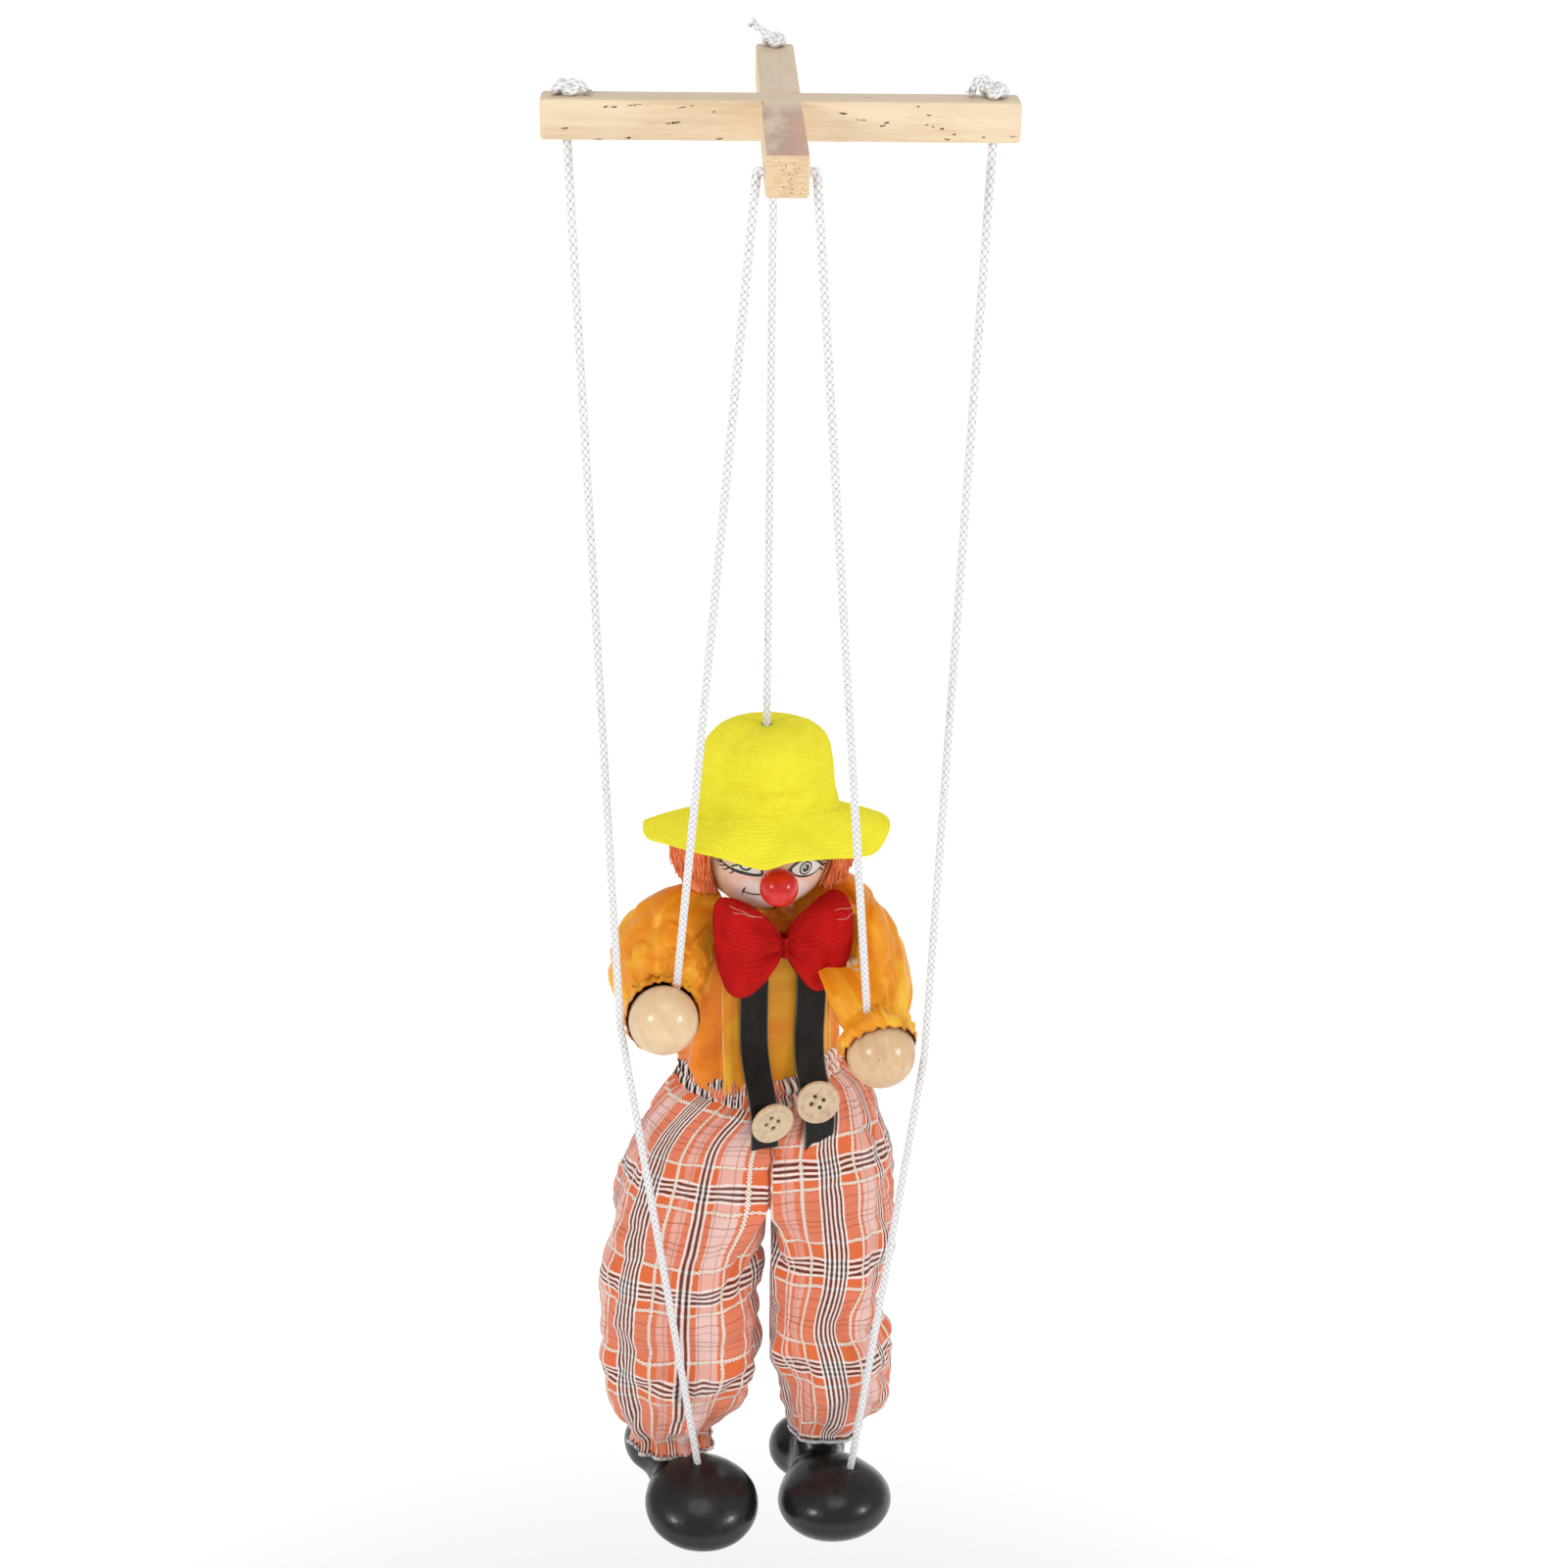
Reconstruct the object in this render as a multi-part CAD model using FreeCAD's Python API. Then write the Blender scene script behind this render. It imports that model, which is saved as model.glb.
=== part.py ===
import FreeCAD, Part
import math
import os

# A string puppet of a clown: a cross of two wooden bars above, five strings, and a
# jointed wooden figure in cloth clothes below.
# Millimetres. Origin: centre of the crossing of the two bars, half way up their
# thickness. +Z up, -Y is the side that the figure faces, +X is its left hand side
# (the viewer's right). "left" and "right" in node names are the viewer's.

V = FreeCAD.Vector

# ---------------------------------------------------------------- control cross
BAR = 12.0                 # square section of both bars
CROSSBAR_LENGTH = 139.0
FORE_AFT_FRONT_Y = -76.0
FORE_AFT_REAR_Y = 82.0
EDGE_ROUND = 1.2
FOOT_HOLE_X = 62.0         # vertical holes for the foot strings
HEAD_HOLE_Y = 76.0         # vertical hole for the head string
HAND_HOLE_Y = -70.0        # cross hole for the hand strings
STRING_HOLE_D = 3.2

# ---------------------------------------------------------------- strings
STRING_D = 2.6
STRING_HEAD_TOP_Z = -6.6
KNOT_R = 4.2

# ---------------------------------------------------------------- figure
AXIS_Y = HEAD_HOLE_Y       # the figure hangs under the head string
BODY_YAW = 18.0            # the trunk is turned towards +X
HEAD_YAW = 8.0
HEAD_R = 24.3
HEAD_Z = -268.5
NOSE_R = 6.7
HAT_TOP_Z = -226.0
NECK_R = 4.5
NECK_FIT = 0.05
NECK_TOP_Z = -283.0

TRUNK_TOP_Z = -298.0
TRUNK_BOTTOM_Z = -374.0
TRUNK_HALF_W = 21.0
TRUNK_HALF_D = 12.0
PELVIS_BOTTOM_Z = -388.0
SHIRT_T = 1.2
WAIST_Z = -360.0

SHOULDER_U = 27.5
SHOULDER_Z = -298.0
UPPER_ARM = 29.0
FOREARM = 38.0             # elbow pin to centre of the hand ball
ARM_R = 3.6
HAND_R = 12.0
HAND_LEFT = (-35.4, 29.0, -315.2)
HAND_RIGHT = (39.6, 27.0, -327.2)

HIP_U = 13.0
HIP_Z = -398.0
THIGH = 63.0
SHIN = 61.0
LEG_R = 4.0

# shoes: toe lobe centre, direction of the toe, toe lifted
SHOE_LEFT = ((-22.0, 35.0, -526.0), 21.0, 13.0)
SHOE_RIGHT = ((28.0, 39.5, -526.0), 14.0, -6.0)
TOE_R, TOE_H = 21.0, 13.0
HEEL_R, HEEL_H = 14.5, 12.5
LOBE_DISTANCE = 38.0
SOLE_DROP = 11.0           # sole plane under the lobe centres

# hinges of wood on a steel pin
TONGUE_T = 3.0
SLOT_T = 3.6
EYE_R = 3.2
PIN_R = 1.1
PIN_FIT = 0.05
NECK_LENGTH = 7.5

# ---------------------------------------------------------------- helpers


def v(*a):
    return V(*(a[0] if len(a) == 1 else a))


def unit(a):
    b = V(a)
    b.normalize()
    return b


def yawed(angle):
    c, s = math.cos(math.radians(angle)), math.sin(math.radians(angle))
    return V(c, s, 0), V(-s, c, 0)


BODY_U, BODY_V = yawed(BODY_YAW)
HEAD_U, HEAD_V = yawed(HEAD_YAW)


def trunk(u, w, z):
    """A point of the trunk's own axes (right, back, up) in the part's frame."""
    return V(0, AXIS_Y, z) + BODY_U * u + BODY_V * w


def frame_of(origin, ex, ey, ez):
    m = FreeCAD.Matrix(
        ex.x, ey.x, ez.x, origin.x,
        ex.y, ey.y, ez.y, origin.y,
        ex.z, ey.z, ez.z, origin.z,
        0, 0, 0, 1)
    return FreeCAD.Placement(m)


def box(origin, ex, ey, ez, x0, x1, y0, y1, z0, z1):
    b = Part.makeBox(x1 - x0, y1 - y0, z1 - z0, V(x0, y0, z0))
    b.Placement = frame_of(origin, ex, ey, ez).multiply(b.Placement)
    return b


def rod(a, b, r):
    d = b - a
    return Part.makeCylinder(r, d.Length, a, d)


def disc(centre, axis, r, thick):
    return Part.makeCylinder(r, thick, centre - axis * (thick / 2), axis)


def spheroid(centre, axis, along, across):
    """A ball stretched or flattened along one axis."""
    steps = 24
    pts = []
    for i in range(steps + 1):
        t = -math.pi / 2 + math.pi * i / steps
        pts.append(V(across * math.cos(t), 0, along * math.sin(t)))
    pts[0], pts[-1] = V(0, 0, -along), V(0, 0, along)
    c = Part.BSplineCurve()
    c.interpolate(pts)
    w = Part.Wire([c.toShape(), Part.LineSegment(V(0, 0, along), V(0, 0, -along)).toShape()])
    s = Part.Face(w).revolve(V(0, 0, 0), V(0, 0, 1), 360)
    if s.ShapeType != "Solid":
        s = s.Solids[0]
    az = unit(axis)
    helper = V(1, 0, 0) if abs(az.x) < 0.8 else V(0, 1, 0)
    ex = unit(helper.cross(az))
    s.Placement = frame_of(centre, ex, az.cross(ex), az)
    return s


def revolve(points, centre=(0, 0), smooth=False):
    """Closed outline (radius, z) turned about the vertical through centre."""
    p = [V(r, 0, z) for r, z in points]
    w = Part.makePolygon(p + [p[0]])
    s = Part.Face(w).revolve(V(0, 0, 0), V(0, 0, 1), 360)
    if s.ShapeType != "Solid":
        s = s.Solids[0]
    s.translate(V(centre[0], centre[1], 0))
    return s


def in_plane(d, n):
    return unit(d - n * d.dot(n))


def tongue(centre, n, towards, reach):
    """Flat eye on the pin, with a neck that reaches into its own piece."""
    e = in_plane(towards, n)
    m = n.cross(e)
    eye = disc(centre, n, EYE_R, TONGUE_T)
    neck = box(centre, e, m, n, 0, reach, -2.6, 2.6, -TONGUE_T / 2, TONGUE_T / 2)
    hole = disc(centre, n, PIN_R + PIN_FIT, TONGUE_T + 2)
    return eye.fuse(neck), hole


def fork(centre, n, towards, r):
    """The slot and the pin hole of a forked end whose piece lies towards."""
    e = in_plane(towards, n)
    m = n.cross(e)
    slot = box(centre, e, m, n, -(r + 3), EYE_R + 0.7, -(r + 3), r + 3, -SLOT_T / 2, SLOT_T / 2)
    hole = disc(centre, n, PIN_R, 40)
    barrel = disc(centre, n, r + 0.25, 2 * r - 0.9)
    return slot, hole, barrel


def pin(centre, n, r):
    return disc(centre, n, PIN_R, 2 * r - 0.9)


def route(points, radii):
    """Straight runs joined by tangent arcs, as one wire."""
    edges, start = [], points[0]
    for i in range(1, len(points) - 1):
        a, b, c = points[i - 1], points[i], points[i + 1]
        d0, d1 = unit(a - b), unit(c - b)
        half = math.acos(max(-1, min(1, d0.dot(d1)))) / 2       # half the inner angle
        r = radii[i - 1]
        back = r / math.tan(half)
        p0, p1 = b + d0 * back, b + d1 * back
        mid_dir = unit(d0 + d1)
        centre = b + mid_dir * (r / math.sin(half))
        middle = centre - mid_dir * r
        edges.append(Part.LineSegment(start, p0).toShape())
        edges.append(Part.Arc(p0, middle, p1).toShape())
        start = p1
        print("arc radius %.2f mm, turn %.1f deg" % (r, 180 - 2 * math.degrees(half)))
    edges.append(Part.LineSegment(start, points[-1]).toShape())
    return Part.Wire(edges)


def cord(points, radii, d):
    w = route(points, radii)
    first = unit(points[1] - points[0])
    profile = Part.Wire([Part.Circle(points[0], first, d / 2).toShape()])
    s = w.makePipeShell([profile], True, False)
    s = s if s.ShapeType == "Solid" else Part.Solid(s.Shells[0])
    print("cord length %.1f mm, volume %.1f of %.1f mm3"
          % (w.Length, s.Volume, w.Length * math.pi * d * d / 4))
    return s


def one(shape):
    merged = shape.copy().removeSplitter()
    if merged.isValid() and len(merged.Solids) == 1:
        shape = merged
    if len(shape.Solids) != 1:
        raise ValueError("not one solid: %d" % len(shape.Solids))
    return shape.Solids[0]


parts = {}


def keep(name, shape):
    s = one(shape)
    if not s.isValid() or not s.isClosed():
        raise ValueError(name + " is not a valid closed solid")
    parts[name] = s


# ---------------------------------------------------------------- control cross

X, Y, Z = V(1, 0, 0), V(0, 1, 0), V(0, 0, 1)
O = V(0, 0, 0)
H = BAR / 2


def bar(x0, x1, y0, y1):
    b = box(O, X, Y, Z, x0, x1, y0, y1, -H, H)
    return b.makeFillet(EDGE_ROUND, b.Edges)


crossbar = bar(-CROSSBAR_LENGTH / 2, CROSSBAR_LENGTH / 2, -H, H)
crossbar = crossbar.cut(box(O, X, Y, Z, -H, H, -H - 1, H + 1, -H - 1, 0))
for sx in (-1, 1):
    crossbar = crossbar.cut(disc(V(sx * FOOT_HOLE_X, 0, 0), Z, STRING_HOLE_D / 2, 30))
keep("control_crossbar", crossbar)

fore_aft = bar(-H, H, FORE_AFT_FRONT_Y, FORE_AFT_REAR_Y)
fore_aft = fore_aft.cut(box(O, X, Y, Z, -H - 1, H + 1, -H, H, 0, H + 1))
fore_aft = fore_aft.cut(crossbar)
fore_aft = fore_aft.cut(disc(V(0, HEAD_HOLE_Y, 0), Z, STRING_HOLE_D / 2, 30))
fore_aft = fore_aft.cut(disc(V(0, HAND_HOLE_Y, 0), X, STRING_HOLE_D / 2, 30))
keep("control_fore_aft_bar", fore_aft)


def knot(x, y):
    """Overhand knot pulled down on the bar, with the string through the hole."""
    k = Part.makeSphere(KNOT_R, V(x, y, H + 2.6))
    k = k.cut(box(V(x, y, H), X, Y, Z, -9, 9, -9, 9, -9, 0))
    stub = rod(V(x, y, -H - 0.2), V(x, y, H + 2), STRING_D / 2)
    return k.fuse(stub)


keep("head_string_knot", knot(0, HEAD_HOLE_Y))
keep("left_foot_string_knot", knot(-FOOT_HOLE_X, 0))
keep("right_foot_string_knot", knot(FOOT_HOLE_X, 0))
BRIDGE_X = H + 1.4
keep("hand_string_bridge", rod(V(-BRIDGE_X, HAND_HOLE_Y, 0), V(BRIDGE_X, HAND_HOLE_Y, 0), STRING_D / 2))

# ---------------------------------------------------------------- head string and trunk

head_top = V(0, AXIS_Y, HAT_TOP_Z)
keep("head_string", rod(V(0, AXIS_Y, STRING_HEAD_TOP_Z), V(0, AXIS_Y, HAT_TOP_Z + 0.6), STRING_D / 2))
HEAD_STRING_PIVOT = V(0, AXIS_Y, -6.0)
TRUNK_PIVOT = V(0, AXIS_Y, HAT_TOP_Z)
NECK_CORD_BOTTOM_Z = TRUNK_TOP_Z - 8
keep("neck_cord", rod(V(0, AXIS_Y, HAT_TOP_Z - 1.0), V(0, AXIS_Y, NECK_CORD_BOTTOM_Z), STRING_D / 2))

T0 = V(0, AXIS_Y, 0)
block = box(T0, BODY_U, BODY_V, Z, -TRUNK_HALF_W, TRUNK_HALF_W, -TRUNK_HALF_D, TRUNK_HALF_D,
            TRUNK_BOTTOM_Z, TRUNK_TOP_Z)
block = block.makeFillet(2.5, block.Edges)
pelvis = box(T0, BODY_U, BODY_V, Z, -19, 19, -10, 10, PELVIS_BOTTOM_Z, TRUNK_BOTTOM_Z + 4)
pelvis = pelvis.makeFillet(2.0, pelvis.Edges)
neck = rod(V(0, AXIS_Y, TRUNK_TOP_Z - 4), V(0, AXIS_Y, NECK_TOP_Z), NECK_R)
block = block.fuse([pelvis, neck])

# limb axes: an arm turns in the plane of its own string, a leg in the plane of its foot

HAND_EXIT_X = BRIDGE_X
arm, leg = {}, {}
for side, sx, hand in (("left", -1, V(*HAND_LEFT)), ("right", 1, V(*HAND_RIGHT))):
    shoulder = trunk(sx * SHOULDER_U, 2.0, SHOULDER_Z)
    # the string goes into the hand behind its top
    back = unit(V(hand.x, hand.y, 0) - V(shoulder.x, shoulder.y, 0)) * -1
    entry = hand + unit(back * 0.50 + Z * 0.82 - X * (sx * 0.28)) * HAND_R
    top = V(sx * (HAND_EXIT_X + 0.9), HAND_HOLE_Y, -2.2)
    up = unit(top - entry)
    n = unit((hand - shoulder).cross(up))
    line = hand - shoulder
    d = line.Length
    along = (UPPER_ARM ** 2 - FOREARM ** 2 + d * d) / (2 * d)
    off = math.sqrt(max(0, UPPER_ARM ** 2 - along ** 2))
    w = V(sx * (0.42 if side == "left" else 0.75), 0.25, -0.85)
    l = unit(line)
    w = unit(w - l * w.dot(l))
    elbow = shoulder + l * along + w * off
    arm[side] = dict(shoulder=shoulder, elbow=elbow, hand=hand, entry=entry, top=top, n=n, up=up, sx=sx)

for side, sx, (toe, yaw, lift) in (("left", -1, SHOE_LEFT), ("right", 1, SHOE_RIGHT)):
    toe = V(*toe)
    ex, ey = yawed(yaw)
    c, s = math.cos(math.radians(lift)), math.sin(math.radians(lift))
    ey2 = ey * c - Z * s               # towards the heel, which hangs lower
    ez2 = Z * c + ey * s
    shoe = lambda x, y, z, o=toe, a=ex, b=ey2, q=ez2: o + a * x + b * y + q * z
    ankle = shoe(0, LOBE_DISTANCE - 12.0, 15.0)
    hip = trunk(sx * HIP_U, 0, HIP_Z)
    entry = shoe(1.5 if side == "left" else 6.5, 4.0 if side == "left" else 2.0, TOE_H * 0.95)
    fwd = unit(V(entry.x - hip.x, entry.y - hip.y, 0))
    n = V(fwd.y, -fwd.x, 0)
    line = ankle - hip
    d = line.Length
    along = (THIGH ** 2 - SHIN ** 2 + d * d) / (2 * d)
    off = math.sqrt(max(0, THIGH ** 2 - along ** 2))
    l = unit(line)
    w = fwd + V(sx * 0.25, 0, 0)
    w = unit(w - l * w.dot(l))
    knee = hip + l * along + w * off
    leg[side] = dict(hip=hip, knee=knee, ankle=ankle, n=n, fwd=fwd, entry=entry, toe=toe,
                     ex=ex, ey=ey2, ez=ez2, sx=sx, shoe=shoe)
    print(side, "leg offset of the knee %.1f mm" % off)

# the foot string goes round the outer side of the hand
for side in ("left", "right"):
    a, g = arm[side], leg[side]
    sx = a["sx"]
    hole = V(sx * FOOT_HOLE_X, 0, -H)
    hand, entry = a["hand"], g["entry"]
    # plane through the hole, the shoe's hole and the outer side of the hand
    out = HAND_R + STRING_D / 2 + 0.45
    bend = V(hand.x + sx * (out + 1.0), hand.y - 3.0, hand.z)
    g["hole"], g["bend"] = hole, bend

# ---------------------------------------------------------------- trunk details

for side in ("left", "right"):
    a, g = arm[side], leg[side]
    sx, n = a["sx"], a["n"]
    outward = n if n.x * sx > 0 else n * -1
    a["outward"] = outward
    pin_in = a["shoulder"] - outward * 16
    pin_out = a["shoulder"] + outward * 3.2
    p = rod(pin_in, pin_out, 1.5).fuse(disc(pin_out + outward * 0.6, outward, 3.2, 1.2))
    keep(side + "_shoulder_pin", p)
    block = block.cut(rod(pin_in, pin_out, 1.5))
    # hip tongue, glued up into the pelvis
    t, hole = tongue(g["hip"], g["n"], Z, g["hip"].z * -1 + PELVIS_BOTTOM_Z + 5)
    block = block.fuse(t).cut(hole)
block = block.cut(rod(V(0, AXIS_Y, NECK_CORD_BOTTOM_Z), V(0, AXIS_Y, NECK_TOP_Z + 5), STRING_HOLE_D / 2))
keep("trunk_block", block)

# shirt: a close shell on the block
so = box(T0, BODY_U, BODY_V, Z, -TRUNK_HALF_W - SHIRT_T, TRUNK_HALF_W + SHIRT_T,
         -TRUNK_HALF_D - SHIRT_T, TRUNK_HALF_D + SHIRT_T, WAIST_Z + 0.0, TRUNK_TOP_Z + SHIRT_T)
so = so.makeFillet(3.0, [e for e in so.Edges if abs(e.tangentAt(e.FirstParameter).z) > 0.9])
si = box(T0, BODY_U, BODY_V, Z, -TRUNK_HALF_W, TRUNK_HALF_W, -TRUNK_HALF_D, TRUNK_HALF_D,
         WAIST_Z - 1, TRUNK_TOP_Z)
shirt = so.cut(si).cut(rod(V(0, AXIS_Y, TRUNK_TOP_Z - 3), V(0, AXIS_Y, TRUNK_TOP_Z + 5), NECK_R + 1))
for side in ("left", "right"):
    a = arm[side]
    shirt = shirt.cut(rod(a["shoulder"] - a["outward"] * 12, a["shoulder"] + a["outward"] * 5, 2.2))
    # room for the raised upper arm beside the armhole
    lift = unit(a["elbow"] - a["shoulder"])
    for turn in (-35, -28, -22, -15, 15, 22, 28, 35):
        raised = rod(a["shoulder"] + lift * 2, a["elbow"], ARM_R + 0.5)
        raised.rotate(a["shoulder"], a["n"], turn)
        shirt = shirt.cut(raised)
keep("shirt_body", shirt)

# braces: flat ribbons down the chest and over the waistband, with a button each
RIBBON_T = 1.0
RIBBON_W = 10.4
FRONT = -(TRUNK_HALF_D + SHIRT_T)
WAIST_FRONT = -24.0
BRACE_TOP_Z = -305.0


def brace(u_top, u_bottom, z_end):
    """Ribbon whose line leans from u_top to u_bottom, with its lower end bent out."""
    outline = [(FRONT - 0.1, BRACE_TOP_Z), (FRONT - 0.1, WAIST_Z + 8.0), (WAIST_FRONT - 0.6, WAIST_Z - 1.5),
               (WAIST_FRONT - 1.6, z_end),
               (WAIST_FRONT - 1.6 - RIBBON_T, z_end), (WAIST_FRONT - 0.6 - RIBBON_T, WAIST_Z - 1.2),
               (FRONT - 0.1 - RIBBON_T, WAIST_Z + 8.6), (FRONT - 0.1 - RIBBON_T, BRACE_TOP_Z)]
    pts = [V(0, y, z) for y, z in outline]
    f = Part.Face(Part.makePolygon(pts + [pts[0]]))
    s = f.extrude(V(RIBBON_W, 0, 0))
    s.translate(V(-RIBBON_W / 2, 0, 0))
    # shear it sideways so that it leans
    k = (u_top - u_bottom) / (BRACE_TOP_Z - z_end)
    m = FreeCAD.Matrix(1, 0, k, u_top - k * BRACE_TOP_Z, 0, 1, 0, 0, 0, 0, 1, 0, 0, 0, 0, 1)
    s = s.transformGeometry(m)
    s.Placement = frame_of(T0, BODY_U, BODY_V, Z).multiply(s.Placement)
    return s


BRACES = {"left": (-7.5, -6.5, -379.0), "right": (8.0, 10.0, -375.0)}
BUTTONS = {"left": (-6.5, -366.0), "right": (10.0, -361.0)}
BUTTON_R, BUTTON_T = 7.6, 2.4
for side in ("left", "right"):
    keep(side + "_brace", brace(*BRACES[side]))
    u, z = BUTTONS[side]
    c = trunk(u, WAIST_FRONT - 1.6 - RIBBON_T - 0.25 - BUTTON_T / 2, z)
    b = disc(c, BODY_V, BUTTON_R, BUTTON_T)
    for du in (-1.7, 1.7):
        for dz in (-1.7, 1.7):
            b = b.cut(disc(c + BODY_U * du + Z * dz, BODY_V, 0.65, 10))
    keep(side + "_button", b)

# bow tie: two wings that are gathered in the middle
BOW_Z = -301.5
BOW_W = -19.0


def wing(s):
    o = trunk(0, BOW_W, BOW_Z)
    pts = [V(s * 1.0, 0, -3.0), V(s * 1.0, 0, 4.0), V(s * 9, 0, 9), V(s * 18, 0, 18.0), V(s * 23.5, 0, 17.0),
           V(s * 25.5, 0, 2.0), V(s * 21, 0, -11.5), V(s * 11.5, 0, -17.0), V(s * 6, 0, -15.0)]
    f = Part.Face(Part.makePolygon(pts + [pts[0]]))
    w = f.extrude(V(0, 4.2, 0))
    w.translate(V(0, -2.1, 0))
    w.Placement = frame_of(o, BODY_U, BODY_V, Z).multiply(w.Placement)
    return w


bow = wing(-1).fuse([wing(1), box(trunk(0, BOW_W, BOW_Z), BODY_U, BODY_V, Z, -3, 3, -3, 3, -4, 5)])
# the wings end before the planes that the arms move in
for side in ("left", "right"):
    sh, outward = arm[side]["shoulder"], arm[side]["outward"]
    bow = bow.cut(rod(sh - outward * 4.3, sh + outward * 60, 120))
keep("bow_tie", bow)

# seat of the trousers: gathered waist, full hips, open below for the legs
outer = [(0, WAIST_Z + 4), (27, WAIST_Z + 4), (25.5, WAIST_Z - 2), (28, WAIST_Z - 14), (29.5, WAIST_Z - 26),
         (28, WAIST_Z - 34), (22, PELVIS_BOTTOM_Z - 4.5), (0, PELVIS_BOTTOM_Z - 4.5)]
s = revolve(outer)
m = FreeCAD.Matrix(1.14, 0, 0, 0, 0, 0.84, 0, 0, 0, 0, 1, 0, 0, 0, 0, 1)
s = s.transformGeometry(m)
s.Placement = frame_of(T0, BODY_U, BODY_V, Z)
inner = box(T0, BODY_U, BODY_V, Z, -TRUNK_HALF_W - SHIRT_T - 0.3, TRUNK_HALF_W + SHIRT_T + 0.3,
            -TRUNK_HALF_D - SHIRT_T - 0.3, TRUNK_HALF_D + SHIRT_T + 0.3, PELVIS_BOTTOM_Z - 20, WAIST_Z + 20)
s = s.cut(inner)
for side in ("left", "right"):
    s = s.cut(parts[side + "_brace"])
keep("trouser_seat", s)

# ---------------------------------------------------------------- head

C = V(0, AXIS_Y, HEAD_Z)
face = HEAD_V * -1
head = Part.makeSphere(HEAD_R, C)
head = head.cut(rod(V(0, AXIS_Y, HEAD_Z - 40), V(0, AXIS_Y, NECK_TOP_Z + 1.0), NECK_R + NECK_FIT))
head = head.cut(rod(V(0, AXIS_Y, HEAD_Z - 40), V(0, AXIS_Y, HEAD_Z + 40), STRING_HOLE_D / 2 + 0.15))
nose_c = C + face * (HEAD_R + 5.4) + HEAD_U * 0.0 + Z * -4.6
nose = Part.makeSphere(NOSE_R, nose_c).cut(Part.makeSphere(HEAD_R, C))
keep("head_ball", head)
keep("nose", nose)

# hair: a thick band of wool round the sides and back
hair = revolve([(24.6, -282.0), (33.0, -281.0), (34.5, -272.0), (33.0, -262.5), (24.6, -261.5)], (0, AXIS_Y))
hair = hair.cut(Part.makeSphere(HEAD_R + 0.02, C))
cutter = box(C, HEAD_U, HEAD_V, Z, -60, 60, -60, -2.0, -60, 60)
keep("hair", hair.cut(cutter))

# hat: knitted, with a round crown and a drooping brim
BRIM_Z = -263.5
hat = revolve([(1.75, HAT_TOP_Z), (12, HAT_TOP_Z - 0.6), (18.5, HAT_TOP_Z - 3.5), (21.5, HAT_TOP_Z - 9),
               (24.5, BRIM_Z + 9.6), (33, BRIM_Z + 6), (43.0, BRIM_Z), (42.4, BRIM_Z - 2.2),
               (32.4, BRIM_Z + 3.2), (24.9, BRIM_Z + 6.4), (22.6, BRIM_Z + 7.0),
               (19.6, HAT_TOP_Z - 10), (16.8, HAT_TOP_Z - 5.6), (11, HAT_TOP_Z - 2.8), (1.75, HAT_TOP_Z - 2.2)],
              (0, AXIS_Y))
keep("hat", hat.cut(Part.makeSphere(HEAD_R + 0.02, C)))

# ---------------------------------------------------------------- arms

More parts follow.
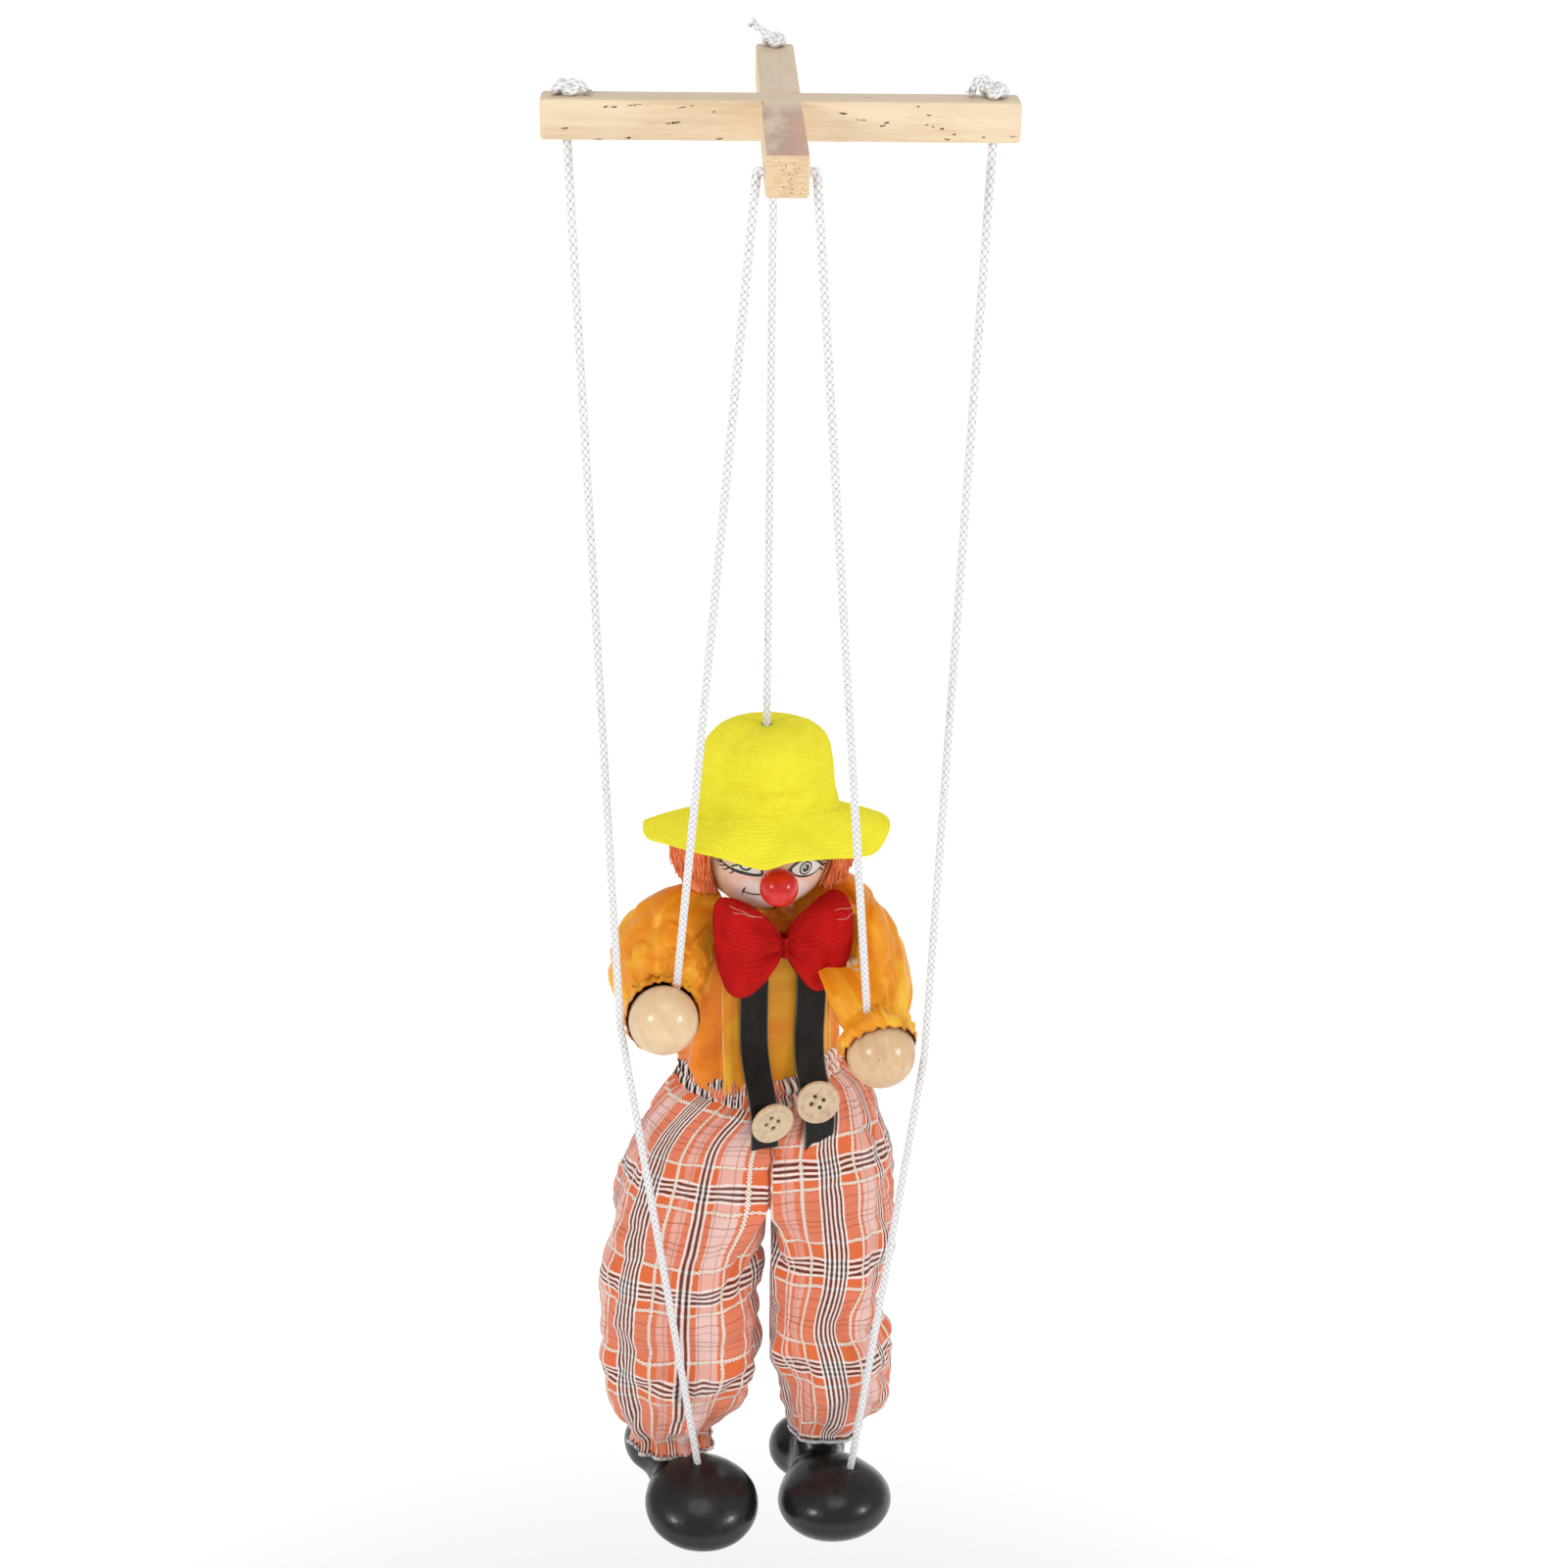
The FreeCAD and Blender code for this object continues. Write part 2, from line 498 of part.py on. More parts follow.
for side in ("left", "right"):
    a = arm[side]
    sh, el, ha, n, outward, sx = a["shoulder"], a["elbow"], a["hand"], a["n"], a["outward"], a["sx"]
    # upper arm: an eye on the shoulder pin, a dowel, a flat tongue at the elbow
    e = unit(el - sh)
    eye = disc(sh, n, 4.6, 5.0)
    dowel = rod(sh + e * 1.0, el - e * NECK_LENGTH, ARM_R)
    t, hole = tongue(el, n, sh - el, NECK_LENGTH + 4)
    up = eye.fuse([dowel, t]).cut(hole)
    keepout = rod(sh - outward * 30, sh - outward * 2.5, 9.0)
    up = up.cut(keepout).cut(disc(sh, n, 1.5 + PIN_FIT, 20)).cut(rod(sh + outward * 2.5, sh + outward * 20, 5.2))
    keep(side + "_upper_arm", up)
    # forearm: fork at the elbow, eye in the middle of the hand
    e = unit(ha - el)
    slot, hole, barrel = fork(el, n, ha - el, ARM_R)
    dowel = rod(el + e * 0.6, ha - e * (HAND_R + 1.6), ARM_R)
    t, eyehole = tongue(ha, n, el - ha, HAND_R + 4)
    fore = barrel.fuse([dowel, t]).cut(slot).cut(hole).cut(eyehole)
    keep(side + "_forearm", fore)
    keep(side + "_elbow_pin", pin(el, n, ARM_R))
    # hand: a ball with a cross pin, slotted at the back for the forearm
    ball = Part.makeSphere(HAND_R, ha)
    cavity = disc(ha, n, EYE_R + 0.5, SLOT_T)
    eb = in_plane(el - ha, n)
    for k in range(6):
        ang = math.radians(-1.5 + 6.0 * k)
        r = eb * math.cos(ang) + n.cross(eb) * math.sin(ang)
        cavity = cavity.fuse(box(ha, r, n.cross(r), n, 0, HAND_R + 3, -3.1, 3.1, -SLOT_T / 2, SLOT_T / 2))
    ball = ball.cut(cavity)
    ball = ball.fuse(disc(ha, n, PIN_R, 2 * HAND_R - 6))
    ball = ball.cut(rod(a["entry"] + a["up"] * 6, a["entry"] - a["up"] * 4.5, 1.75))
    keep(side + "_hand", ball)
    # string, from the side of the front bar to the hand
    end = a["entry"] - a["up"] * 3.2
    keep(side + "_hand_string", rod(a["top"], end, STRING_D / 2))
    a["string_end"] = end
    # sleeve: full at the shoulder, gathered over the hand
    c = sh + unit(el - sh) * 10 + V(sx * 5, 0, 1.5)
    sleeve = spheroid(c, el - sh, 16.5, 13.5)
    sleeve = sleeve.cut(rod(sh - e * 0, sh + unit(el - sh) * 40, 5.2))
    sleeve = sleeve.cut(rod(sh - outward * 40, sh - outward * 3.2, 60))
    sleeve = sleeve.cut(rod(sh - outward * 4, sh + outward * 5.4, 5.6))
    sleeve = sleeve.cut(Part.makeSphere(HAND_R + 9.5, ha + V(0, 0, -4)))
    mid = el + unit(sh - el) * 6.0
    sleeve = sleeve.cut(rod(mid, mid + unit(el - sh) * 40, 40))
    keep(side + "_sleeve_upper", sleeve)
    c = el + unit(ha - el) * 13.0
    low = spheroid(c, ha - el, 11.0, 10.5)
    low = low.cut(rod(el - unit(ha - el) * 5, ha, 4.6))
    low = low.cut(Part.makeSphere(HAND_R + 0.8, ha))
    back = el + unit(sh - el) * 5.4
    low = low.cut(rod(back, back + unit(sh - el) * 60, 60))
    keep(side + "_sleeve_lower", low)

# ---------------------------------------------------------------- legs

for side in ("left", "right"):
    g = leg[side]
    hip, kn, an, n, sx = g["hip"], g["knee"], g["ankle"], g["n"], g["sx"]
    e = unit(kn - hip)
    slot, hole, barrel = fork(hip, n, kn - hip, LEG_R)
    dowel = rod(hip + e * 0.6, kn - e * NECK_LENGTH, LEG_R)
    t, eyehole = tongue(kn, n, hip - kn, NECK_LENGTH + 4)
    keep(side + "_thigh", barrel.fuse([dowel, t]).cut(slot).cut(hole).cut(eyehole))
    keep(side + "_hip_pin", pin(hip, n, LEG_R))
    e = unit(an - kn)
    slot, hole, barrel = fork(kn, n, an - kn, LEG_R)
    slot2, hole2, barrel2 = fork(an, n, kn - an, LEG_R)
    shin = rod(kn + e * 0.6, an - e * 0.6, LEG_R).fuse(barrel).fuse(barrel2)
    shin = shin.cut(slot).cut(slot2).cut(hole).cut(hole2)
    keep(side + "_shin", shin)
    keep(side + "_knee_pin", pin(kn, n, LEG_R))
    keep(side + "_ankle_pin", pin(an, n, LEG_R))
    # shoe: a big round toe, a smaller heel, flat sole, and the ankle tongue
    P = g["shoe"]
    toe = spheroid(P(0, 0, 0), g["ez"], TOE_H, TOE_R)
    heel = spheroid(P(0, LOBE_DISTANCE, 0), g["ez"], HEEL_H, HEEL_R)
    waist = spheroid(P(0, LOBE_DISTANCE * 0.5, -1.0), g["ey"], 16.0, 11.0)
    shoe = toe.fuse([heel, waist])
    shoe = shoe.cut(box(P(0, 0, 0), g["ex"], g["ey"], g["ez"], -60, 60, -60, 90, -60, -SOLE_DROP))
    t, eyehole = tongue(an, n, V(0, 0, -1), 16)
    shoe = shoe.fuse(t).cut(eyehole)
    low_run = unit(g["bend"] - g["entry"])
    g["up"] = low_run
    shoe = shoe.cut(rod(g["entry"] + low_run * 8, g["entry"] - low_run * 7, 1.75))
    keep(side + "_shoe", shoe)
    # foot string: upper run to the hand, round it, and down to the shoe
    hole_mouth = V(g["hole"].x, g["hole"].y, STRING_HEAD_TOP_Z)
    end = g["entry"] - low_run * 5.0
    g["mouth"], g["string_end"] = hole_mouth, end
    bend = g["bend"]
    d0, d1 = unit(hole_mouth - bend), unit(end - bend)
    half = math.acos(d0.dot(d1)) / 2
    r = HAND_R + STRING_D / 2
    back = r / math.tan(half)
    half_turn = math.pi / 2 - half
    mid_dir = unit(d0 + d1)
    centre = bend + mid_dir * (r / math.sin(half))
    middle = centre - mid_dir * r
    # the two halves meet at the middle of the arc
    q = unit(d0 - d1)
    for name, first, d, far, sign in (("upper", hole_mouth, d0, hole_mouth, 1), ("lower", end, d1, end, -1)):
        p0 = bend + d * back
        ang = half_turn / 2
        arc_mid = centre - mid_dir * (r * math.cos(ang)) + q * (sign * r * math.sin(ang))
        wire = Part.Wire([Part.LineSegment(far, p0).toShape(), Part.Arc(p0, arc_mid, middle).toShape()])
        prof = Part.Wire([Part.Circle(far, unit(p0 - far), STRING_D / 2).toShape()])
        s = wire.makePipeShell([prof], True, False)
        s = s if s.ShapeType == "Solid" else Part.Solid(s.Shells[0])
        if s.Volume < 0:
            s.reverse()
        print("%s foot string, %s: length %.1f mm, arc radius %.1f mm, turn %.1f deg, volume %.1f of %.1f mm3"
              % (side, name, wire.Length, r, math.degrees(half_turn), s.Volume,
                 wire.Length * math.pi * STRING_D ** 2 / 4))
        keep(side + "_foot_string_" + name, s)
    g["meet"] = middle
    g["bend_centre"] = centre
    # trouser leg: a full tube of cloth, drawn in at the ankle
    c = hip + unit(kn - hip) * (THIGH * 0.50)
    th = spheroid(c, kn - hip, 21.2, 20.2)
    th = th.cut(rod(hip - unit(kn - hip) * 10, kn + unit(kn - hip) * 10, LEG_R + 1.2))
    keep(side + "_trouser_thigh", th)
    c = kn + unit(an - kn) * (SHIN * 0.52)
    sn = spheroid(c, an - kn, 24.0, 18.0)
    sn = sn.cut(rod(kn - unit(an - kn) * 10, an + unit(an - kn) * 10, LEG_R + 1.2))
    keep(side + "_trouser_shin", sn)

# ---------------------------------------------------------------- files

os.makedirs("parts", exist_ok=True)
for name, shape in parts.items():
    shape.exportStep("parts/%s.step" % name)
print(len(parts), "sub-parts")
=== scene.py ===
import bpy
import math
import numpy as np
from mathutils import Matrix, Vector


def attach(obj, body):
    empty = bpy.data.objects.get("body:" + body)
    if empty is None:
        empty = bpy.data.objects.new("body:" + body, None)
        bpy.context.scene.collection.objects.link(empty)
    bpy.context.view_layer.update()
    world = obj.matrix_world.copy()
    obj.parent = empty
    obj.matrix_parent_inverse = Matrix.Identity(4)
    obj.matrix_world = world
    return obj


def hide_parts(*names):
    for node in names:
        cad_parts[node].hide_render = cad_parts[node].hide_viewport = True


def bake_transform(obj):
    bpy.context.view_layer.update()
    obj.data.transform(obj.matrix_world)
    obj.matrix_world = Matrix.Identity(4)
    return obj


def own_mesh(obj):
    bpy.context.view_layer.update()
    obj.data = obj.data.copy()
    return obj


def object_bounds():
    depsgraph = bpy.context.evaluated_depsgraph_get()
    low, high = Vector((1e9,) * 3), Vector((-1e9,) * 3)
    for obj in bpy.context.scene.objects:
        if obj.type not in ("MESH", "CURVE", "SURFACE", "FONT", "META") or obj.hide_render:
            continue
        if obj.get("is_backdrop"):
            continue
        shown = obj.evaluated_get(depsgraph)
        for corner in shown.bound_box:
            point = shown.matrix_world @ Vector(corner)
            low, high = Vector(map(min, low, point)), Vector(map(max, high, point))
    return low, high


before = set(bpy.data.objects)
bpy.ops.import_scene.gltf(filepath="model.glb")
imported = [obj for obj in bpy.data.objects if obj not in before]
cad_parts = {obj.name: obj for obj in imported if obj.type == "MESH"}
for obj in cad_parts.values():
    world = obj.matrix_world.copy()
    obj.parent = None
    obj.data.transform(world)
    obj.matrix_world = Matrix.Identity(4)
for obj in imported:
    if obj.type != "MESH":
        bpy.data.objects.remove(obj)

CAD_LOW, CAD_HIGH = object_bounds()
CAD_LOW, CAD_HIGH = [list(map(float, v)) for v in (CAD_LOW, CAD_HIGH)]
MM = 0.001
scene = bpy.context.scene
scene.view_settings.view_transform = "Standard"

# ------------------------------------------------------------------ small helpers


def A(*a):
    return np.array(a, float)


def unit(a):
    a = np.asarray(a, float)
    return a / np.linalg.norm(a)


def yaw(deg):
    c, s = math.cos(math.radians(deg)), math.sin(math.radians(deg))
    return A(c, s, 0), A(-s, c, 0)


BU, BV = yaw(18.0)            # the trunk's right and back
HU, HV = yaw(8.0)             # the head's
ZZ = A(0, 0, 1)
T0 = A(0, 76, 0)


def trunk(u, w, z):
    return T0 + BU * u + BV * w + ZZ * z


rng = np.random.RandomState(11)
PERM = rng.permutation(256)
PERM = np.concatenate([PERM, PERM, PERM])
GRAD = rng.normal(size=(256, 3))
GRAD /= np.linalg.norm(GRAD, axis=1)[:, None]


def noise(p):
    p = np.asarray(p, float)
    i = np.floor(p).astype(int)
    f = p - i
    i &= 255
    w = f * f * f * (f * (f * 6 - 15) + 10)
    out = 0
    for dx in (0, 1):
        for dy in (0, 1):
            for dz in (0, 1):
                h = PERM[PERM[PERM[i[..., 0] + dx] + i[..., 1] + dy] + i[..., 2] + dz] & 255
                g = GRAD[h]
                d = ((f - A(dx, dy, dz)) * g).sum(-1)
                ww = ((w[..., 0] if dx else 1 - w[..., 0]) * (w[..., 1] if dy else 1 - w[..., 1])
                      * (w[..., 2] if dz else 1 - w[..., 2]))
                out = out + d * ww
    return out


def fbm(p, octaves=3):
    s, a = 0, 1.0
    for k in range(octaves):
        s = s + a * noise(np.asarray(p) * 2.0 ** k + 13.7 * k)
        a *= 0.5
    return s


def ridge(p):
    """Sharp creases between soft swells, from -1 to about 0.3."""
    return 0.35 - 2.2 * np.clip(0.30 - np.abs(noise(p)), 0, 1)


def smooth(a, b, x):
    t = np.clip((np.asarray(x, float) - a) / (b - a), 0, 1)
    return t * t * (3 - 2 * t)


def catmull(xs, ys, x):
    """A smooth curve through (xs, ys), read at x. ys may be vectors."""
    xs = np.asarray(xs, float)
    ys = np.asarray(ys, float)
    one = ys.ndim == 1
    if one:
        ys = ys[:, None]
    x = np.clip(np.asarray(x, float), xs[0], xs[-1])
    k = np.clip(np.searchsorted(xs, x, side="right") - 1, 0, len(xs) - 2)
    m = np.zeros_like(ys)
    m[1:-1] = (ys[2:] - ys[:-2]) / (xs[2:] - xs[:-2])[:, None]
    m[0] = (ys[1] - ys[0]) / (xs[1] - xs[0])
    m[-1] = (ys[-1] - ys[-2]) / (xs[-1] - xs[-2])
    h = (xs[k + 1] - xs[k])[..., None]
    t = ((x - xs[k]) / (xs[k + 1] - xs[k]))[..., None]
    r = ((2 * t ** 3 - 3 * t ** 2 + 1) * ys[k] + (t ** 3 - 2 * t ** 2 + t) * h * m[k]
         + (-2 * t ** 3 + 3 * t ** 2) * ys[k + 1] + (t ** 3 - t ** 2) * h * m[k + 1])
    return r[..., 0] if one else r


# ------------------------------------------------------------------ meshes


def add_mesh(name, verts, faces, uvs=None, material=None, smoothed=True, face_material=None):
    me = bpy.data.meshes.new(name)
    me.from_pydata((np.asarray(verts, float) * MM).tolist(), [], [list(map(int, f)) for f in faces])
    if uvs is not None:
        layer = me.uv_layers.new(name="UVMap")
        layer.data.foreach_set("uv", np.asarray(uvs, np.float32).ravel())
    if smoothed:
        me.polygons.foreach_set("use_smooth", [True] * len(me.polygons))
    for m in ([material] if not isinstance(material, (list, tuple)) else material):
        if m is not None:
            me.materials.append(m)
    if face_material is not None:
        me.polygons.foreach_set("material_index", np.asarray(face_material, np.int32))
    me.validate()
    me.update()
    o = bpy.data.objects.new(name, me)
    scene.collection.objects.link(o)
    return o


def grid_faces(nv, nu, closed, flip=False, base=0):
    cols = nu if closed else nu - 1
    i, j = np.meshgrid(np.arange(nv - 1), np.arange(cols), indexing="ij")
    i, j = i.ravel(), j.ravel()
    a = i * nu + j
    b = i * nu + (j + 1) % nu
    c = (i + 1) * nu + (j + 1) % nu
    d = (i + 1) * nu + j
    q = np.stack([a, d, c, b] if flip else [a, b, c, d], 1) + base
    k = np.stack([np.stack([i, j], 1), np.stack([i, j + 1], 1), np.stack([i + 1, j + 1], 1), np.stack([i + 1, j], 1)], 1)
    if flip:
        k = k[:, [0, 3, 2, 1]]
    return q, k


def surface(name, P, UV=None, closed=False, material=None, flip=False):
    """P is (nv, nu, 3) in mm; UV is (nv, nu + closed, 2)."""
    nv, nu = P.shape[:2]
    q, k = grid_faces(nv, nu, closed, flip)
    uvs = None
    if UV is not None:
        uvs = UV[k[..., 0], k[..., 1]].reshape(-1, 2)
    return add_mesh(name, P.reshape(-1, 3), q, uvs, material)


def joined(name, parts, material=None):
    """parts: list of (verts, faces as arrays/lists, uvs per loop or None, material index)."""
    vs, fs, us, ms, n = [], [], [], [], 0
    for v, f, u, m in parts:
        vs.append(np.asarray(v, float))
        fs += [[int(x) + n for x in face] for face in f]
        loops = sum(len(face) for face in f)
        us.append(np.zeros((loops, 2)) if u is None else np.asarray(u, float).reshape(-1, 2))
        ms += [m] * len(f)
        n += len(v)
    return add_mesh(name, np.concatenate(vs), fs, np.concatenate(us), material, True, ms)


def frames_along(line):
    """Tangent and two normals at every point, without twist."""
    t = np.gradient(line, axis=0)
    t /= np.linalg.norm(t, axis=1)[:, None]
    first = A(0, 1, 0) if abs(t[0][1]) < 0.9 else A(1, 0, 0)
    n = first - t[0] * (first @ t[0])
    n /= np.linalg.norm(n)
    ns = [n]
    for i in range(1, len(line)):
        n = ns[-1] - t[i] * (ns[-1] @ t[i])
        n /= max(np.linalg.norm(n), 1e-9)
        ns.append(n)
    ns = np.array(ns)
    return t, ns, np.cross(t, ns)


def tube(line, radius, seg=8, cap=True, uvlen=True):
    """(verts, faces, uvs) of a tube along line; radius is a number, (n,) or (n, seg)."""
    line = np.asarray(line, float)
    n = len(line)
    t, a, b = frames_along(line)
    th = np.linspace(0, 2 * math.pi, seg, endpoint=False)
    r = np.asarray(radius, float)
    r = np.broadcast_to(r if r.ndim == 2 else np.broadcast_to(r, (n,))[:, None], (n, seg))
    P = line[:, None] + r[..., None] * (np.cos(th)[None, :, None] * a[:, None] + np.sin(th)[None, :, None] * b[:, None])
    d = np.concatenate([[0], np.cumsum(np.linalg.norm(np.diff(line, axis=0), axis=1))])
    UV = np.stack(np.broadcast_arrays(np.arange(seg + 1)[None, :] / seg, d[:, None]), -1)
    q, k = grid_faces(n, seg, True)
    uvs = UV[k[..., 0], k[..., 1]].reshape(-1, 2)
    faces = q.tolist()
    if cap:
        faces.append(list(range(seg))[::-1])
        faces.append([(n - 1) * seg + i for i in range(seg)])
        uvs = np.concatenate([uvs, np.zeros((2 * seg, 2))])
    return P.reshape(-1, 3), faces, uvs


def nurbs(points, step=0.5):
    """The route's NURBS spline through its control points (mm), read back and evenly spaced."""
    cu = bpy.data.curves.new("route", "CURVE")
    cu.dimensions = "3D"
    cu.resolution_u = 24
    sp = cu.splines.new("NURBS")
    sp.points.add(len(points) - 1)
    for q, p in zip(sp.points, points):
        q.co = (p[0] * MM, p[1] * MM, p[2] * MM, 1)
    sp.order_u = 3
    sp.use_endpoint_u = True
    o = bpy.data.objects.new("route", cu)
    scene.collection.objects.link(o)
    me = bpy.data.meshes.new_from_object(o)
    line = np.array([v.co[:] for v in me.vertices]) / MM
    bpy.data.objects.remove(o)
    bpy.data.curves.remove(cu)
    bpy.data.meshes.remove(me)
    d = np.concatenate([[0], np.cumsum(np.linalg.norm(np.diff(line, axis=0), axis=1))])
    n = max(4, int(round(d[-1] / step)))
    s = np.linspace(0, d[-1], n + 1)
    return np.stack([np.interp(s, d, line[:, i]) for i in range(3)], 1)


# ------------------------------------------------------------------ materials


class Mat:
    def __init__(self, name, **values):
        self.m = bpy.data.materials.new(name)
        self.m.use_nodes = True
        self.t = self.m.node_tree
        self.b = self.t.nodes["Principled BSDF"]
        for k, v in values.items():
            self.b.inputs[k.replace("_", " ")].default_value = v if not isinstance(v, tuple) else (*v, 1.0)[:4]

    def n(self, kind, inputs=None, **props):
        node = self.t.nodes.new("ShaderNode" + kind)
        for k, v in props.items():
            setattr(node, k, v)
        for k, v in (inputs or {}).items():
            s = node.inputs[k]
            if hasattr(v, "is_linked") or hasattr(v, "links"):
                self.t.links.new(v, s)
            elif isinstance(v, (tuple, list)) and len(v) == 3 and s.type == "RGBA":
                s.default_value = (*v, 1.0)
            else:
                s.default_value = v
        return node

    def math(self, op, a, b=0.0, clamp=False):
        return self.n("Math", {0: a, 1: b}, operation=op, use_clamp=clamp).outputs[0]

    def mix(self, f, a, b, kind="MIX"):
        return self.n("MixRGB", {"Fac": f, "Color1": a, "Color2": b}, blend_type=kind).outputs[0]

    def obj(self):
        return self.n("TexCoord").outputs["Object"]

    def uv(self):
        return self.n("TexCoord").outputs["UV"]

    def scaled(self, v, s, loc=(0, 0, 0), rot=(0, 0, 0)):
        return self.n("Mapping", {"Vector": v, "Scale": s, "Location": loc, "Rotation": rot}).outputs[0]

    def noise(self, v, scale, detail=2.0, rough=0.5):
        return self.n("TexNoise", {"Vector": v, "Scale": scale, "Detail": detail, "Roughness": rough}).outputs["Fac"]

    def range(self, x, a, b, c=0.0, d=1.0, smooth=True):
        return self.n("MapRange", {"Value": x, "From Min": a, "From Max": b, "To Min": c, "To Max": d},
                      interpolation_type="SMOOTHSTEP" if smooth else "LINEAR").outputs[0]

    def sep(self, v):
        s = self.n("SeparateXYZ", {0: v})
        return s.outputs[0], s.outputs[1], s.outputs[2]

    def ramp(self, f, stops, kind="LINEAR"):
        r = self.n("ValToRGB", {"Fac": f})
        r.color_ramp.interpolation = kind
        e = r.color_ramp.elements
        while len(e) < len(stops):
            e.new(0.5)
        for x, (p, c) in zip(e, stops):
            x.position = p
            x.color = (*c, 1.0)
        return r.outputs[0]

    def color(self, c):
        self.t.links.new(c, self.b.inputs["Base Color"])

    def rough(self, r):
        self.t.links.new(r, self.b.inputs["Roughness"])

    def bump(self, h, dist, strength=1.0, before=None):
        ins = {"Height": h, "Distance": dist, "Strength": strength}
        if before is not None:
            ins["Normal"] = before
        o = self.n("Bump", ins).outputs[0]
        self.t.links.new(o, self.b.inputs["Normal"])
        return o


def bar_wood(name, along):
    """Bare pale wood: long grain, fine pores, a few dark flecks; along is 0 for X, 1 for Y."""
    m = Mat(name, Roughness=0.62, Specular_IOR_Level=0.35)
    v = m.scaled(m.obj(), (1000, 1000, 1000))
    x, y, z = m.sep(v)
    g = [0.45, 0.45, 0.45]
    g[along] = 0.018
    grain = m.noise(m.scaled(v, tuple(g)), 1.0, 4.0, 0.6)
    f = [2.6, 2.6, 2.6]
    f[along] = 0.10
    fine = m.noise(m.scaled(v, tuple(f)), 1.0, 3.0, 0.65)
    cloud = m.noise(m.scaled(v, (0.05, 0.05, 0.05)), 1.0, 2.0)
    c = m.ramp(grain, [(0.28, (0.68, 0.50, 0.315)), (0.50, (0.79, 0.61, 0.405)), (0.72, (0.84, 0.67, 0.46))])
    c = m.mix(m.range(fine, 0.50, 0.72, 0.0, 0.6), c, (0.62, 0.45, 0.28))
    c = m.mix(m.range(cloud, 0.40, 0.65), c, m.mix(0.5, c, (0.86, 0.70, 0.50)))
    # painted shade: the upward faces are drawn in a cooler, greyer tone
    nz = m.sep(m.n("NewGeometry").outputs["Normal"])[2]
    c = m.mix(m.math("MULTIPLY", m.range(nz, 0.4, 0.9), 0.62), c, (0.56, 0.46, 0.35))
    # dark flecks lie along the grain, in some places only
    k = [0.42, 0.42, 0.42]
    k[along] = 0.10
    tilt = (0, 0.05, 0.02) if along == 0 else (0.04, 0, 0.03)
    vo = m.n("TexVoronoi", {"Vector": m.scaled(v, tuple(k), (3.3, 1.7, 0.4), tilt), "Scale": 1.0, "Randomness": 1.0})
    pick = m.sep(vo.outputs["Color"])[0]
    d = m.math("ADD", vo.outputs["Distance"], m.math("MULTIPLY", m.noise(v, 0.9, 2.0), 0.10))
    fleck = m.math("MULTIPLY", m.range(d, 0.185, 0.125), m.range(pick, 0.90, 0.92))
    halo = m.math("MULTIPLY", m.range(d, 0.36, 0.12), m.range(pick, 0.88, 0.92))
    c = m.mix(m.math("MULTIPLY", halo, 0.35), c, (0.45, 0.27, 0.13))
    c = m.mix(fleck, c, (0.040, 0.022, 0.014))
    height = m.math("SUBTRACT", fine, m.math("MULTIPLY", fleck, 1.5))
    if along == 1:
        # a purple-pink stain on the upper face in front of the joint, and end grain on the front end
        s = m.math("MULTIPLY", m.range(nz, 0.4, 0.8), m.range(y, -4.0, -30.0))
        s = m.math("MULTIPLY", s, m.range(m.noise(m.scaled(v, (0.16, 0.05, 0.1)), 1.0, 3.0), 0.30, 0.62))
        c = m.mix(m.math("MULTIPLY", s, 0.80), c, (0.43, 0.25, 0.19))
        pinks = m.math("MULTIPLY", m.math("MULTIPLY", m.range(nz, 0.4, 0.8), m.range(x, 0.0, 4.0)), m.range(y, -18.0, -38.0))
        c = m.mix(m.math("MULTIPLY", pinks, 0.38), c, (0.70, 0.37, 0.25))
        ny = m.math("ABSOLUTE", m.sep(m.n("NewGeometry").outputs["Normal"])[1])
        end = m.range(ny, 0.6, 0.9)
        pores = m.n("TexVoronoi", {"Vector": m.scaled(v, (1.25, 0.2, 1.25)), "Scale": 1.0})
        rings = m.noise(m.scaled(v, (0.25, 0.05, 1.1), (0, 0, 0), (0, 0.5, 0)), 1.0, 3.0)
        e = m.mix(m.range(rings, 0.35, 0.65), (0.80, 0.60, 0.38), (0.70, 0.50, 0.30))
        r2 = m.math("SQRT", m.math("ADD", m.math("POWER", m.math("SUBTRACT", x, 0.6), 2.0),
                                   m.math("POWER", m.math("SUBTRACT", z, 0.2), 2.0)))
        dots = m.math("MULTIPLY", m.range(pores.outputs["Distance"], 0.20, 0.10),
                      m.range(m.math("ADD", r2, m.math("MULTIPLY", m.noise(v, 0.5, 2.0), 4.0)), 6.6, 4.2))
        dots = m.math("MULTIPLY", dots, m.range(m.sep(pores.outputs["Color"])[1], 0.30, 0.42))
        e = m.mix(dots, e, (0.09, 0.05, 0.03))
        c = m.mix(end, c, e)
        height = m.math("SUBTRACT", height, m.math("MULTIPLY", m.math("MULTIPLY", end, dots), 1.2))
    m.color(c)
    m.rough(m.range(fine, 0.2, 0.8, 0.52, 0.72, False))
    m.bump(height, 0.00022, 0.7)
    return m.m


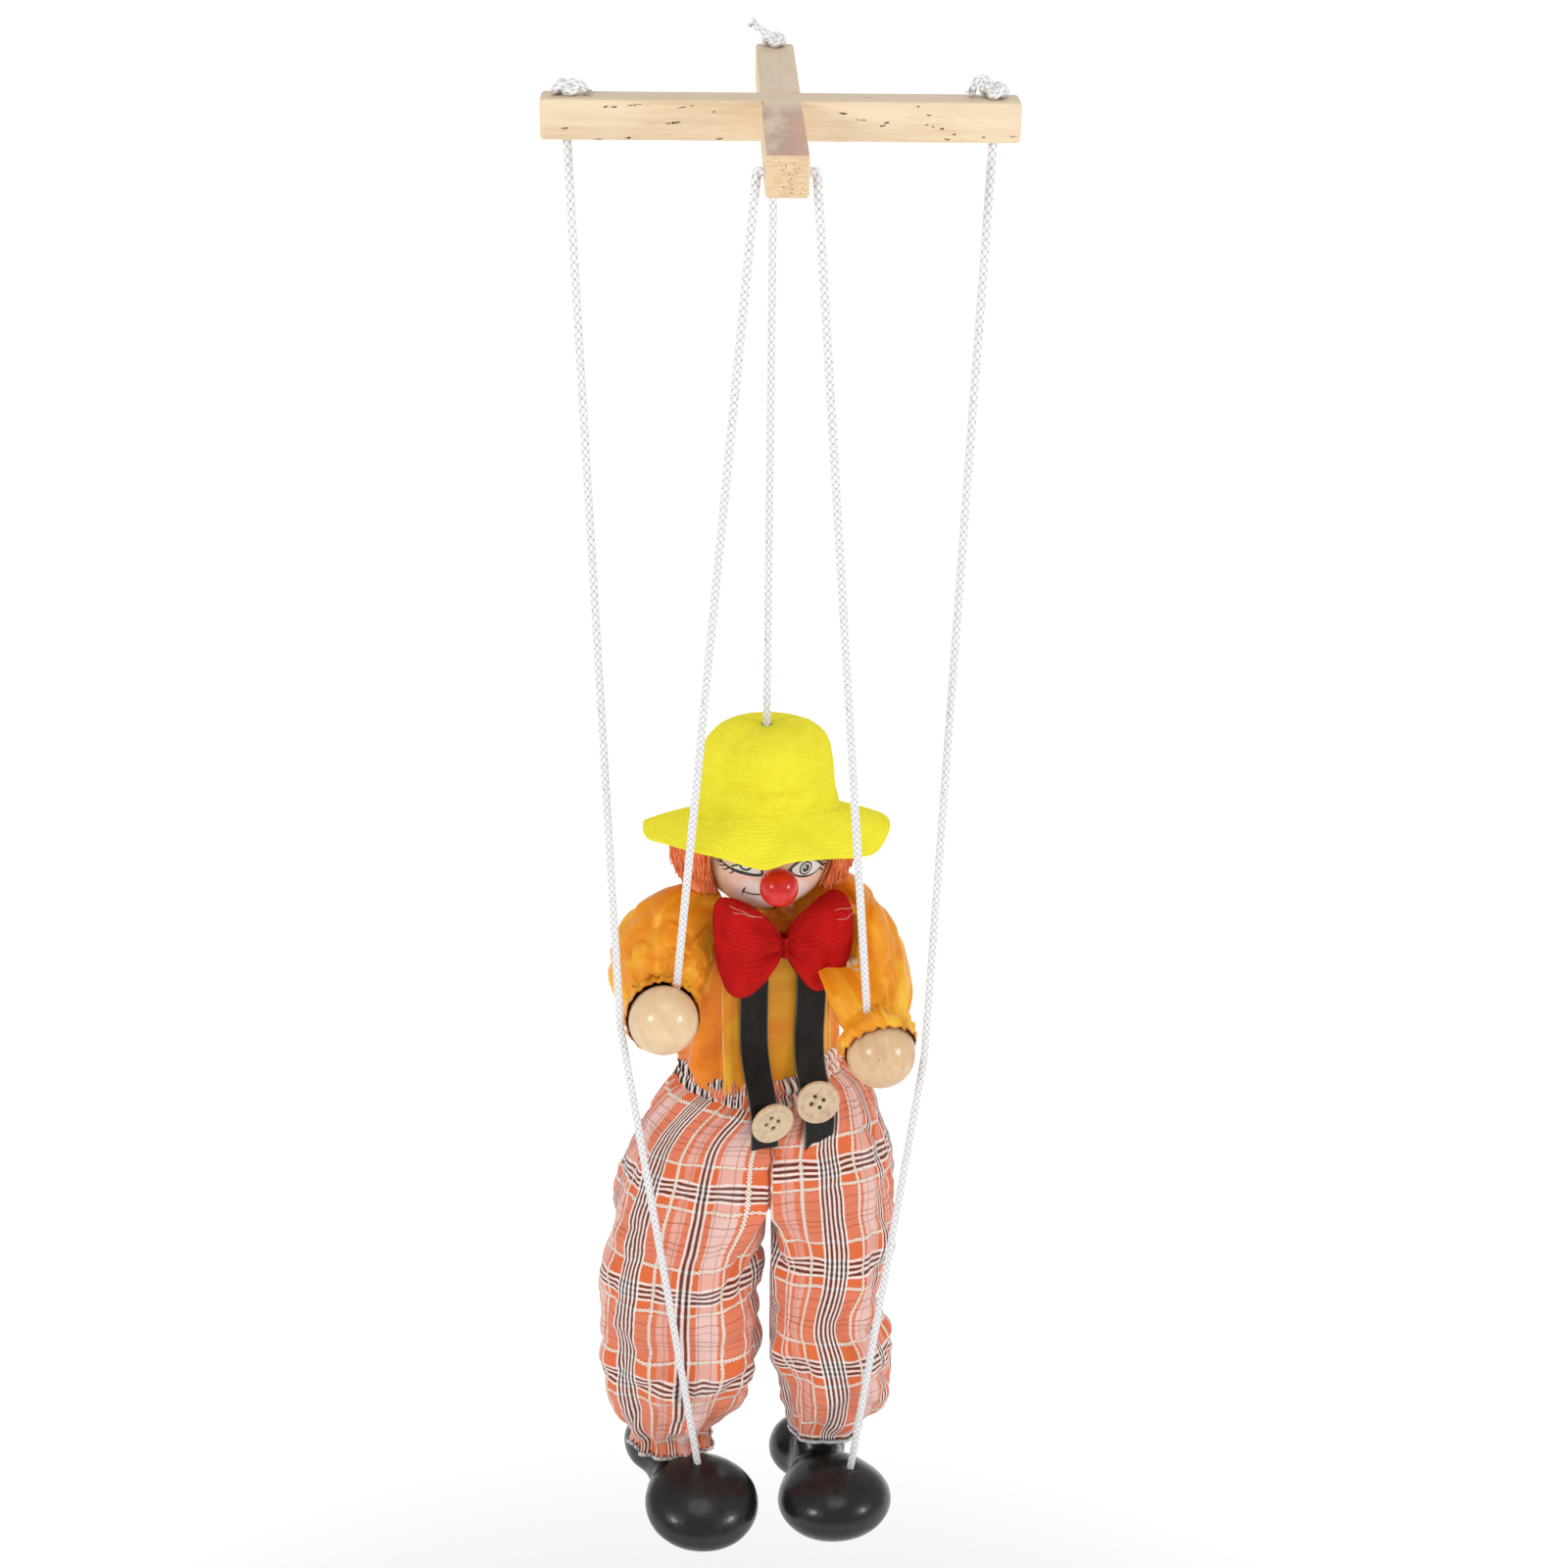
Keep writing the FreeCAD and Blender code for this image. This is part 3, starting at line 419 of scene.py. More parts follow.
def ball_wood(name, light, dark, axis, rough=0.36, coat=0.40):
    m = Mat(name, Roughness=rough, Coat_Weight=coat, Coat_Roughness=0.16, Specular_IOR_Level=0.5)
    v = m.scaled(m.obj(), (1000, 1000, 1000), (0, 0, 0), axis)
    wob = m.noise(m.scaled(v, (0.05, 0.05, 0.02)), 1.0, 2.0)
    g = m.noise(m.scaled(v, (0.42, 0.42, 0.035), (2.0, 0.5, 0.0)), 1.0, 3.0, 0.6)
    g = m.math("ADD", g, m.math("MULTIPLY", m.math("SUBTRACT", wob, 0.5), 0.3))
    fine = m.noise(m.scaled(v, (3.0, 3.0, 0.16)), 1.0, 2.0, 0.6)
    c = m.ramp(g, [(0.32, dark), (0.52, light), (0.75, tuple(min(1, a * 1.07) for a in light))])
    c = m.mix(m.math("MULTIPLY", m.range(fine, 0.55, 0.75), 0.35), c, tuple(a * 0.72 for a in dark))
    vo = m.n("TexVoronoi", {"Vector": m.scaled(v, (0.16, 0.16, 0.09)), "Scale": 1.0})
    fleck = m.math("MULTIPLY", m.range(vo.outputs["Distance"], 0.085, 0.05), m.range(m.sep(vo.outputs["Color"])[0], 0.74, 0.78))
    c = m.mix(fleck, c, tuple(a * 0.25 for a in dark))
    m.color(c)
    m.bump(m.math("SUBTRACT", m.math("MULTIPLY", fine, 0.5), fleck), 0.00006, 0.5)
    return m


def string_material():
    m = Mat("white_braid", Roughness=0.78, Specular_IOR_Level=0.3, Sheen_Weight=0.25)
    u, v, _ = m.sep(m.uv())
    ang = m.math("MULTIPLY", u, 2 * math.pi * 4)
    k = m.math("MULTIPLY", v, 2 * math.pi / 2.7)
    a = m.math("ABSOLUTE", m.math("SINE", m.math("MULTIPLY", m.math("ADD", ang, k), 0.5)))
    b = m.math("ABSOLUTE", m.math("SINE", m.math("MULTIPLY", m.math("SUBTRACT", ang, k), 0.5)))
    h = m.math("MULTIPLY", a, b)
    fibre = m.noise(m.n("CombineXYZ", {0: m.math("MULTIPLY", u, 26.0), 1: m.math("MULTIPLY", v, 2.0), 2: 0.0}).outputs[0], 1.0, 2.0, 0.6)
    # painted shade: the grooves between the braided yarns are drawn dark
    groove_shade = m.range(h, 0.16, 0.02)
    c = m.mix(groove_shade, (0.90, 0.895, 0.90), (0.36, 0.35, 0.37))
    c = m.mix(m.math("MULTIPLY", m.range(fibre, 0.45, 0.7), 0.22), c, (0.66, 0.65, 0.67))
    # painted shade: single dark pricks between the yarns, where the gaps lie in shadow
    spots = m.n("TexVoronoi", {"Vector": m.n("CombineXYZ", {0: m.math("MULTIPLY", u, 5.0), 1: m.math("MULTIPLY", v, 0.75), 2: 0.0}).outputs[0], "Scale": 1.0})
    prick_shade = m.math("MULTIPLY", m.range(spots.outputs["Distance"], 0.17, 0.10), m.range(m.sep(spots.outputs["Color"])[0], 0.50, 0.60))
    c = m.mix(m.math("MULTIPLY", prick_shade, 0.75), c, (0.10, 0.10, 0.11))
    m.color(c)
    m.bump(m.math("ADD", m.math("SUBTRACT", h, m.math("MULTIPLY", prick_shade, 0.5)), m.math("MULTIPLY", fibre, 0.35)), 0.0003, 0.8)
    return m.m


def fleece(name, base, dark, rib, rib_strength, nap=0.5, fuzz=0.9):
    """Brushed knit: close ribs under a soft nap. UV in mm, ribs run along u."""
    m = Mat(name, Roughness=0.95, Specular_IOR_Level=0.15, Sheen_Weight=fuzz, Sheen_Roughness=0.45)
    m.b.inputs["Sheen Tint"].default_value = (*base, 1.0)
    uv = m.uv()
    u, v, _ = m.sep(uv)
    wave = m.math("MULTIPLY", m.noise(m.scaled(uv, (0.12, 0.3, 1)), 1.0, 2.0), 0.9)
    s = m.math("SINE", m.math("MULTIPLY", m.math("ADD", v, wave), 2 * math.pi / rib))
    t = m.math("SINE", m.math("ADD", m.math("MULTIPLY", u, 2 * math.pi / (rib * 0.9)), m.math("MULTIPLY", s, 0.6)))
    n1 = m.noise(m.scaled(uv, (1.6, 1.6, 1)), 1.0, 4.0, 0.7)
    n2 = m.noise(m.scaled(uv, (0.16, 0.16, 1)), 1.0, 3.0, 0.6)
    h = m.math("ADD", m.math("MULTIPLY", s, rib_strength), m.math("MULTIPLY", n1, nap * 2))
    h = m.math("ADD", h, m.math("MULTIPLY", t, rib_strength * 0.35))
    c = m.mix(m.range(n2, 0.35, 0.70), base, m.mix(0.5, base, dark))
    # painted shade: the troughs of the ribs and the low spots of the nap are drawn darker
    c = m.mix(m.math("MULTIPLY", m.range(s, 0.1, -1.0), 0.45 * min(1.0, rib_strength * 2.2)), c, dark)
    c = m.mix(m.math("MULTIPLY", m.range(n1, 0.55, 0.35), 0.35), c, dark)
    m.color(c)
    m.bump(h, 0.00028, 0.75)
    return m.m


def satin(name, base, dark):
    m = Mat(name, Roughness=0.30, Specular_IOR_Level=0.7, Sheen_Weight=0.12, Sheen_Roughness=0.35, Anisotropic=0.5)
    m.b.inputs["Specular Tint"].default_value = (1.0, 0.80, 0.32, 1.0)
    m.b.inputs["Sheen Tint"].default_value = (1.0, 0.82, 0.35, 1.0)
    uv = m.uv()
    thread = m.n("TexWave", {"Vector": m.scaled(uv, (0.2, 4.0, 1)), "Scale": 1.0, "Distortion": 0.6}, wave_type="BANDS", bands_direction="Y").outputs["Fac"]
    n1 = m.noise(m.scaled(uv, (0.06, 0.06, 1)), 1.0, 3.0, 0.6)
    slub = m.noise(m.scaled(uv, (0.35, 3.5, 1)), 1.0, 3.0, 0.6)
    # painted light: broad streaks along the cloth, dark orange as painted shade and bright yellow as painted highlight
    fold_light_sweep = m.noise(m.scaled(uv, (0.075, 0.022, 1), (3.0, 7.0, 0)), 1.0, 2.0, 0.5)
    c = m.mix(m.range(n1, 0.40, 0.64), base, dark)
    c = m.mix(m.range(fold_light_sweep, 0.50, 0.58, 0.0, 0.55), c, (0.80, 0.19, 0.006))
    c = m.mix(m.range(fold_light_sweep, 0.44, 0.36, 0.0, 0.50), c, (1.0, 0.66, 0.07))
    c = m.mix(m.math("MULTIPLY", m.range(slub, 0.5, 0.75), 0.18), c, tuple(x * 0.7 for x in dark))
    m.color(c)
    m.bump(m.math("ADD", m.math("MULTIPLY", thread, 0.3), m.math("MULTIPLY", slub, 0.5)), 0.00006, 0.55)
    return m.m


def plaid_material(name):
    """Woven plaid cotton. UV in mm of flat cloth: bands of dull orange and pale pink-white, close lines of black and
    white both ways, dotted cream lines."""
    m = Mat(name, Roughness=0.88, Specular_IOR_Level=0.2, Sheen_Weight=0.25, Sheen_Roughness=0.5)
    uv = m.uv()
    jig = m.noise(m.scaled(uv, (0.9, 0.9, 1)), 1.0, 2.0)
    u, v, _ = m.sep(uv)
    u = m.math("ADD", u, m.math("MULTIPLY", m.math("SUBTRACT", jig, 0.5), 0.35))
    v = m.math("ADD", v, m.math("MULTIPLY", m.math("SUBTRACT", jig, 0.5), 0.35))
    ORANGE, PALE, BLACK, WHITE, BROWN = (0.80, 0.160, 0.045), (0.88, 0.68, 0.64), (0.012, 0.010, 0.014), (0.92, 0.89, 0.86), (0.33, 0.08, 0.045)

    def position(x, period, offset):
        return m.math("MULTIPLY", m.math("FRACT", m.math("ADD", m.math("DIVIDE", x, period), offset + 100.0)), period)

    def band(x, a, b, soft=0.15):
        return m.math("MULTIPLY", m.range(x, a - soft, a + soft), m.range(x, b + soft, b - soft))

    PU, PV = 45.0, 40.0
    x, y = position(u, PU, 0.0), position(v, PV, 0.0)
    twill = m.math("FRACT", m.math("ADD", m.math("MULTIPLY", u, 1.25), m.math("MULTIPLY", v, 1.25)))
    # ground: the weft's peach band, then the warp's pale bands over it
    c = m.mix(m.math("MULTIPLY", band(y, 15.4, 34.8), m.range(twill, 0.3, 0.7, 0.04, 0.20, False)), ORANGE, PALE)
    pale = m.math("ADD", band(x, 18.2, 25.4), m.math("MULTIPLY", band(x, 33.4, 37.0), 0.5))
    c = m.mix(m.math("MULTIPLY", pale, m.range(twill, 0.3, 0.7, 0.36, 0.72, False)), c, PALE)
    both = m.math("MULTIPLY", pale, band(y, 15.4, 34.8))
    c = m.mix(m.math("MULTIPLY", both, 0.35), c, (0.90, 0.78, 0.75))

    def lines(f, marks, other, cc, strength=1.0):
        """Thin lines at the marks (centre, width, colour)."""
        for centre, width, colour in marks:
            d = m.math("ABSOLUTE", m.math("SUBTRACT", f, centre))
            mask = m.range(d, width / 2 + 0.09, width / 2 - 0.09)
            # threads pass under the other set, so that a line is finely broken
            t = m.math("FRACT", m.math("ADD", m.math("MULTIPLY", other, 1.55), m.math("MULTIPLY", f, 1.1)))
            mask = m.math("MULTIPLY", mask, m.range(t, 0.12, 0.30, 0.30 * strength, strength))
            cc = m.mix(mask, cc, colour)
        return cc

    def chain(f, centre, other, cc):
        d = m.math("SUBTRACT", f, centre)
        g = m.math("ABSOLUTE", m.math("SUBTRACT", m.math("FRACT", m.math("DIVIDE", other, 1.5)), 0.5))
        zig = m.math("SUBTRACT", m.math("ABSOLUTE", d), m.math("MULTIPLY", m.math("SUBTRACT", g, 0.25), 1.1))
        cc = m.mix(m.range(m.math("ABSOLUTE", d), 0.95, 0.75, 0.0, 0.35), cc, (0.25, 0.08, 0.05))
        return m.mix(m.range(m.math("ABSOLUTE", m.math("SUBTRACT", zig, 0.25)), 0.34, 0.20), cc, (0.90, 0.84, 0.74))

    c = lines(y, [(19.2, 0.42, BROWN), (22.6, 0.30, BROWN), (26.6, 0.42, BROWN), (28.6, 0.42, BROWN), (31.0, 0.30, BROWN)], u, c, 0.75)
    c = chain(y, 14.2, u, c)
    c = chain(y, 36.0, u, c)
    c = lines(y, [(3.4, 0.95, WHITE), (4.6, 1.0, BLACK), (5.7, 0.9, WHITE), (6.8, 1.0, BLACK), (7.9, 0.9, WHITE),
                  (9.0, 1.0, BLACK), (10.1, 0.9, WHITE)], u, c)
    c = chain(x, 16.4, v, c)
    c = chain(x, 39.4, v, c)
    c = lines(x, [(20.3, 0.30, BROWN), (24.6, 0.30, BROWN), (34.6, 0.30, BROWN)], v, c, 0.6)
    c = lines(x, [(27.6, 0.7, WHITE), (28.5, 0.8, BLACK), (29.35, 0.75, WHITE), (30.2, 0.8, BLACK), (31.1, 0.7, WHITE)], v, c)
    c = lines(x, [(0.5, 0.8, WHITE), (1.35, 0.85, BLACK), (2.25, 0.8, WHITE), (3.1, 0.85, BLACK), (4.0, 0.8, WHITE), (4.85, 0.85, BLACK),
                  (5.75, 0.8, WHITE), (6.6, 0.85, BLACK), (7.5, 0.8, WHITE), (8.35, 0.85, BLACK), (9.2, 0.8, WHITE)], v, c)
    weave = m.math("MULTIPLY", m.math("SINE", m.math("MULTIPLY", u, 2 * math.pi / 0.42)), m.math("SINE", m.math("MULTIPLY", v, 2 * math.pi / 0.42)))
    cloud = m.noise(m.scaled(m.uv(), (0.07, 0.07, 1)), 1.0, 3.0)
    c = m.mix(m.range(cloud, 0.35, 0.7, 0.0, 0.12), c, m.mix(0.5, c, (0.55, 0.10, 0.03)))
    # painted shade: the low points of the weave are drawn darker
    c = m.mix(m.range(weave, 0.0, -1.0, 0.0, 0.16), c, (0.30, 0.08, 0.04))
    m.color(c)
    fine = m.noise(m.scaled(m.uv(), (1.2, 1.2, 1)), 1.0, 3.0)
    m.bump(m.math("ADD", m.math("MULTIPLY", weave, 0.35), m.math("MULTIPLY", fine, 0.9)), 0.00014, 0.6)
    return m.m


def ribbon_material():
    """Black satin ribbon with a thin light edge; UV.x runs 0..1 over the width, UV.y in mm."""
    m = Mat("black_ribbon", Roughness=0.50, Specular_IOR_Level=0.22)
    u, v, _ = m.sep(m.uv())
    rib = m.math("SINE", m.math("MULTIPLY", v, 2 * math.pi / 0.55))
    n = m.noise(m.n("CombineXYZ", {0: m.math("MULTIPLY", u, 3.0), 1: m.math("MULTIPLY", v, 0.12), 2: 0.0}).outputs[0], 1.0, 3.0)
    e = m.math("ABSOLUTE", m.math("SUBTRACT", u, 0.5))
    edge = m.range(e, 0.462, 0.485)
    c = m.mix(m.range(n, 0.35, 0.7), (0.0065, 0.0055, 0.005), (0.0125, 0.011, 0.010))
    c = m.mix(m.math("MULTIPLY", edge, 0.5), c, (0.30, 0.27, 0.22))
    m.color(c)
    m.bump(m.math("ADD", m.math("MULTIPLY", rib, 0.3), m.math("MULTIPLY", edge, 1.2)), 0.00008, 0.6)
    return m.m


def shoe_material():
    m = Mat("black_lacquer", Roughness=0.30, Specular_IOR_Level=0.32, Coat_Weight=0.22, Coat_Roughness=0.14)
    v = m.scaled(m.obj(), (1000, 1000, 1000))
    n = m.noise(v, 0.10, 4.0, 0.6)
    d = m.noise(v, 0.9, 3.0, 0.7)
    c = m.mix(m.range(n, 0.35, 0.70), (0.0060, 0.0060, 0.0070), (0.0120, 0.0115, 0.013))
    c = m.mix(m.range(d, 0.66, 0.84, 0.0, 0.3), c, (0.015, 0.014, 0.015))
    m.color(c)
    m.rough(m.range(m.noise(v, 0.35, 3.0), 0.3, 0.7, 0.24, 0.38, False))
    m.bump(m.math("ADD", n, m.math("MULTIPLY", d, 0.22)), 0.0009, 0.35)
    return m.m


def head_material():
    m = Mat("painted_head", Roughness=0.30, Coat_Weight=0.35, Coat_Roughness=0.12, Specular_IOR_Level=0.45)
    v = m.scaled(m.obj(), (1000, 1000, 1000))
    g = m.noise(m.scaled(v, (0.35, 0.35, 0.05)), 1.0, 3.0, 0.6)
    fine = m.noise(m.scaled(v, (2.5, 2.5, 0.2)), 1.0, 2.0, 0.6)
    c = m.ramp(g, [(0.30, (0.74, 0.50, 0.33)), (0.55, (0.82, 0.60, 0.42)), (0.75, (0.86, 0.65, 0.47))])
    c = m.mix(m.math("MULTIPLY", m.range(fine, 0.55, 0.8), 0.15), c, (0.60, 0.40, 0.26))
    d = m.n("VectorMath", {0: v, 1: (0.0, 76.0, -268.5)}, operation="SUBTRACT").outputs[0]
    d = m.n("VectorMath", {0: d}, operation="NORMALIZE").outputs[0]

    def spot(lon, lat):
        a, b = math.radians(lon), math.radians(lat)
        p = HU * (math.sin(a) * math.cos(b)) - HV * (math.cos(a) * math.cos(b)) + ZZ * math.sin(b)
        return m.n("VectorMath", {0: d, 1: tuple(p)}, operation="DOT_PRODUCT").outputs["Value"]

    wob = m.math("MULTIPLY", m.math("SUBTRACT", m.noise(v, 0.16, 2.0), 0.5), 0.04)

    def patch(lon, lat, r, soft, colour, amount, cc):
        s = m.math("ADD", spot(lon, lat), wob)
        k = m.range(s, math.cos(math.radians(r + soft)), math.cos(math.radians(max(0.0, r - soft))))
        return m.mix(m.math("MULTIPLY", k, amount), cc, colour)

    c = patch(-26, -19, 15, 5, (0.86, 0.52, 0.47), 0.85, c)
    c = patch(-21, -30, 17, 3, (0.80, 0.71, 0.68), 0.9, c)
    c = patch(-33, -22, 8, 4, (0.86, 0.62, 0.58), 0.7, c)
    c = patch(27, -22, 13, 4, (0.84, 0.56, 0.50), 0.8, c)
    c = patch(20, -30, 13, 3, (0.80, 0.71, 0.68), 0.9, c)
    c = patch(0, -45, 17, 3, (0.80, 0.71, 0.68), 0.9, c)
    m.color(c)
    m.bump(fine, 0.00005, 0.4)
    return m.m


def plain(name, base, rough, variation=0.12, bump=0.00005, scale=0.6, **kw):
    m = Mat(name, Roughness=rough, **kw)
    v = m.scaled(m.obj(), (1000, 1000, 1000))
    n = m.noise(v, scale, 3.0, 0.6)
    m.color(m.mix(m.range(n, 0.3, 0.7), base, tuple(x * (1 - variation * 2) for x in base)))
    m.bump(n, bump, 0.5)
    return m.m


WOOD_X = bar_wood("bar_wood_x", 0)
WOOD_Y = bar_wood("bar_wood_y", 1)
STRING = string_material()
HAND_WOOD = ball_wood("hand_wood", (0.78, 0.56, 0.33), (0.72, 0.50, 0.285), (0.3, 0.5, 0.2)).m
HAND_WOOD_R = ball_wood("hand_wood_r", (0.71, 0.47, 0.26), (0.65, 0.41, 0.215), (0.9, 0.2, 0.5)).m
BUTTON_WOOD = ball_wood("button_wood", (0.66, 0.50, 0.33), (0.50, 0.36, 0.22), (1.45, 0.1, 0.4), 0.5, 0.05).m
INNER_WOOD = ball_wood("inner_wood", (0.74, 0.55, 0.34), (0.60, 0.42, 0.24), (0.0, 0.0, 0.0), 0.6, 0.0).m
HAT_KNIT = fleece("hat_knit", (0.99, 0.90, 0.055), (0.88, 0.76, 0.02), 1.35, 0.52, 0.5)
BOW_KNIT = fleece("bow_knit", (0.66, 0.012, 0.010), (0.33, 0.004, 0.004), 1.0, 0.42, 0.6, 0.5)
SATIN = satin("gold_satin", (0.95, 0.47, 0.030), (0.86, 0.30, 0.012))
# painted shade: darker copies of the satin, the shade copy for the shirt's sides and collar and a slightly darker copy
# for the shirt's front
SATIN_DARK = satin("gold_satin_shade", (0.84, 0.24, 0.010), (0.72, 0.15, 0.006))
SATIN_FRONT_SHADED = satin("gold_satin_front_shaded", (0.84, 0.40, 0.018), (0.74, 0.30, 0.010))
PLAID = plaid_material("plaid_cotton")
RIBBON = ribbon_material()
LACQUER = shoe_material()
FACE = head_material()
NOSE = plain("nose_lacquer", (0.74, 0.016, 0.014), 0.24, 0.10, 0.00004, 0.25, Coat_Weight=0.3, Coat_Roughness=0.08, Specular_IOR_Level=0.35)
STEEL = plain("pin_steel", (0.55, 0.55, 0.56), 0.35, 0.1, 0.00002, 1.0, Metallic=1.0)
INK = plain("black_paint", (0.012, 0.012, 0.014), 0.35, 0.1)
EYE_WHITE = plain("white_paint", (0.78, 0.74, 0.70), 0.35, 0.04)
THREAD = plain("white_thread", (0.86, 0.85, 0.84), 0.8, 0.06, 0.00005, 2.0)
PINK_THREAD = plain("pink_thread", (0.80, 0.30, 0.28), 0.8, 0.06, 0.00005, 2.0)
BLACK_THREAD = plain("black_thread", (0.02, 0.02, 0.022), 0.8, 0.06, 0.00005, 2.0)
ORANGE_THREAD = plain("orange_thread", (0.80, 0.17, 0.05), 0.8, 0.06, 0.00005, 2.0)


def hair_material(name, a, b):
    m = Mat(name, Roughness=0.62, Specular_IOR_Level=0.35, Sheen_Weight=0.6, Sheen_Roughness=0.4)
    m.b.inputs["Sheen Tint"].default_value = (*a, 1.0)
    v = m.scaled(m.obj(), (1000, 1000, 1000))
    n = m.noise(v, 0.35, 4.0, 0.7)
    m.color(m.mix(m.range(n, 0.32, 0.68), a, b))
    m.bump(m.noise(v, 3.0, 2.0), 0.00008, 0.5)
    return m.m


HAIR = hair_material("orange_wool", (0.95, 0.31, 0.115), (0.84, 0.155, 0.045))


def paint(node, material):
    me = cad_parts[node].data
    me.materials.clear()
    me.materials.append(material)


# ------------------------------------------------------------------ studio

CAM = A(-23.0, -855.0, 179.0)
PITCH, YAW, ROLL = math.radians(24.6), math.radians(-1.8), math.radians(0.86)
fwd = A(-math.sin(YAW) * math.cos(PITCH), math.cos(YAW) * math.cos(PITCH), -math.sin(PITCH))
rgt = A(math.cos(YAW), math.sin(YAW), 0)
upv = np.cross(rgt, fwd)
cam_r = rgt * math.cos(ROLL) + upv * math.sin(ROLL)
cam_u = -rgt * math.sin(ROLL) + upv * math.cos(ROLL)
cam_data = bpy.data.cameras.new("camera")
cam_data.lens, cam_data.sensor_width = 67.5, 36.0
cam_data.clip_start, cam_data.clip_end = 0.01, 50.0
camera = bpy.data.objects.new("camera", cam_data)
scene.collection.objects.link(camera)
mw = Matrix.Identity(4)
for i in range(3):
    mw[i][0], mw[i][1], mw[i][2], mw[i][3] = cam_r[i], cam_u[i], -fwd[i], CAM[i] * MM
camera.matrix_world = mw
scene.camera = camera

world = bpy.data.worlds.new("world")
scene.world = world
world.use_nodes = True
world.node_tree.nodes["Background"].inputs["Color"].default_value = (1.0, 1.0, 1.0, 1.0)
world.node_tree.nodes["Background"].inputs["Strength"].default_value = 0.52


def area(name, where, at, size, power, colour=(1, 1, 1)):
    d = bpy.data.lights.new(name, "AREA")
    d.shape, d.size, d.energy, d.color = "DISK", size, power, colour
    o = bpy.data.objects.new(name, d)
    o.location = where
    o.rotation_mode = "QUATERNION"
    o.rotation_quaternion = (Vector(at) - Vector(where)).to_track_quat("-Z", "Y")
    scene.collection.objects.link(o)
    return o


MID = (0.0, 0.05, -0.30)


def at_angle(az, el, dist):
    a, e = math.radians(az), math.radians(el)
    return (MID[0] + dist * math.sin(a) * math.cos(e), MID[1] - dist * math.cos(a) * math.cos(e), MID[2] + dist * math.sin(e))


def in_view(side, up_, dist):
    """A place around the object, by degrees to the side of and above the line of sight."""
    a, e = math.radians(side), math.radians(up_)
    d = cam_r * math.sin(a) * math.cos(e) - fwd * math.cos(a) * math.cos(e) + cam_u * math.sin(e)
    return tuple(np.array(MID) + d * dist)


area("key_left", in_view(-42, 8, 1.5), MID, 0.36, 6.0)
area("key_right", in_view(58, 6, 1.5), MID, 0.36, 5.6)
area("top", at_angle(10, 74, 1.6), MID, 1.0, 5.0)
area("back", at_angle(170, 40, 1.8), MID, 1.0, 4.0)

# a wide pale floor well below the shoes; painted light: it glows softly away from the middle, and the darker unglowing
# middle under the puppet is a painted shadow
fm = Mat("studio_floor_painted_glow", Roughness=0.9)
fm.b.inputs["Base Color"].default_value = (0.90, 0.90, 0.90, 1.0)
fx, fy, _ = fm.sep(fm.obj())
fr = fm.math("SQRT", fm.math("ADD", fm.math("POWER", fx, 2.0), fm.math("POWER", fm.math("SUBTRACT", fy, 0.05), 2.0)))
fm.b.inputs["Emission Color"].default_value = (1, 1, 1, 1)
fm.t.links.new(fm.range(fr, 0.12, 1.0, 0.0, 0.62), fm.b.inputs["Emission Strength"])
g = np.array([[-9000, -5000, -900], [9000, -5000, -900], [9000, 14000, -900], [-9000, 14000, -900]], float)
floor = add_mesh("floor", g, [[0, 1, 2, 3]], None, fm.m)
floor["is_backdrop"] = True

# ------------------------------------------------------------------ strings

R_STRING = 1.3
BR_SEG = 14


def braid(line, radius=R_STRING, seg=BR_SEG, swell=1.0):
    d = np.concatenate([[0], np.cumsum(np.linalg.norm(np.diff(line, axis=0), axis=1))])
    th = np.linspace(0, 2 * math.pi, seg, endpoint=False)
    k = 2 * math.pi / 2.7
    a = np.abs(np.sin((4 * th[None] + k * d[:, None]) / 2))
    b = np.abs(np.sin((4 * th[None] - k * d[:, None]) / 2))
    slow = 1 + 0.03 * noise(np.stack([d * 0.18, d * 0, d * 0 + radius], 1))[:, None]
    r = radius * slow * (0.90 + 0.16 * np.maximum(a, b) * swell)
    return tube(line, r, seg)


def string(name, points, body, node):
    line = nurbs([p for p in points], 0.55)
    v, f, u = braid(line)
    o = add_mesh(name, v, f, u, STRING)
    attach(o, body)
    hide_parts(node)
    return o


LEFT = dict(
    hand_top=A(-8.3, -70.0, -2.2), hand_end=A(-31.143, 35.742, -308.657), hand=A(-35.4, 29.0, -315.2),
    mouth=A(-62.0, 0.0, -6.6), meet=A(-50.135, 25.999, -315.199), foot_end=A(-22.32, 42.16, -519.806),
    bend=A(-50.15, 26.0, -315.2),
    shoulder=A(-26.772, 69.404, -298.0), elbow=A(-39.544, 65.785, -323.783),
    hip=A(-12.364, 71.983, -398.0), knee=A(-28.979, 55.918, -456.608), ankle=A(-32.288, 61.801, -517.233))
RIGHT = dict(
    hand_top=A(8.3, -70.0, -2.2), hand_end=A(35.262, 33.644, -320.7), hand=A(39.6, 27.0, -327.2),
    mouth=A(62.0, 0.0, -6.6), meet=A(54.338, 24.003, -327.199), foot_end=A(33.601, 42.221, -518.457),
    bend=A(54.35, 24.0, -327.2),
    shoulder=A(25.536, 86.4, -298.0), elbow=A(31.642, 60.611, -310.677),
    hip=A(12.364, 80.017, -398.0), knee=A(34.448, 51.634, -449.727), ankle=A(22.124, 63.068, -508.364))


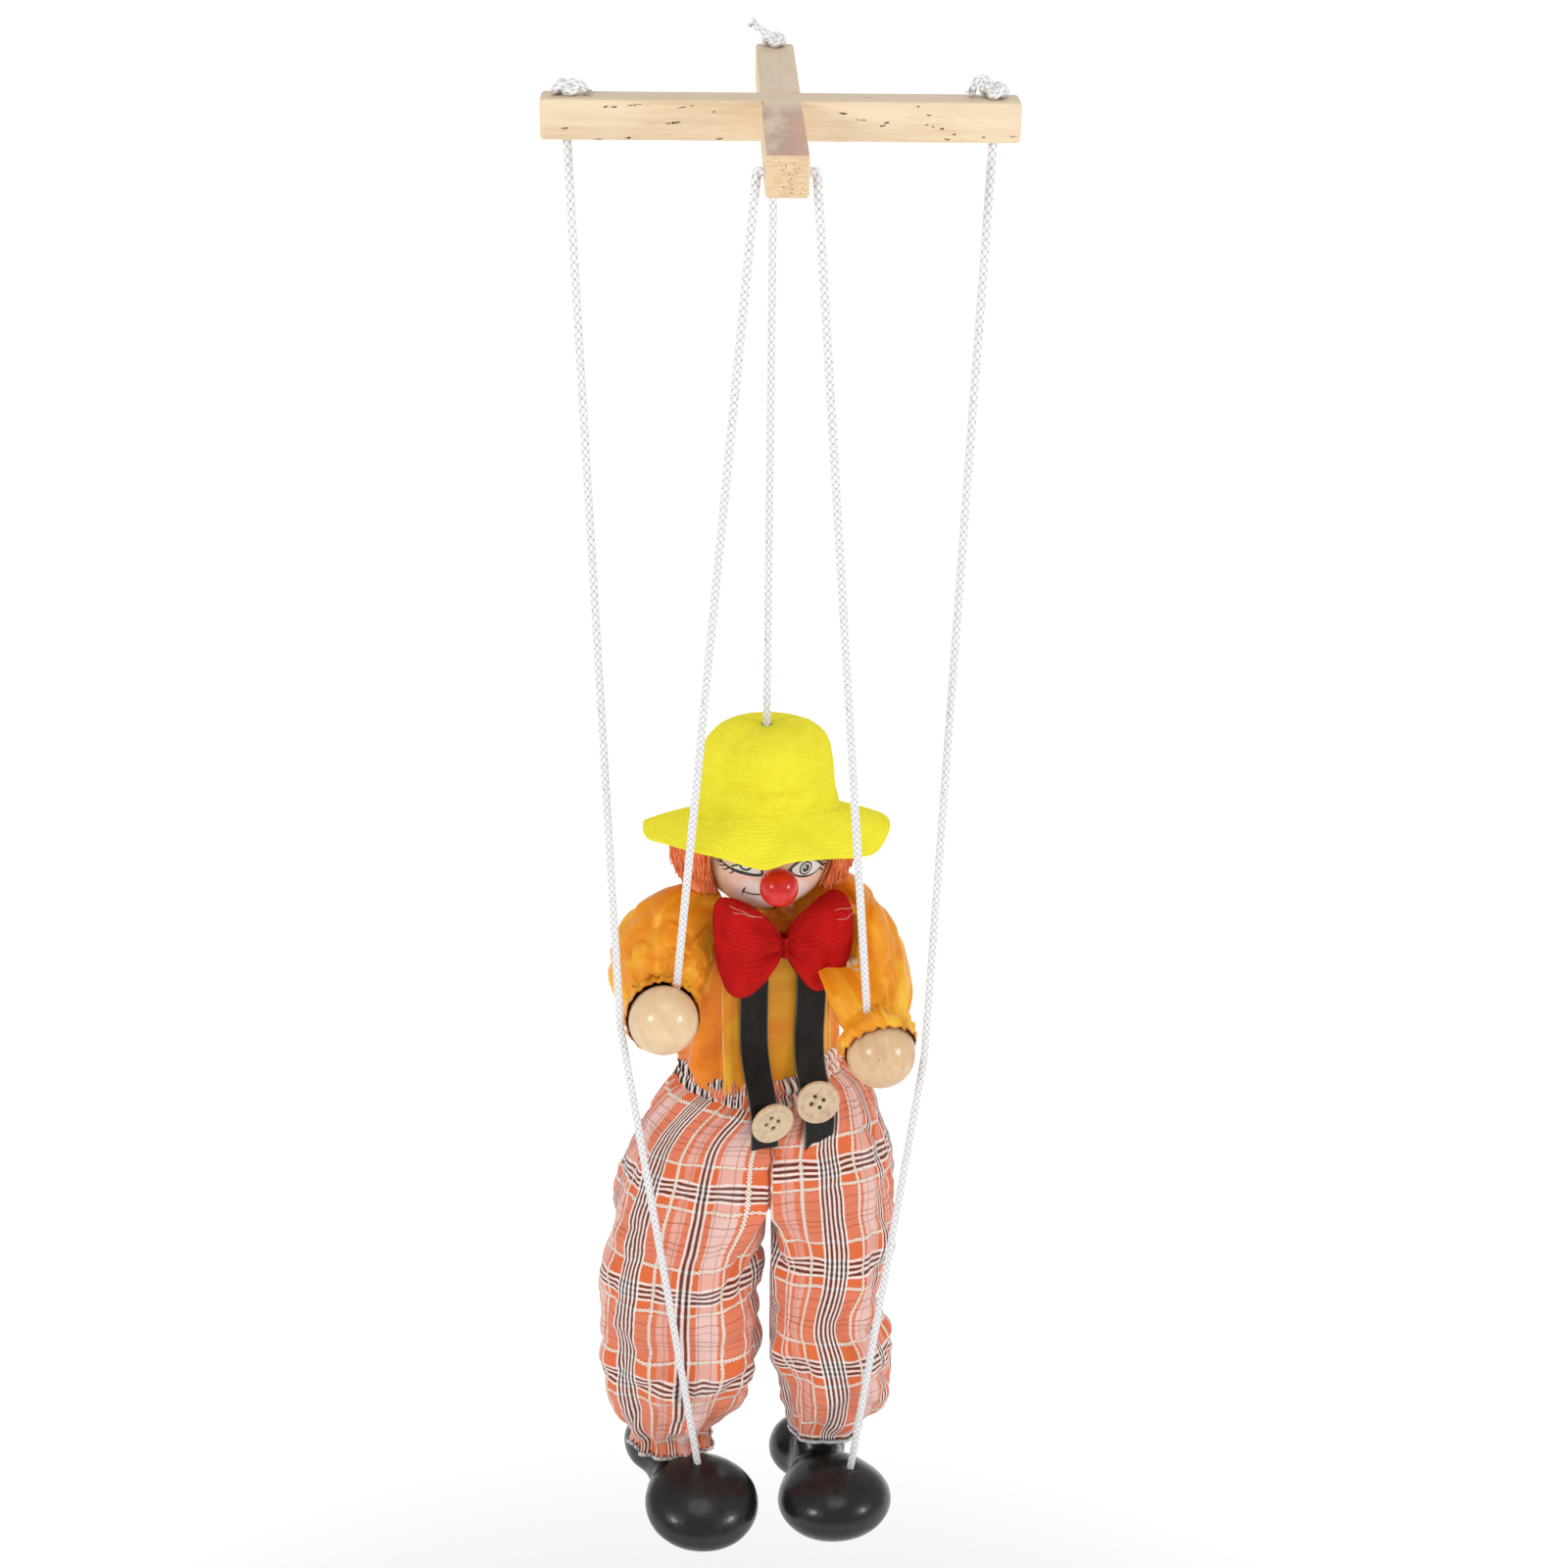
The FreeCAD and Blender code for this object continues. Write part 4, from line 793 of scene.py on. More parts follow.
def fray(line_end, direction, n, length, seed, spread=0.5, r=0.09):
    """Loose yarn ends that fan out."""
    rr = np.random.RandomState(seed)
    out = []
    d = unit(direction)
    a = unit(np.cross(d, A(0.2, 0.3, 1.0)))
    b = np.cross(d, a)
    for _ in range(n):
        th, k = rr.uniform(0, 2 * math.pi), rr.uniform(0, 1) ** 0.5
        side = a * math.cos(th) + b * math.sin(th)
        ln = length * rr.uniform(0.55, 1.0)
        start = np.asarray(line_end) + side * k * 1.0 - d * 0.6
        bend = unit(rr.normal(size=3)) * 0.5
        t = np.linspace(0, 1, 7)[:, None]
        line = start + d * ln * t + side * (spread * ln * k) * t ** 1.6 + bend * ln * 0.35 * t ** 2
        v, f, u = tube(line, r * (1 - 0.5 * t[:, 0]), 4)
        out.append((v, f, u, 0))
    return out


def knot_parts(x, y, turn, tail, seed, size=1.32):
    """An overhand knot drawn down on the bar, its end cut short and frayed."""
    t = np.linspace(0, 2 * math.pi, 90, endpoint=False)
    k = np.stack([np.sin(t) + 2 * np.sin(2 * t), np.cos(t) - 2 * np.cos(2 * t), -0.72 * np.sin(3 * t)], 1) * size
    c, s = math.cos(turn), math.sin(turn)
    k = np.stack([k[:, 0] * c - k[:, 1] * s, k[:, 0] * s + k[:, 1] * c, k[:, 2]], 1)
    k += A(x, y, 6 + 2.2)
    k = np.concatenate([k, k[:1]])
    v, f, u = braid(k, 1.22, 12)
    v[:, 2] = np.maximum(v[:, 2], 6.03)
    parts = [(v, f, u, 0)]
    # up through the hole into the knot
    v, f, u = braid(nurbs([A(x, y, -6.4), A(x, y, 0), A(x, y, 7.5)], 0.6), 1.3, 12)
    parts.append((v, f, u, 0))
    line = nurbs([A(*p) for p in tail], 0.5)
    v, f, u = braid(line, 1.15, 12)
    v[:, 2] = np.maximum(v[:, 2], 6.03)
    parts.append((v, f, u, 0))
    parts += fray(line[-1], line[-1] - line[-4], 26, 2.8, seed)
    for p in parts[3:]:
        p[0][:, 2] = np.maximum(p[0][:, 2], 6.1)
    return parts


def knot(name, node, x, y, turn, tail, seed, size=1.32):
    o = joined(name, knot_parts(x, y, turn, tail, seed, size), [STRING])
    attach(o, "control")
    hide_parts(node)
    return o


k_head = knot("knot_head", "head_string_knot", 0, 76, 0.4,
              [(0, 76, 8.2), (-2.0, 75.4, 10.0), (-4.2, 76.5, 10.8), (-6.4, 78.5, 12.2)], 3, 1.05)
k_left = knot("knot_left", "left_foot_string_knot", -62, 0, 1.1,
              [(-62, 0, 8.5), (-60, -1.5, 10.2), (-57.2, -1.6, 9.0), (-56.2, -1.4, 7.4)], 4, 1.2)
k_right = knot("knot_right", "right_foot_string_knot", 62, 0, 2.3,
               [(62, 0, 8.5), (59.6, 0.6, 11.4), (56.4, 0.8, 11.6), (55.4, 0.2, 8.2)], 5, 1.2)

# the two hand strings are one cord through the cross hole of the front bar
cross = nurbs([A(-8.35, -70.0, -2.6), A(-8.3, -70.0, -0.6), A(-7.7, -70.0, 0.25), A(-6.0, -70.0, 0.0), A(0, -70.0, 0.0),
               A(6.0, -70.0, 0.0), A(7.7, -70.0, 0.25), A(8.3, -70.0, -0.6), A(8.35, -70.0, -2.6)], 0.4)
v, f, u = braid(cross)
bridge = add_mesh("hand_string_cross", v, f, u, STRING)
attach(bridge, "control")
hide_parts("hand_string_bridge")

string("string_head", [A(0, 76, -5.0), A(0, 76, -110.0), A(0, 76, -225.6)], "head_string", "head_string")
for side, S, name in (("left", LEFT, "left"), ("right", RIGHT, "right")):
    o = string("string_hand_" + side, [S["hand_top"], (S["hand_top"] + S["hand_end"]) / 2, S["hand_end"]],
               side + "_hand_string", side + "_hand_string")
    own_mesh(o)
    near = S["bend"] + unit(S["mouth"] - S["bend"]) * 12.0
    string("string_foot_upper_" + side, [S["mouth"] + A(0, 0, 0.6), near, S["meet"]], side + "_foot_string_upper",
           side + "_foot_string_upper")
    near = S["bend"] + unit(S["foot_end"] - S["bend"]) * 12.0
    o = string("string_foot_lower_" + side, [S["meet"], near, S["foot_end"]], side + "_foot_string_lower",
               side + "_foot_string_lower")
    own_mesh(o)

FLECKS = [(-51.1, 3.6, -49.6, 4.0, 1), (-49.1, 3.7, -47.1, 3.8, 1.2), (-44.7, 4.1, -39.8, 4.6, 0.8), (-30.0, 3.6, -27.0, 4.0, 0.8), (-26.2, 4.2, -25.0, 4.3, 0.8),
          (-19.8, 2.5, -18.8, 2.7, 0.8), (-33.3, -1.0, -28.9, -0.4, 1.3), (-63.4, -2.6, -61.0, -2.4, 1.2), (-45.1, -5.2, -43.1, -5.0, 1), (-18.9, -5.3, -16.7, -5.1, 1.2),
          (16.5, 2.5, 19.1, 2.3, 1.4), (21.4, 0.8, 22.4, 0.6, 0.8), (22.6, 0.6, 24.6, 0.5, 0.8), (38.9, 4.6, 40.0, 4.5, 0.8), (41.8, 2.2, 43.2, 2.0, 1.2), (28.4, -1.2, 30.2, -0.9, 1.5),
          (29.5, -0.3, 31.3, -0.0, 1.5), (41.5, -0.6, 42.6, -0.8, 0.7), (43.3, -1.0, 44.5, -1.4, 0.7), (45.7, -1.6, 47.3, -1.9, 1.3), (49.4, -3.3, 50.6, -3.4, 1.2), (47.0, -4.7, 49.1, -4.9, 1.0),
          (58.0, -4.1, 59.2, -4.1, 1.1)]
SPECKS = [(-2.3, 3.9), (1.7, 3.8), (2.0, 2.1), (2.4, 1.1), (0.5, 0.8), (1.1, -0.6), (0.4, -1.3), (0.7, -1.9), (1.3, -3.2), (0.8, -4.3), (1.4, -4.4), (3.5, -4.3), (4.0, -3.0), (-0.9, -2.7),
          (-1.3, 1.9), (-0.5, 2.9), (3.1, 2.4)]


def pore(a, b, width, seed):
    """A shallow dark pore between two points, a lens with a ragged edge; the third axis is up off the wood."""
    rr = np.random.RandomState(seed)
    a, b = np.asarray(a, float), np.asarray(b, float)
    t = unit(b - a)
    n = A(0, -1, 0)
    side = np.cross(n, t)
    k = np.linspace(0, 1, 12)
    w = width * np.sin(k * math.pi) ** 0.6 * (1 + 0.35 * rr.normal(size=12))
    lo_ = a + (b - a) * k[:, None] - side * (w / 2)[:, None]
    hi_ = a + (b - a) * k[:, None] + side * (w / 2)[:, None]
    return np.stack([lo_, hi_], 1).reshape(-1, 3), grid_faces(12, 2, False, True)[0].tolist(), None, 0


PORE = plain("dark_pore", (0.028, 0.017, 0.012), 0.8, 0.1)
o = joined("bar_pores", [pore((x0, -6.012, z0), (x1, -6.012, z1), 0.36 * w_, i) for i, (x0, z0, x1, z1, w_) in enumerate(FLECKS)]
           + [pore((x0 - 0.2, -76.012, z0 + 0.02), (x0 + 0.2, -76.012, z0 - 0.02), 0.30, 60 + i) for i, (x0, z0) in enumerate(SPECKS)], [PORE])
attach(o, "control")
paint("control_crossbar", WOOD_X)
paint("control_fore_aft_bar", WOOD_Y)
v, f, u = braid(nurbs([A(0, 76, -225.0), A(0, 76, -262.0), A(0, 76, -305.5)], 0.7), 1.3, 10)
o = add_mesh("neck_string", v, f, u, STRING)
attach(o, "trunk")
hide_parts("neck_cord")

# ------------------------------------------------------------------ head

HC = A(0, 76, -268.5)
HEAD_R = 24.3
paint("head_ball", FACE)
paint("nose", NOSE)


def on_ball(lon, lat, r=HEAD_R + 0.07):
    a, b = np.radians(lon), np.radians(lat)
    a, b = np.broadcast_arrays(a, b)
    d = (np.sin(a) * np.cos(b))[..., None] * HU - (np.cos(a) * np.cos(b))[..., None] * HV + np.sin(b)[..., None] * ZZ
    return HC + d * r


def ball_line(points, width, material_index=0, lift=0.07, taper=(1.0, 1.0), closed=False):
    """A painted stroke on the ball: points in degrees, width in mm."""
    width = width * 1.45
    p = np.asarray(points, float)
    if closed:
        p = np.concatenate([p, p[:1]])
    s = np.linspace(0, len(p) - 1, max(8, 7 * (len(p) - 1)) + 1)
    q = catmull(np.arange(len(p)), p, s) if len(p) > 2 else p[0] + (p[1] - p[0]) * (s / s[-1])[:, None]
    c = on_ball(q[:, 0], q[:, 1], HEAD_R + lift)
    t = np.gradient(c, axis=0)
    t /= np.linalg.norm(t, axis=1)[:, None]
    nrm = (c - HC) / np.linalg.norm(c - HC, axis=1)[:, None]
    side = np.cross(t, nrm)
    k = np.linspace(0, 1, len(c))
    w = width / 2 * np.interp(k, [0, 0.5, 1], [taper[0], 1.0, taper[1]])[:, None]
    P = np.stack([c - side * w, c, c + side * w], 1)
    P = HC + (P - HC) / np.linalg.norm(P - HC, axis=-1)[..., None] * (HEAD_R + lift)
    P[:, 1] += nrm * 0.02
    f, _ = grid_faces(len(c), 3, False)
    return P.reshape(-1, 3), f.tolist(), None, material_index


def ball_area(points, material_index=0, lift=0.05, rings=7, n=56):
    """A filled patch on the ball with a smooth outline through the points (degrees)."""
    p = np.asarray(points, float)
    m = len(p)
    pp = np.concatenate([p[-2:], p, p[:3]])
    s = np.linspace(0, m, n, endpoint=False)
    edge = catmull(np.arange(-2, m + 3), pp, s)
    mid = p.mean(0)
    vs, fs = [on_ball(mid[0], mid[1], HEAD_R + lift)[None]], []
    for k in range(1, rings + 1):
        q = mid + (edge - mid) * (k / rings)
        vs.append(on_ball(q[:, 0], q[:, 1], HEAD_R + lift))
    for j in range(n):
        fs.append([0, 1 + j, 1 + (j + 1) % n])
    for k in range(rings - 1):
        for j in range(n):
            a, b = 1 + k * n + j, 1 + k * n + (j + 1) % n
            fs.append([a, a + n, b + n, b])
    return np.concatenate(vs), fs, None, material_index


def arc_points(c, rx, ry, a0, a1, n, tilt=0.0):
    t = np.radians(np.linspace(a0, a1, n))
    x, y = rx * np.cos(t), ry * np.sin(t)
    k = math.radians(tilt)
    return np.stack([c[0] + x * math.cos(k) - y * math.sin(k), c[1] + x * math.sin(k) + y * math.cos(k)], 1)


eye = [(11.5, -2.0), (16.0, 1.3), (23.0, 3.6), (31.0, 2.6), (38.0, -1.5), (43.5, -6.8), (38.0, -10.8), (29.0, -11.6), (20.0, -9.6), (14.0, -6.2)]
paint_parts = [ball_area(eye, 1, 0.05)]
paint_parts.append(ball_area(arc_points((26.2, -4.0), 6.4, 6.2, 0, 360 - 30, 12), 0, 0.09))
paint_parts.append(ball_area(arc_points((26.2, -4.0), 4.9, 4.7, 0, 360 - 30, 12), 1, 0.12))
paint_parts.append(ball_area(arc_points((26.2, -4.0), 3.6, 3.5, 0, 360 - 30, 12), 0, 0.15))
paint_parts.append(ball_area(arc_points((25.0, -2.8), 1.2, 1.1, 0, 360 - 60, 6), 1, 0.18, 3, 20))
paint_parts.append(ball_line([(9.5, -3.4), (14.5, 1.0), (21.0, 4.2), (29.0, 4.2), (37.0, 0.5), (45.0, -6.5), (49.0, -9.6)], 1.05, 0, 0.1, (0.5, 0.3)))
paint_parts.append(ball_line([(12.0, -3.0), (15.0, -7.2), (21.5, -10.6), (29.0, -12.2), (37.0, -11.6), (44.0, -7.8)], 0.62, 0, 0.1, (0.6, 0.4)))
paint_parts.append(ball_line([(12.2, -1.0), (12.8, -8.0)], 0.5, 0, 0.1))
for a, b in (((40.5, -3.2), (48.5, -1.0)), ((43.0, -5.5), (52.0, -5.2)), ((45.0, -7.6), (53.5, -10.2)), ((36.5, 0.3), (42.0, 5.5)), ((31.0, 3.0), (34.0, 8.5)),
             ((24.0, 3.8), (25.0, 9.5)), ((42.5, -10.0), (49.0, -14.5))):
    mid = ((a[0] + b[0]) / 2, (a[1] + b[1]) / 2 + 0.8)
    paint_parts.append(ball_line([a, mid, b], 0.42, 0, 0.1, (1.0, 0.3)))
# the winking eye
paint_parts.append(ball_area([(-36.0, -1.8), (-28.0, 1.6), (-20.0, 1.8), (-13.5, 0.0), (-13.2, -4.0), (-20.0, -5.6), (-29.0, -4.8)], 1, 0.05))
paint_parts.append(ball_line([(-50.0, 1.8), (-43.0, -1.4), (-36.0, -3.8), (-27.0, -5.2), (-18.5, -6.0), (-11.8, -5.6)], 0.95, 0, 0.1, (0.3, 0.8)))
paint_parts.append(ball_line([(-38.0, -1.0), (-30.0, 2.0), (-21.0, 2.6), (-12.0, 0.4)], 0.6, 0, 0.1, (0.6, 0.6)))
paint_parts.append(ball_line([(-30.5, 1.6), (-27.5, -1.6), (-23.0, -1.4), (-20.0, 2.0)], 0.55, 0, 0.1))
paint_parts.append(ball_line([(-12.0, 0.4), (-11.6, -5.4)], 0.55, 0, 0.1))
for a, b in (((-43.0, -1.4), (-51.5, -3.0)), ((-39.5, -2.6), (-47.5, -6.4)), ((-46.0, 0.2), (-55.0, 1.0)), ((-47.0, 1.2), (-54.0, 5.0)), ((-35.0, -4.0), (-40.5, -8.4))):
    mid = ((a[0] + b[0]) / 2, (a[1] + b[1]) / 2 - 0.8)
    paint_parts.append(ball_line([a, mid, b], 0.40, 0, 0.1, (1.0, 0.3)))
# the mouth: one thin line with a small fork at its end
paint_parts.append(ball_line([(-29.5, -25.0), (-25.0, -26.8), (-19.0, -27.6), (-11.0, -27.2), (-2.0, -29.0), (8.0, -28.5), (16.5, -25.5)], 0.55, 0, 0.1, (0.8, 0.6)))
paint_parts.append(ball_line([(-26.8, -19.6), (-28.0, -22.6), (-29.6, -25.4), (-30.8, -30.0)], 0.5, 0, 0.1, (0.4, 0.5)))
paint_parts.append(ball_line([(17.8, -21.5), (17.4, -25.0), (19.0, -28.8)], 0.45, 0, 0.1, (0.4, 0.4)))
o = joined("face_paint", paint_parts, [INK, EYE_WHITE])
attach(o, "head")

# --- hair: strands of wool from under the hat


def hair_radius(phi_deg, z):
    """Outer radius of the wool by the angle from the face and the height."""
    back = smooth(60, 110, np.abs(phi_deg))
    t = (-259.5 - z) / 24.0
    return 27.5 + back * (5.2 * np.sin(np.clip(t, 0, 1) * 2.3 + 0.25)) + 1.2


def hair_top(rel):
    """Highest the wool reaches, under the sloping brim."""
    return -258.6 - 4.4 * smooth(58, 84, rel) - 5.4 * smooth(100, 160, rel)


def hair_strands():
    rr = np.random.RandomState(21)
    parts_v, parts_f, n0 = [], [], 0
    clumps = []
    for i in range(120):
        clumps.append((rr.uniform(56, 304), rr.uniform(-1, 1), rr.uniform(0.85, 1.15), rr.uniform(0, 7)))
    for a, lean, ln, ph in clumps:
        for _ in range(15):
            ad = a + rr.normal() * 3.0
            aa = math.radians(ad)
            rel = ad if ad < 180 else 360 - ad
            d = HU * math.sin(aa) - HV * math.cos(aa)
            tan = A(-d[1], d[0], 0)
            depth = rr.uniform(0, 1) ** 0.6
            z0 = float(hair_top(np.array(rel))) - rr.uniform(0, 2.5)
            length = ((20.6 if rel < 90 else 20.6) * ln * rr.uniform(0.85, 1.10)) + (z0 + 258.6)
            n = 10
            t = np.linspace(0, 1, n)
            z = z0 - length * t
            ballr = np.sqrt(np.maximum(0, (HEAD_R + 0.8) ** 2 - (z - HC[2]) ** 2))
            env = hair_radius(rel, z)
            r = np.maximum(ballr + 0.3, ballr * (1 - depth) + env * depth) + 0.35 * np.sin(t * 7 + ph)
            r = np.where(z < -281, r - (-281 - z) * 0.35, r)
            side = lean * 2.0 * t ** 1.4 + 1.0 * np.sin(t * rr.uniform(4, 8) + ph) * t ** 0.6 + rr.normal() * 0.7
            line = T0 + d[None] * r[:, None] + tan[None] * side[:, None] + ZZ[None] * z[:, None]
            v, f, u = tube(line, 0.27 * (1 - 0.5 * t) + 0.06, 4, cap=True)
            parts_v.append(v)
            parts_f += [[x + n0 for x in q] for q in f]
            n0 += len(v)
    return np.concatenate(parts_v), parts_f


v, f = hair_strands()
hair = add_mesh("hair_strands", v, f, None, HAIR)
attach(hair, "head")
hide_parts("hair")

# a felted under layer closes the gaps between the strands
nphi, nz = 190, 30
deg = np.linspace(58, 302, nphi)
ang = np.radians(deg)
rel = np.where(deg < 180, deg, 360 - deg)
zz = np.linspace(-258.4, -283.0, nz)
P = np.zeros((2 * nz, nphi, 3))
d = np.sin(ang)[:, None] * HU[None] - np.cos(ang)[:, None] * HV[None]
end = smooth(0.90, 1.0, np.abs(np.linspace(-1, 1, nphi)))
for i, z in enumerate(zz):
    ballr = math.sqrt(max(0, (HEAD_R + 0.4) ** 2 - (z - HC[2]) ** 2)) if abs(z - HC[2]) < HEAD_R else 0
    r_out = hair_radius(rel, z) - 1.0
    r_in = np.full(nphi, max(ballr, 21.5) + 0.5)
    r_out = r_in + (r_out - r_in) * (1 - 0.92 * end)
    p = T0 + d * r_out[:, None] + ZZ * z
    p = p + d * (1.1 * fbm(np.concatenate([p[:, :2] * 0.3, p[:, 2:] * 0.05], 1), 3) * (1 - end))[:, None]
    p[:, 2] = np.minimum(p[:, 2], hair_top(rel))
    P[i] = p
    P[2 * nz - 1 - i] = T0 + d * r_in[:, None] + ZZ * z
    P[2 * nz - 1 - i, :, 2] = np.minimum(P[2 * nz - 1 - i, :, 2], hair_top(rel))
under = surface("hair_under", P, None, False, HAIR, flip=True)
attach(under, "head")

# --- hat
BRIM_PHI = [-180, -165, -145, -127, -112, -98, -91, -80, -67, -55, -40, -27, -8, 10, 40, 90, 135, 160, 180]
BRIM_EDGE = [-262.6, -262.6, -259.6, -258.4, -258.0, -259.8, -260.6, -258.6, -259.0, -260.4, -262.8, -264.4, -262.6, -264.5, -268.6, -272.5, -273.0, -268.0, -262.6]
FOOT_PHI = [-180, -150, -120, -90, -60, -30, 0, 45, 90, 135, 180]
FOOT_Z = [-259.0, -255.0, -250.6, -248.2, -248.6, -251.6, -256.4, -260.5, -262.0, -262.0, -259.0]
EDGE_R = [43.0, 43.4, 42.2, 41.2, 41.0, 41.0, 41.0, 41.0, 41.0, 41.0, 41.6, 42.4, 43.6, 43.6, 41.5, 39.5, 40.0, 42.0, 43.0]


def hat_surface():
    nphi, nv = 220, 156
    phi = np.linspace(-180, 180, nphi, endpoint=False)
    ph = np.radians(phi)
    edge = catmull(BRIM_PHI, BRIM_EDGE, phi)
    er = catmull(BRIM_PHI, EDGE_R, phi)
    foot = catmull(FOOT_PHI, FOOT_Z, phi)
    # k runs 0..1 down the crown, 1..2 out to the brim's edge, 2..3 back inside, 3..4 up to the hole
    crown_out = [(1.75, 0.0), (7, 0.2), (12.5, 1.0), (17.0, 3.0), (20.3, 6.4), (21.9, 11.0), (22.9, 18.0), (23.9, 26.0), (24.6, 32.0)]
    crown_in = [(22.9, 31.0), (22.0, 24.5), (21.0, 17.0), (19.6, 10.6), (17.2, 6.6), (13.0, 4.2), (7, 3.2), (1.75, 2.9)]
    top = -224.0
    rows = []
    full = 32.0

    def crown(prof, n, foot_off):
        q = np.array(prof)
        d = np.concatenate([[0], np.cumsum(np.linalg.norm(np.diff(q, axis=0), axis=1))])
        c = catmull(d, q, np.linspace(0, d[-1], n))
        for r, dz in c:
            k = dz / full
            z = top - k * (top - foot + foot_off) if foot_off == 0 else top - 2.6 * (1 - k) - k * (top - foot + foot_off - 2.6) - 0.0
            rows.append((np.full(nphi, r), z, 0.0))

    def brim(n, a, b, drop, inner):
        for t in np.linspace(a, b, n):
            r0 = 24.6 if not inner else 23.2
            r = r0 + (er - 0.2 - r0) * t
            # out almost level at first, then over
            bow = 0.55 * t + 0.45 * t ** 2.0
            z = foot + (edge + 1.1 - foot) * bow - drop
            rows.append((r, z, smooth(0.0, 1.0, t) * np.ones(nphi)))

    crown(crown_out, 66, 0)
    brim(34, 0.03, 1.0, 0.0, False)
    rows.append((er, edge + 0.55, 1.0))
    rows.append((er - 0.1, edge + 0.1, 1.0))
    rows.append((er - 0.7, edge - 0.1, 1.0))
    brim(22, 0.94, 0.04, 1.9, True)
    crown(crown_in[::1], 30, 1.6)
    R = np.array([np.broadcast_to(a, (nphi,)) for a, _, _ in rows])
    Z_ = np.array([np.broadcast_to(b, (nphi,)) for _, b, _ in rows])
    B = np.array([np.broadcast_to(c, (nphi,)) for _, _, c in rows])
    outer = np.arange(len(rows))[:, None] < 101
    z, r = Z_, R
    # a flat top with a soft edge; a shelf-like dent across the front of the crown
    cr = (1 - smooth(0, 0.12, B)) * smooth(3, 12, r)
    front = np.exp(-((phi[None] + 94) / 42.0) ** 2)
    dent = front * np.exp(-((z + 243.2) / 2.6) ** 2)
    roll = front * np.exp(-((z + 237.6) / 3.0) ** 2)
    line = front * np.exp(-((z + 246.6) / 1.1) ** 2)
    r = r + cr * (-1.5 * dent + 0.9 * roll - 0.4 * line)
    r = r + cr * (0.5 * np.sin(2 * ph + 1.3)[None] + 0.35 * np.sin(3 * ph)[None]) * smooth(4, 16, r)
    r = r + cr * 0.7 * smooth(-0.2, 1.0, np.cos(ph - 0.3))[None] * smooth(-235, -255, z)
    z = z + B * 0.35 * np.sin(ph * 5 + 1.0)[None]
    P = np.stack([r * np.cos(ph)[None], r * np.sin(ph)[None] + 76, z], -1)
    n = fbm(P * 0.075, 3)
    rad = P - (T0 + A(0, 0, -245))
    rad /= np.linalg.norm(rad, axis=-1)[..., None]
    P = P + rad * (n * 1.0 * smooth(1.8, 8.0, r) * (1 - 0.75 * B))[..., None]
    P[..., 2] -= 0.8 * smooth(9, 0, r) * (P[..., 2] > -226.9)
    # never inside the head
    d = P - HC
    dn = np.linalg.norm(d, axis=-1)
    P = HC + d * (np.maximum(dn, HEAD_R + 0.25) / dn)[..., None]
    s = np.concatenate([[0], np.cumsum(np.linalg.norm(np.diff(P[:, 0], axis=0), axis=1))])
    U = np.broadcast_to(np.linspace(0, 150.0, nphi + 1)[None], (len(rows), nphi + 1))
    V_ = np.broadcast_to(s[:, None], (len(rows), nphi + 1))
    return P, np.stack([U, V_], -1)


P, UV = hat_surface()
hat = surface("hat_knitted", P, UV, True, HAT_KNIT, flip=True)
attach(hat, "head")
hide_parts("hat")

def fibres(P, count, length, radius, seed, rows, material, name, body, centre, flat=0.5):
    """Short fibres that stand off a knitted surface, from its grid of points."""
    rr = np.random.RandomState(seed)
    nv, nu = P.shape[:2]
    vs, fs, n0 = [], [], 0
    du = np.roll(P, -1, 1) - P
    dv = np.gradient(P, axis=0)
    N = np.cross(du, dv)
    N /= np.maximum(np.linalg.norm(N, axis=-1), 1e-9)[..., None]
    out = ((P - centre) * N).sum(-1)
    N = np.where((out < 0)[..., None], -N, N)
    for _ in range(count):
        i, j = rr.randint(rows[0], rows[1]), rr.randint(0, nu)
        p, n = P[i, j], N[i, j]
        t = unit(np.cross(n, rr.normal(size=3)))
        ln = length * rr.uniform(0.5, 1.2)
        a = p + (P[i, (j + 1) % nu] - p) * rr.uniform(0, 1) - n * 0.1
        tip = a + n * ln * (1 - flat) + t * ln * flat
        mid = (a + tip) / 2 + n * ln * 0.18
        k = unit(np.cross(tip - a, n + t * 0.3))
        k2 = unit(np.cross(tip - a, k))
        for q, r in ((a, radius), (mid, radius * 0.8), (tip, radius * 0.25)):
            vs += [q + k * r, q - k * 0.5 * r + k2 * 0.87 * r, q - k * 0.5 * r - k2 * 0.87 * r]
        for b in (0, 3):
            for m in range(3):
                fs.append([n0 + b + m, n0 + b + (m + 1) % 3, n0 + b + 3 + (m + 1) % 3, n0 + b + 3 + m])
        n0 += 9
    o = add_mesh(name, np.array(vs), fs, None, material)
    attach(o, body)
    return o


HAT_FUZZ = plain("hat_fibre", (0.98, 0.92, 0.16), 0.9, 0.05)
BOW_FUZZ = plain("bow_fibre", (0.74, 0.03, 0.025), 0.9, 0.1)
fibres(P, 6500, 0.60, 0.028, 31, (8, 102), HAT_FUZZ, "hat_nap", "head", T0 + A(0, 0, -250))

# ------------------------------------------------------------------ bow tie


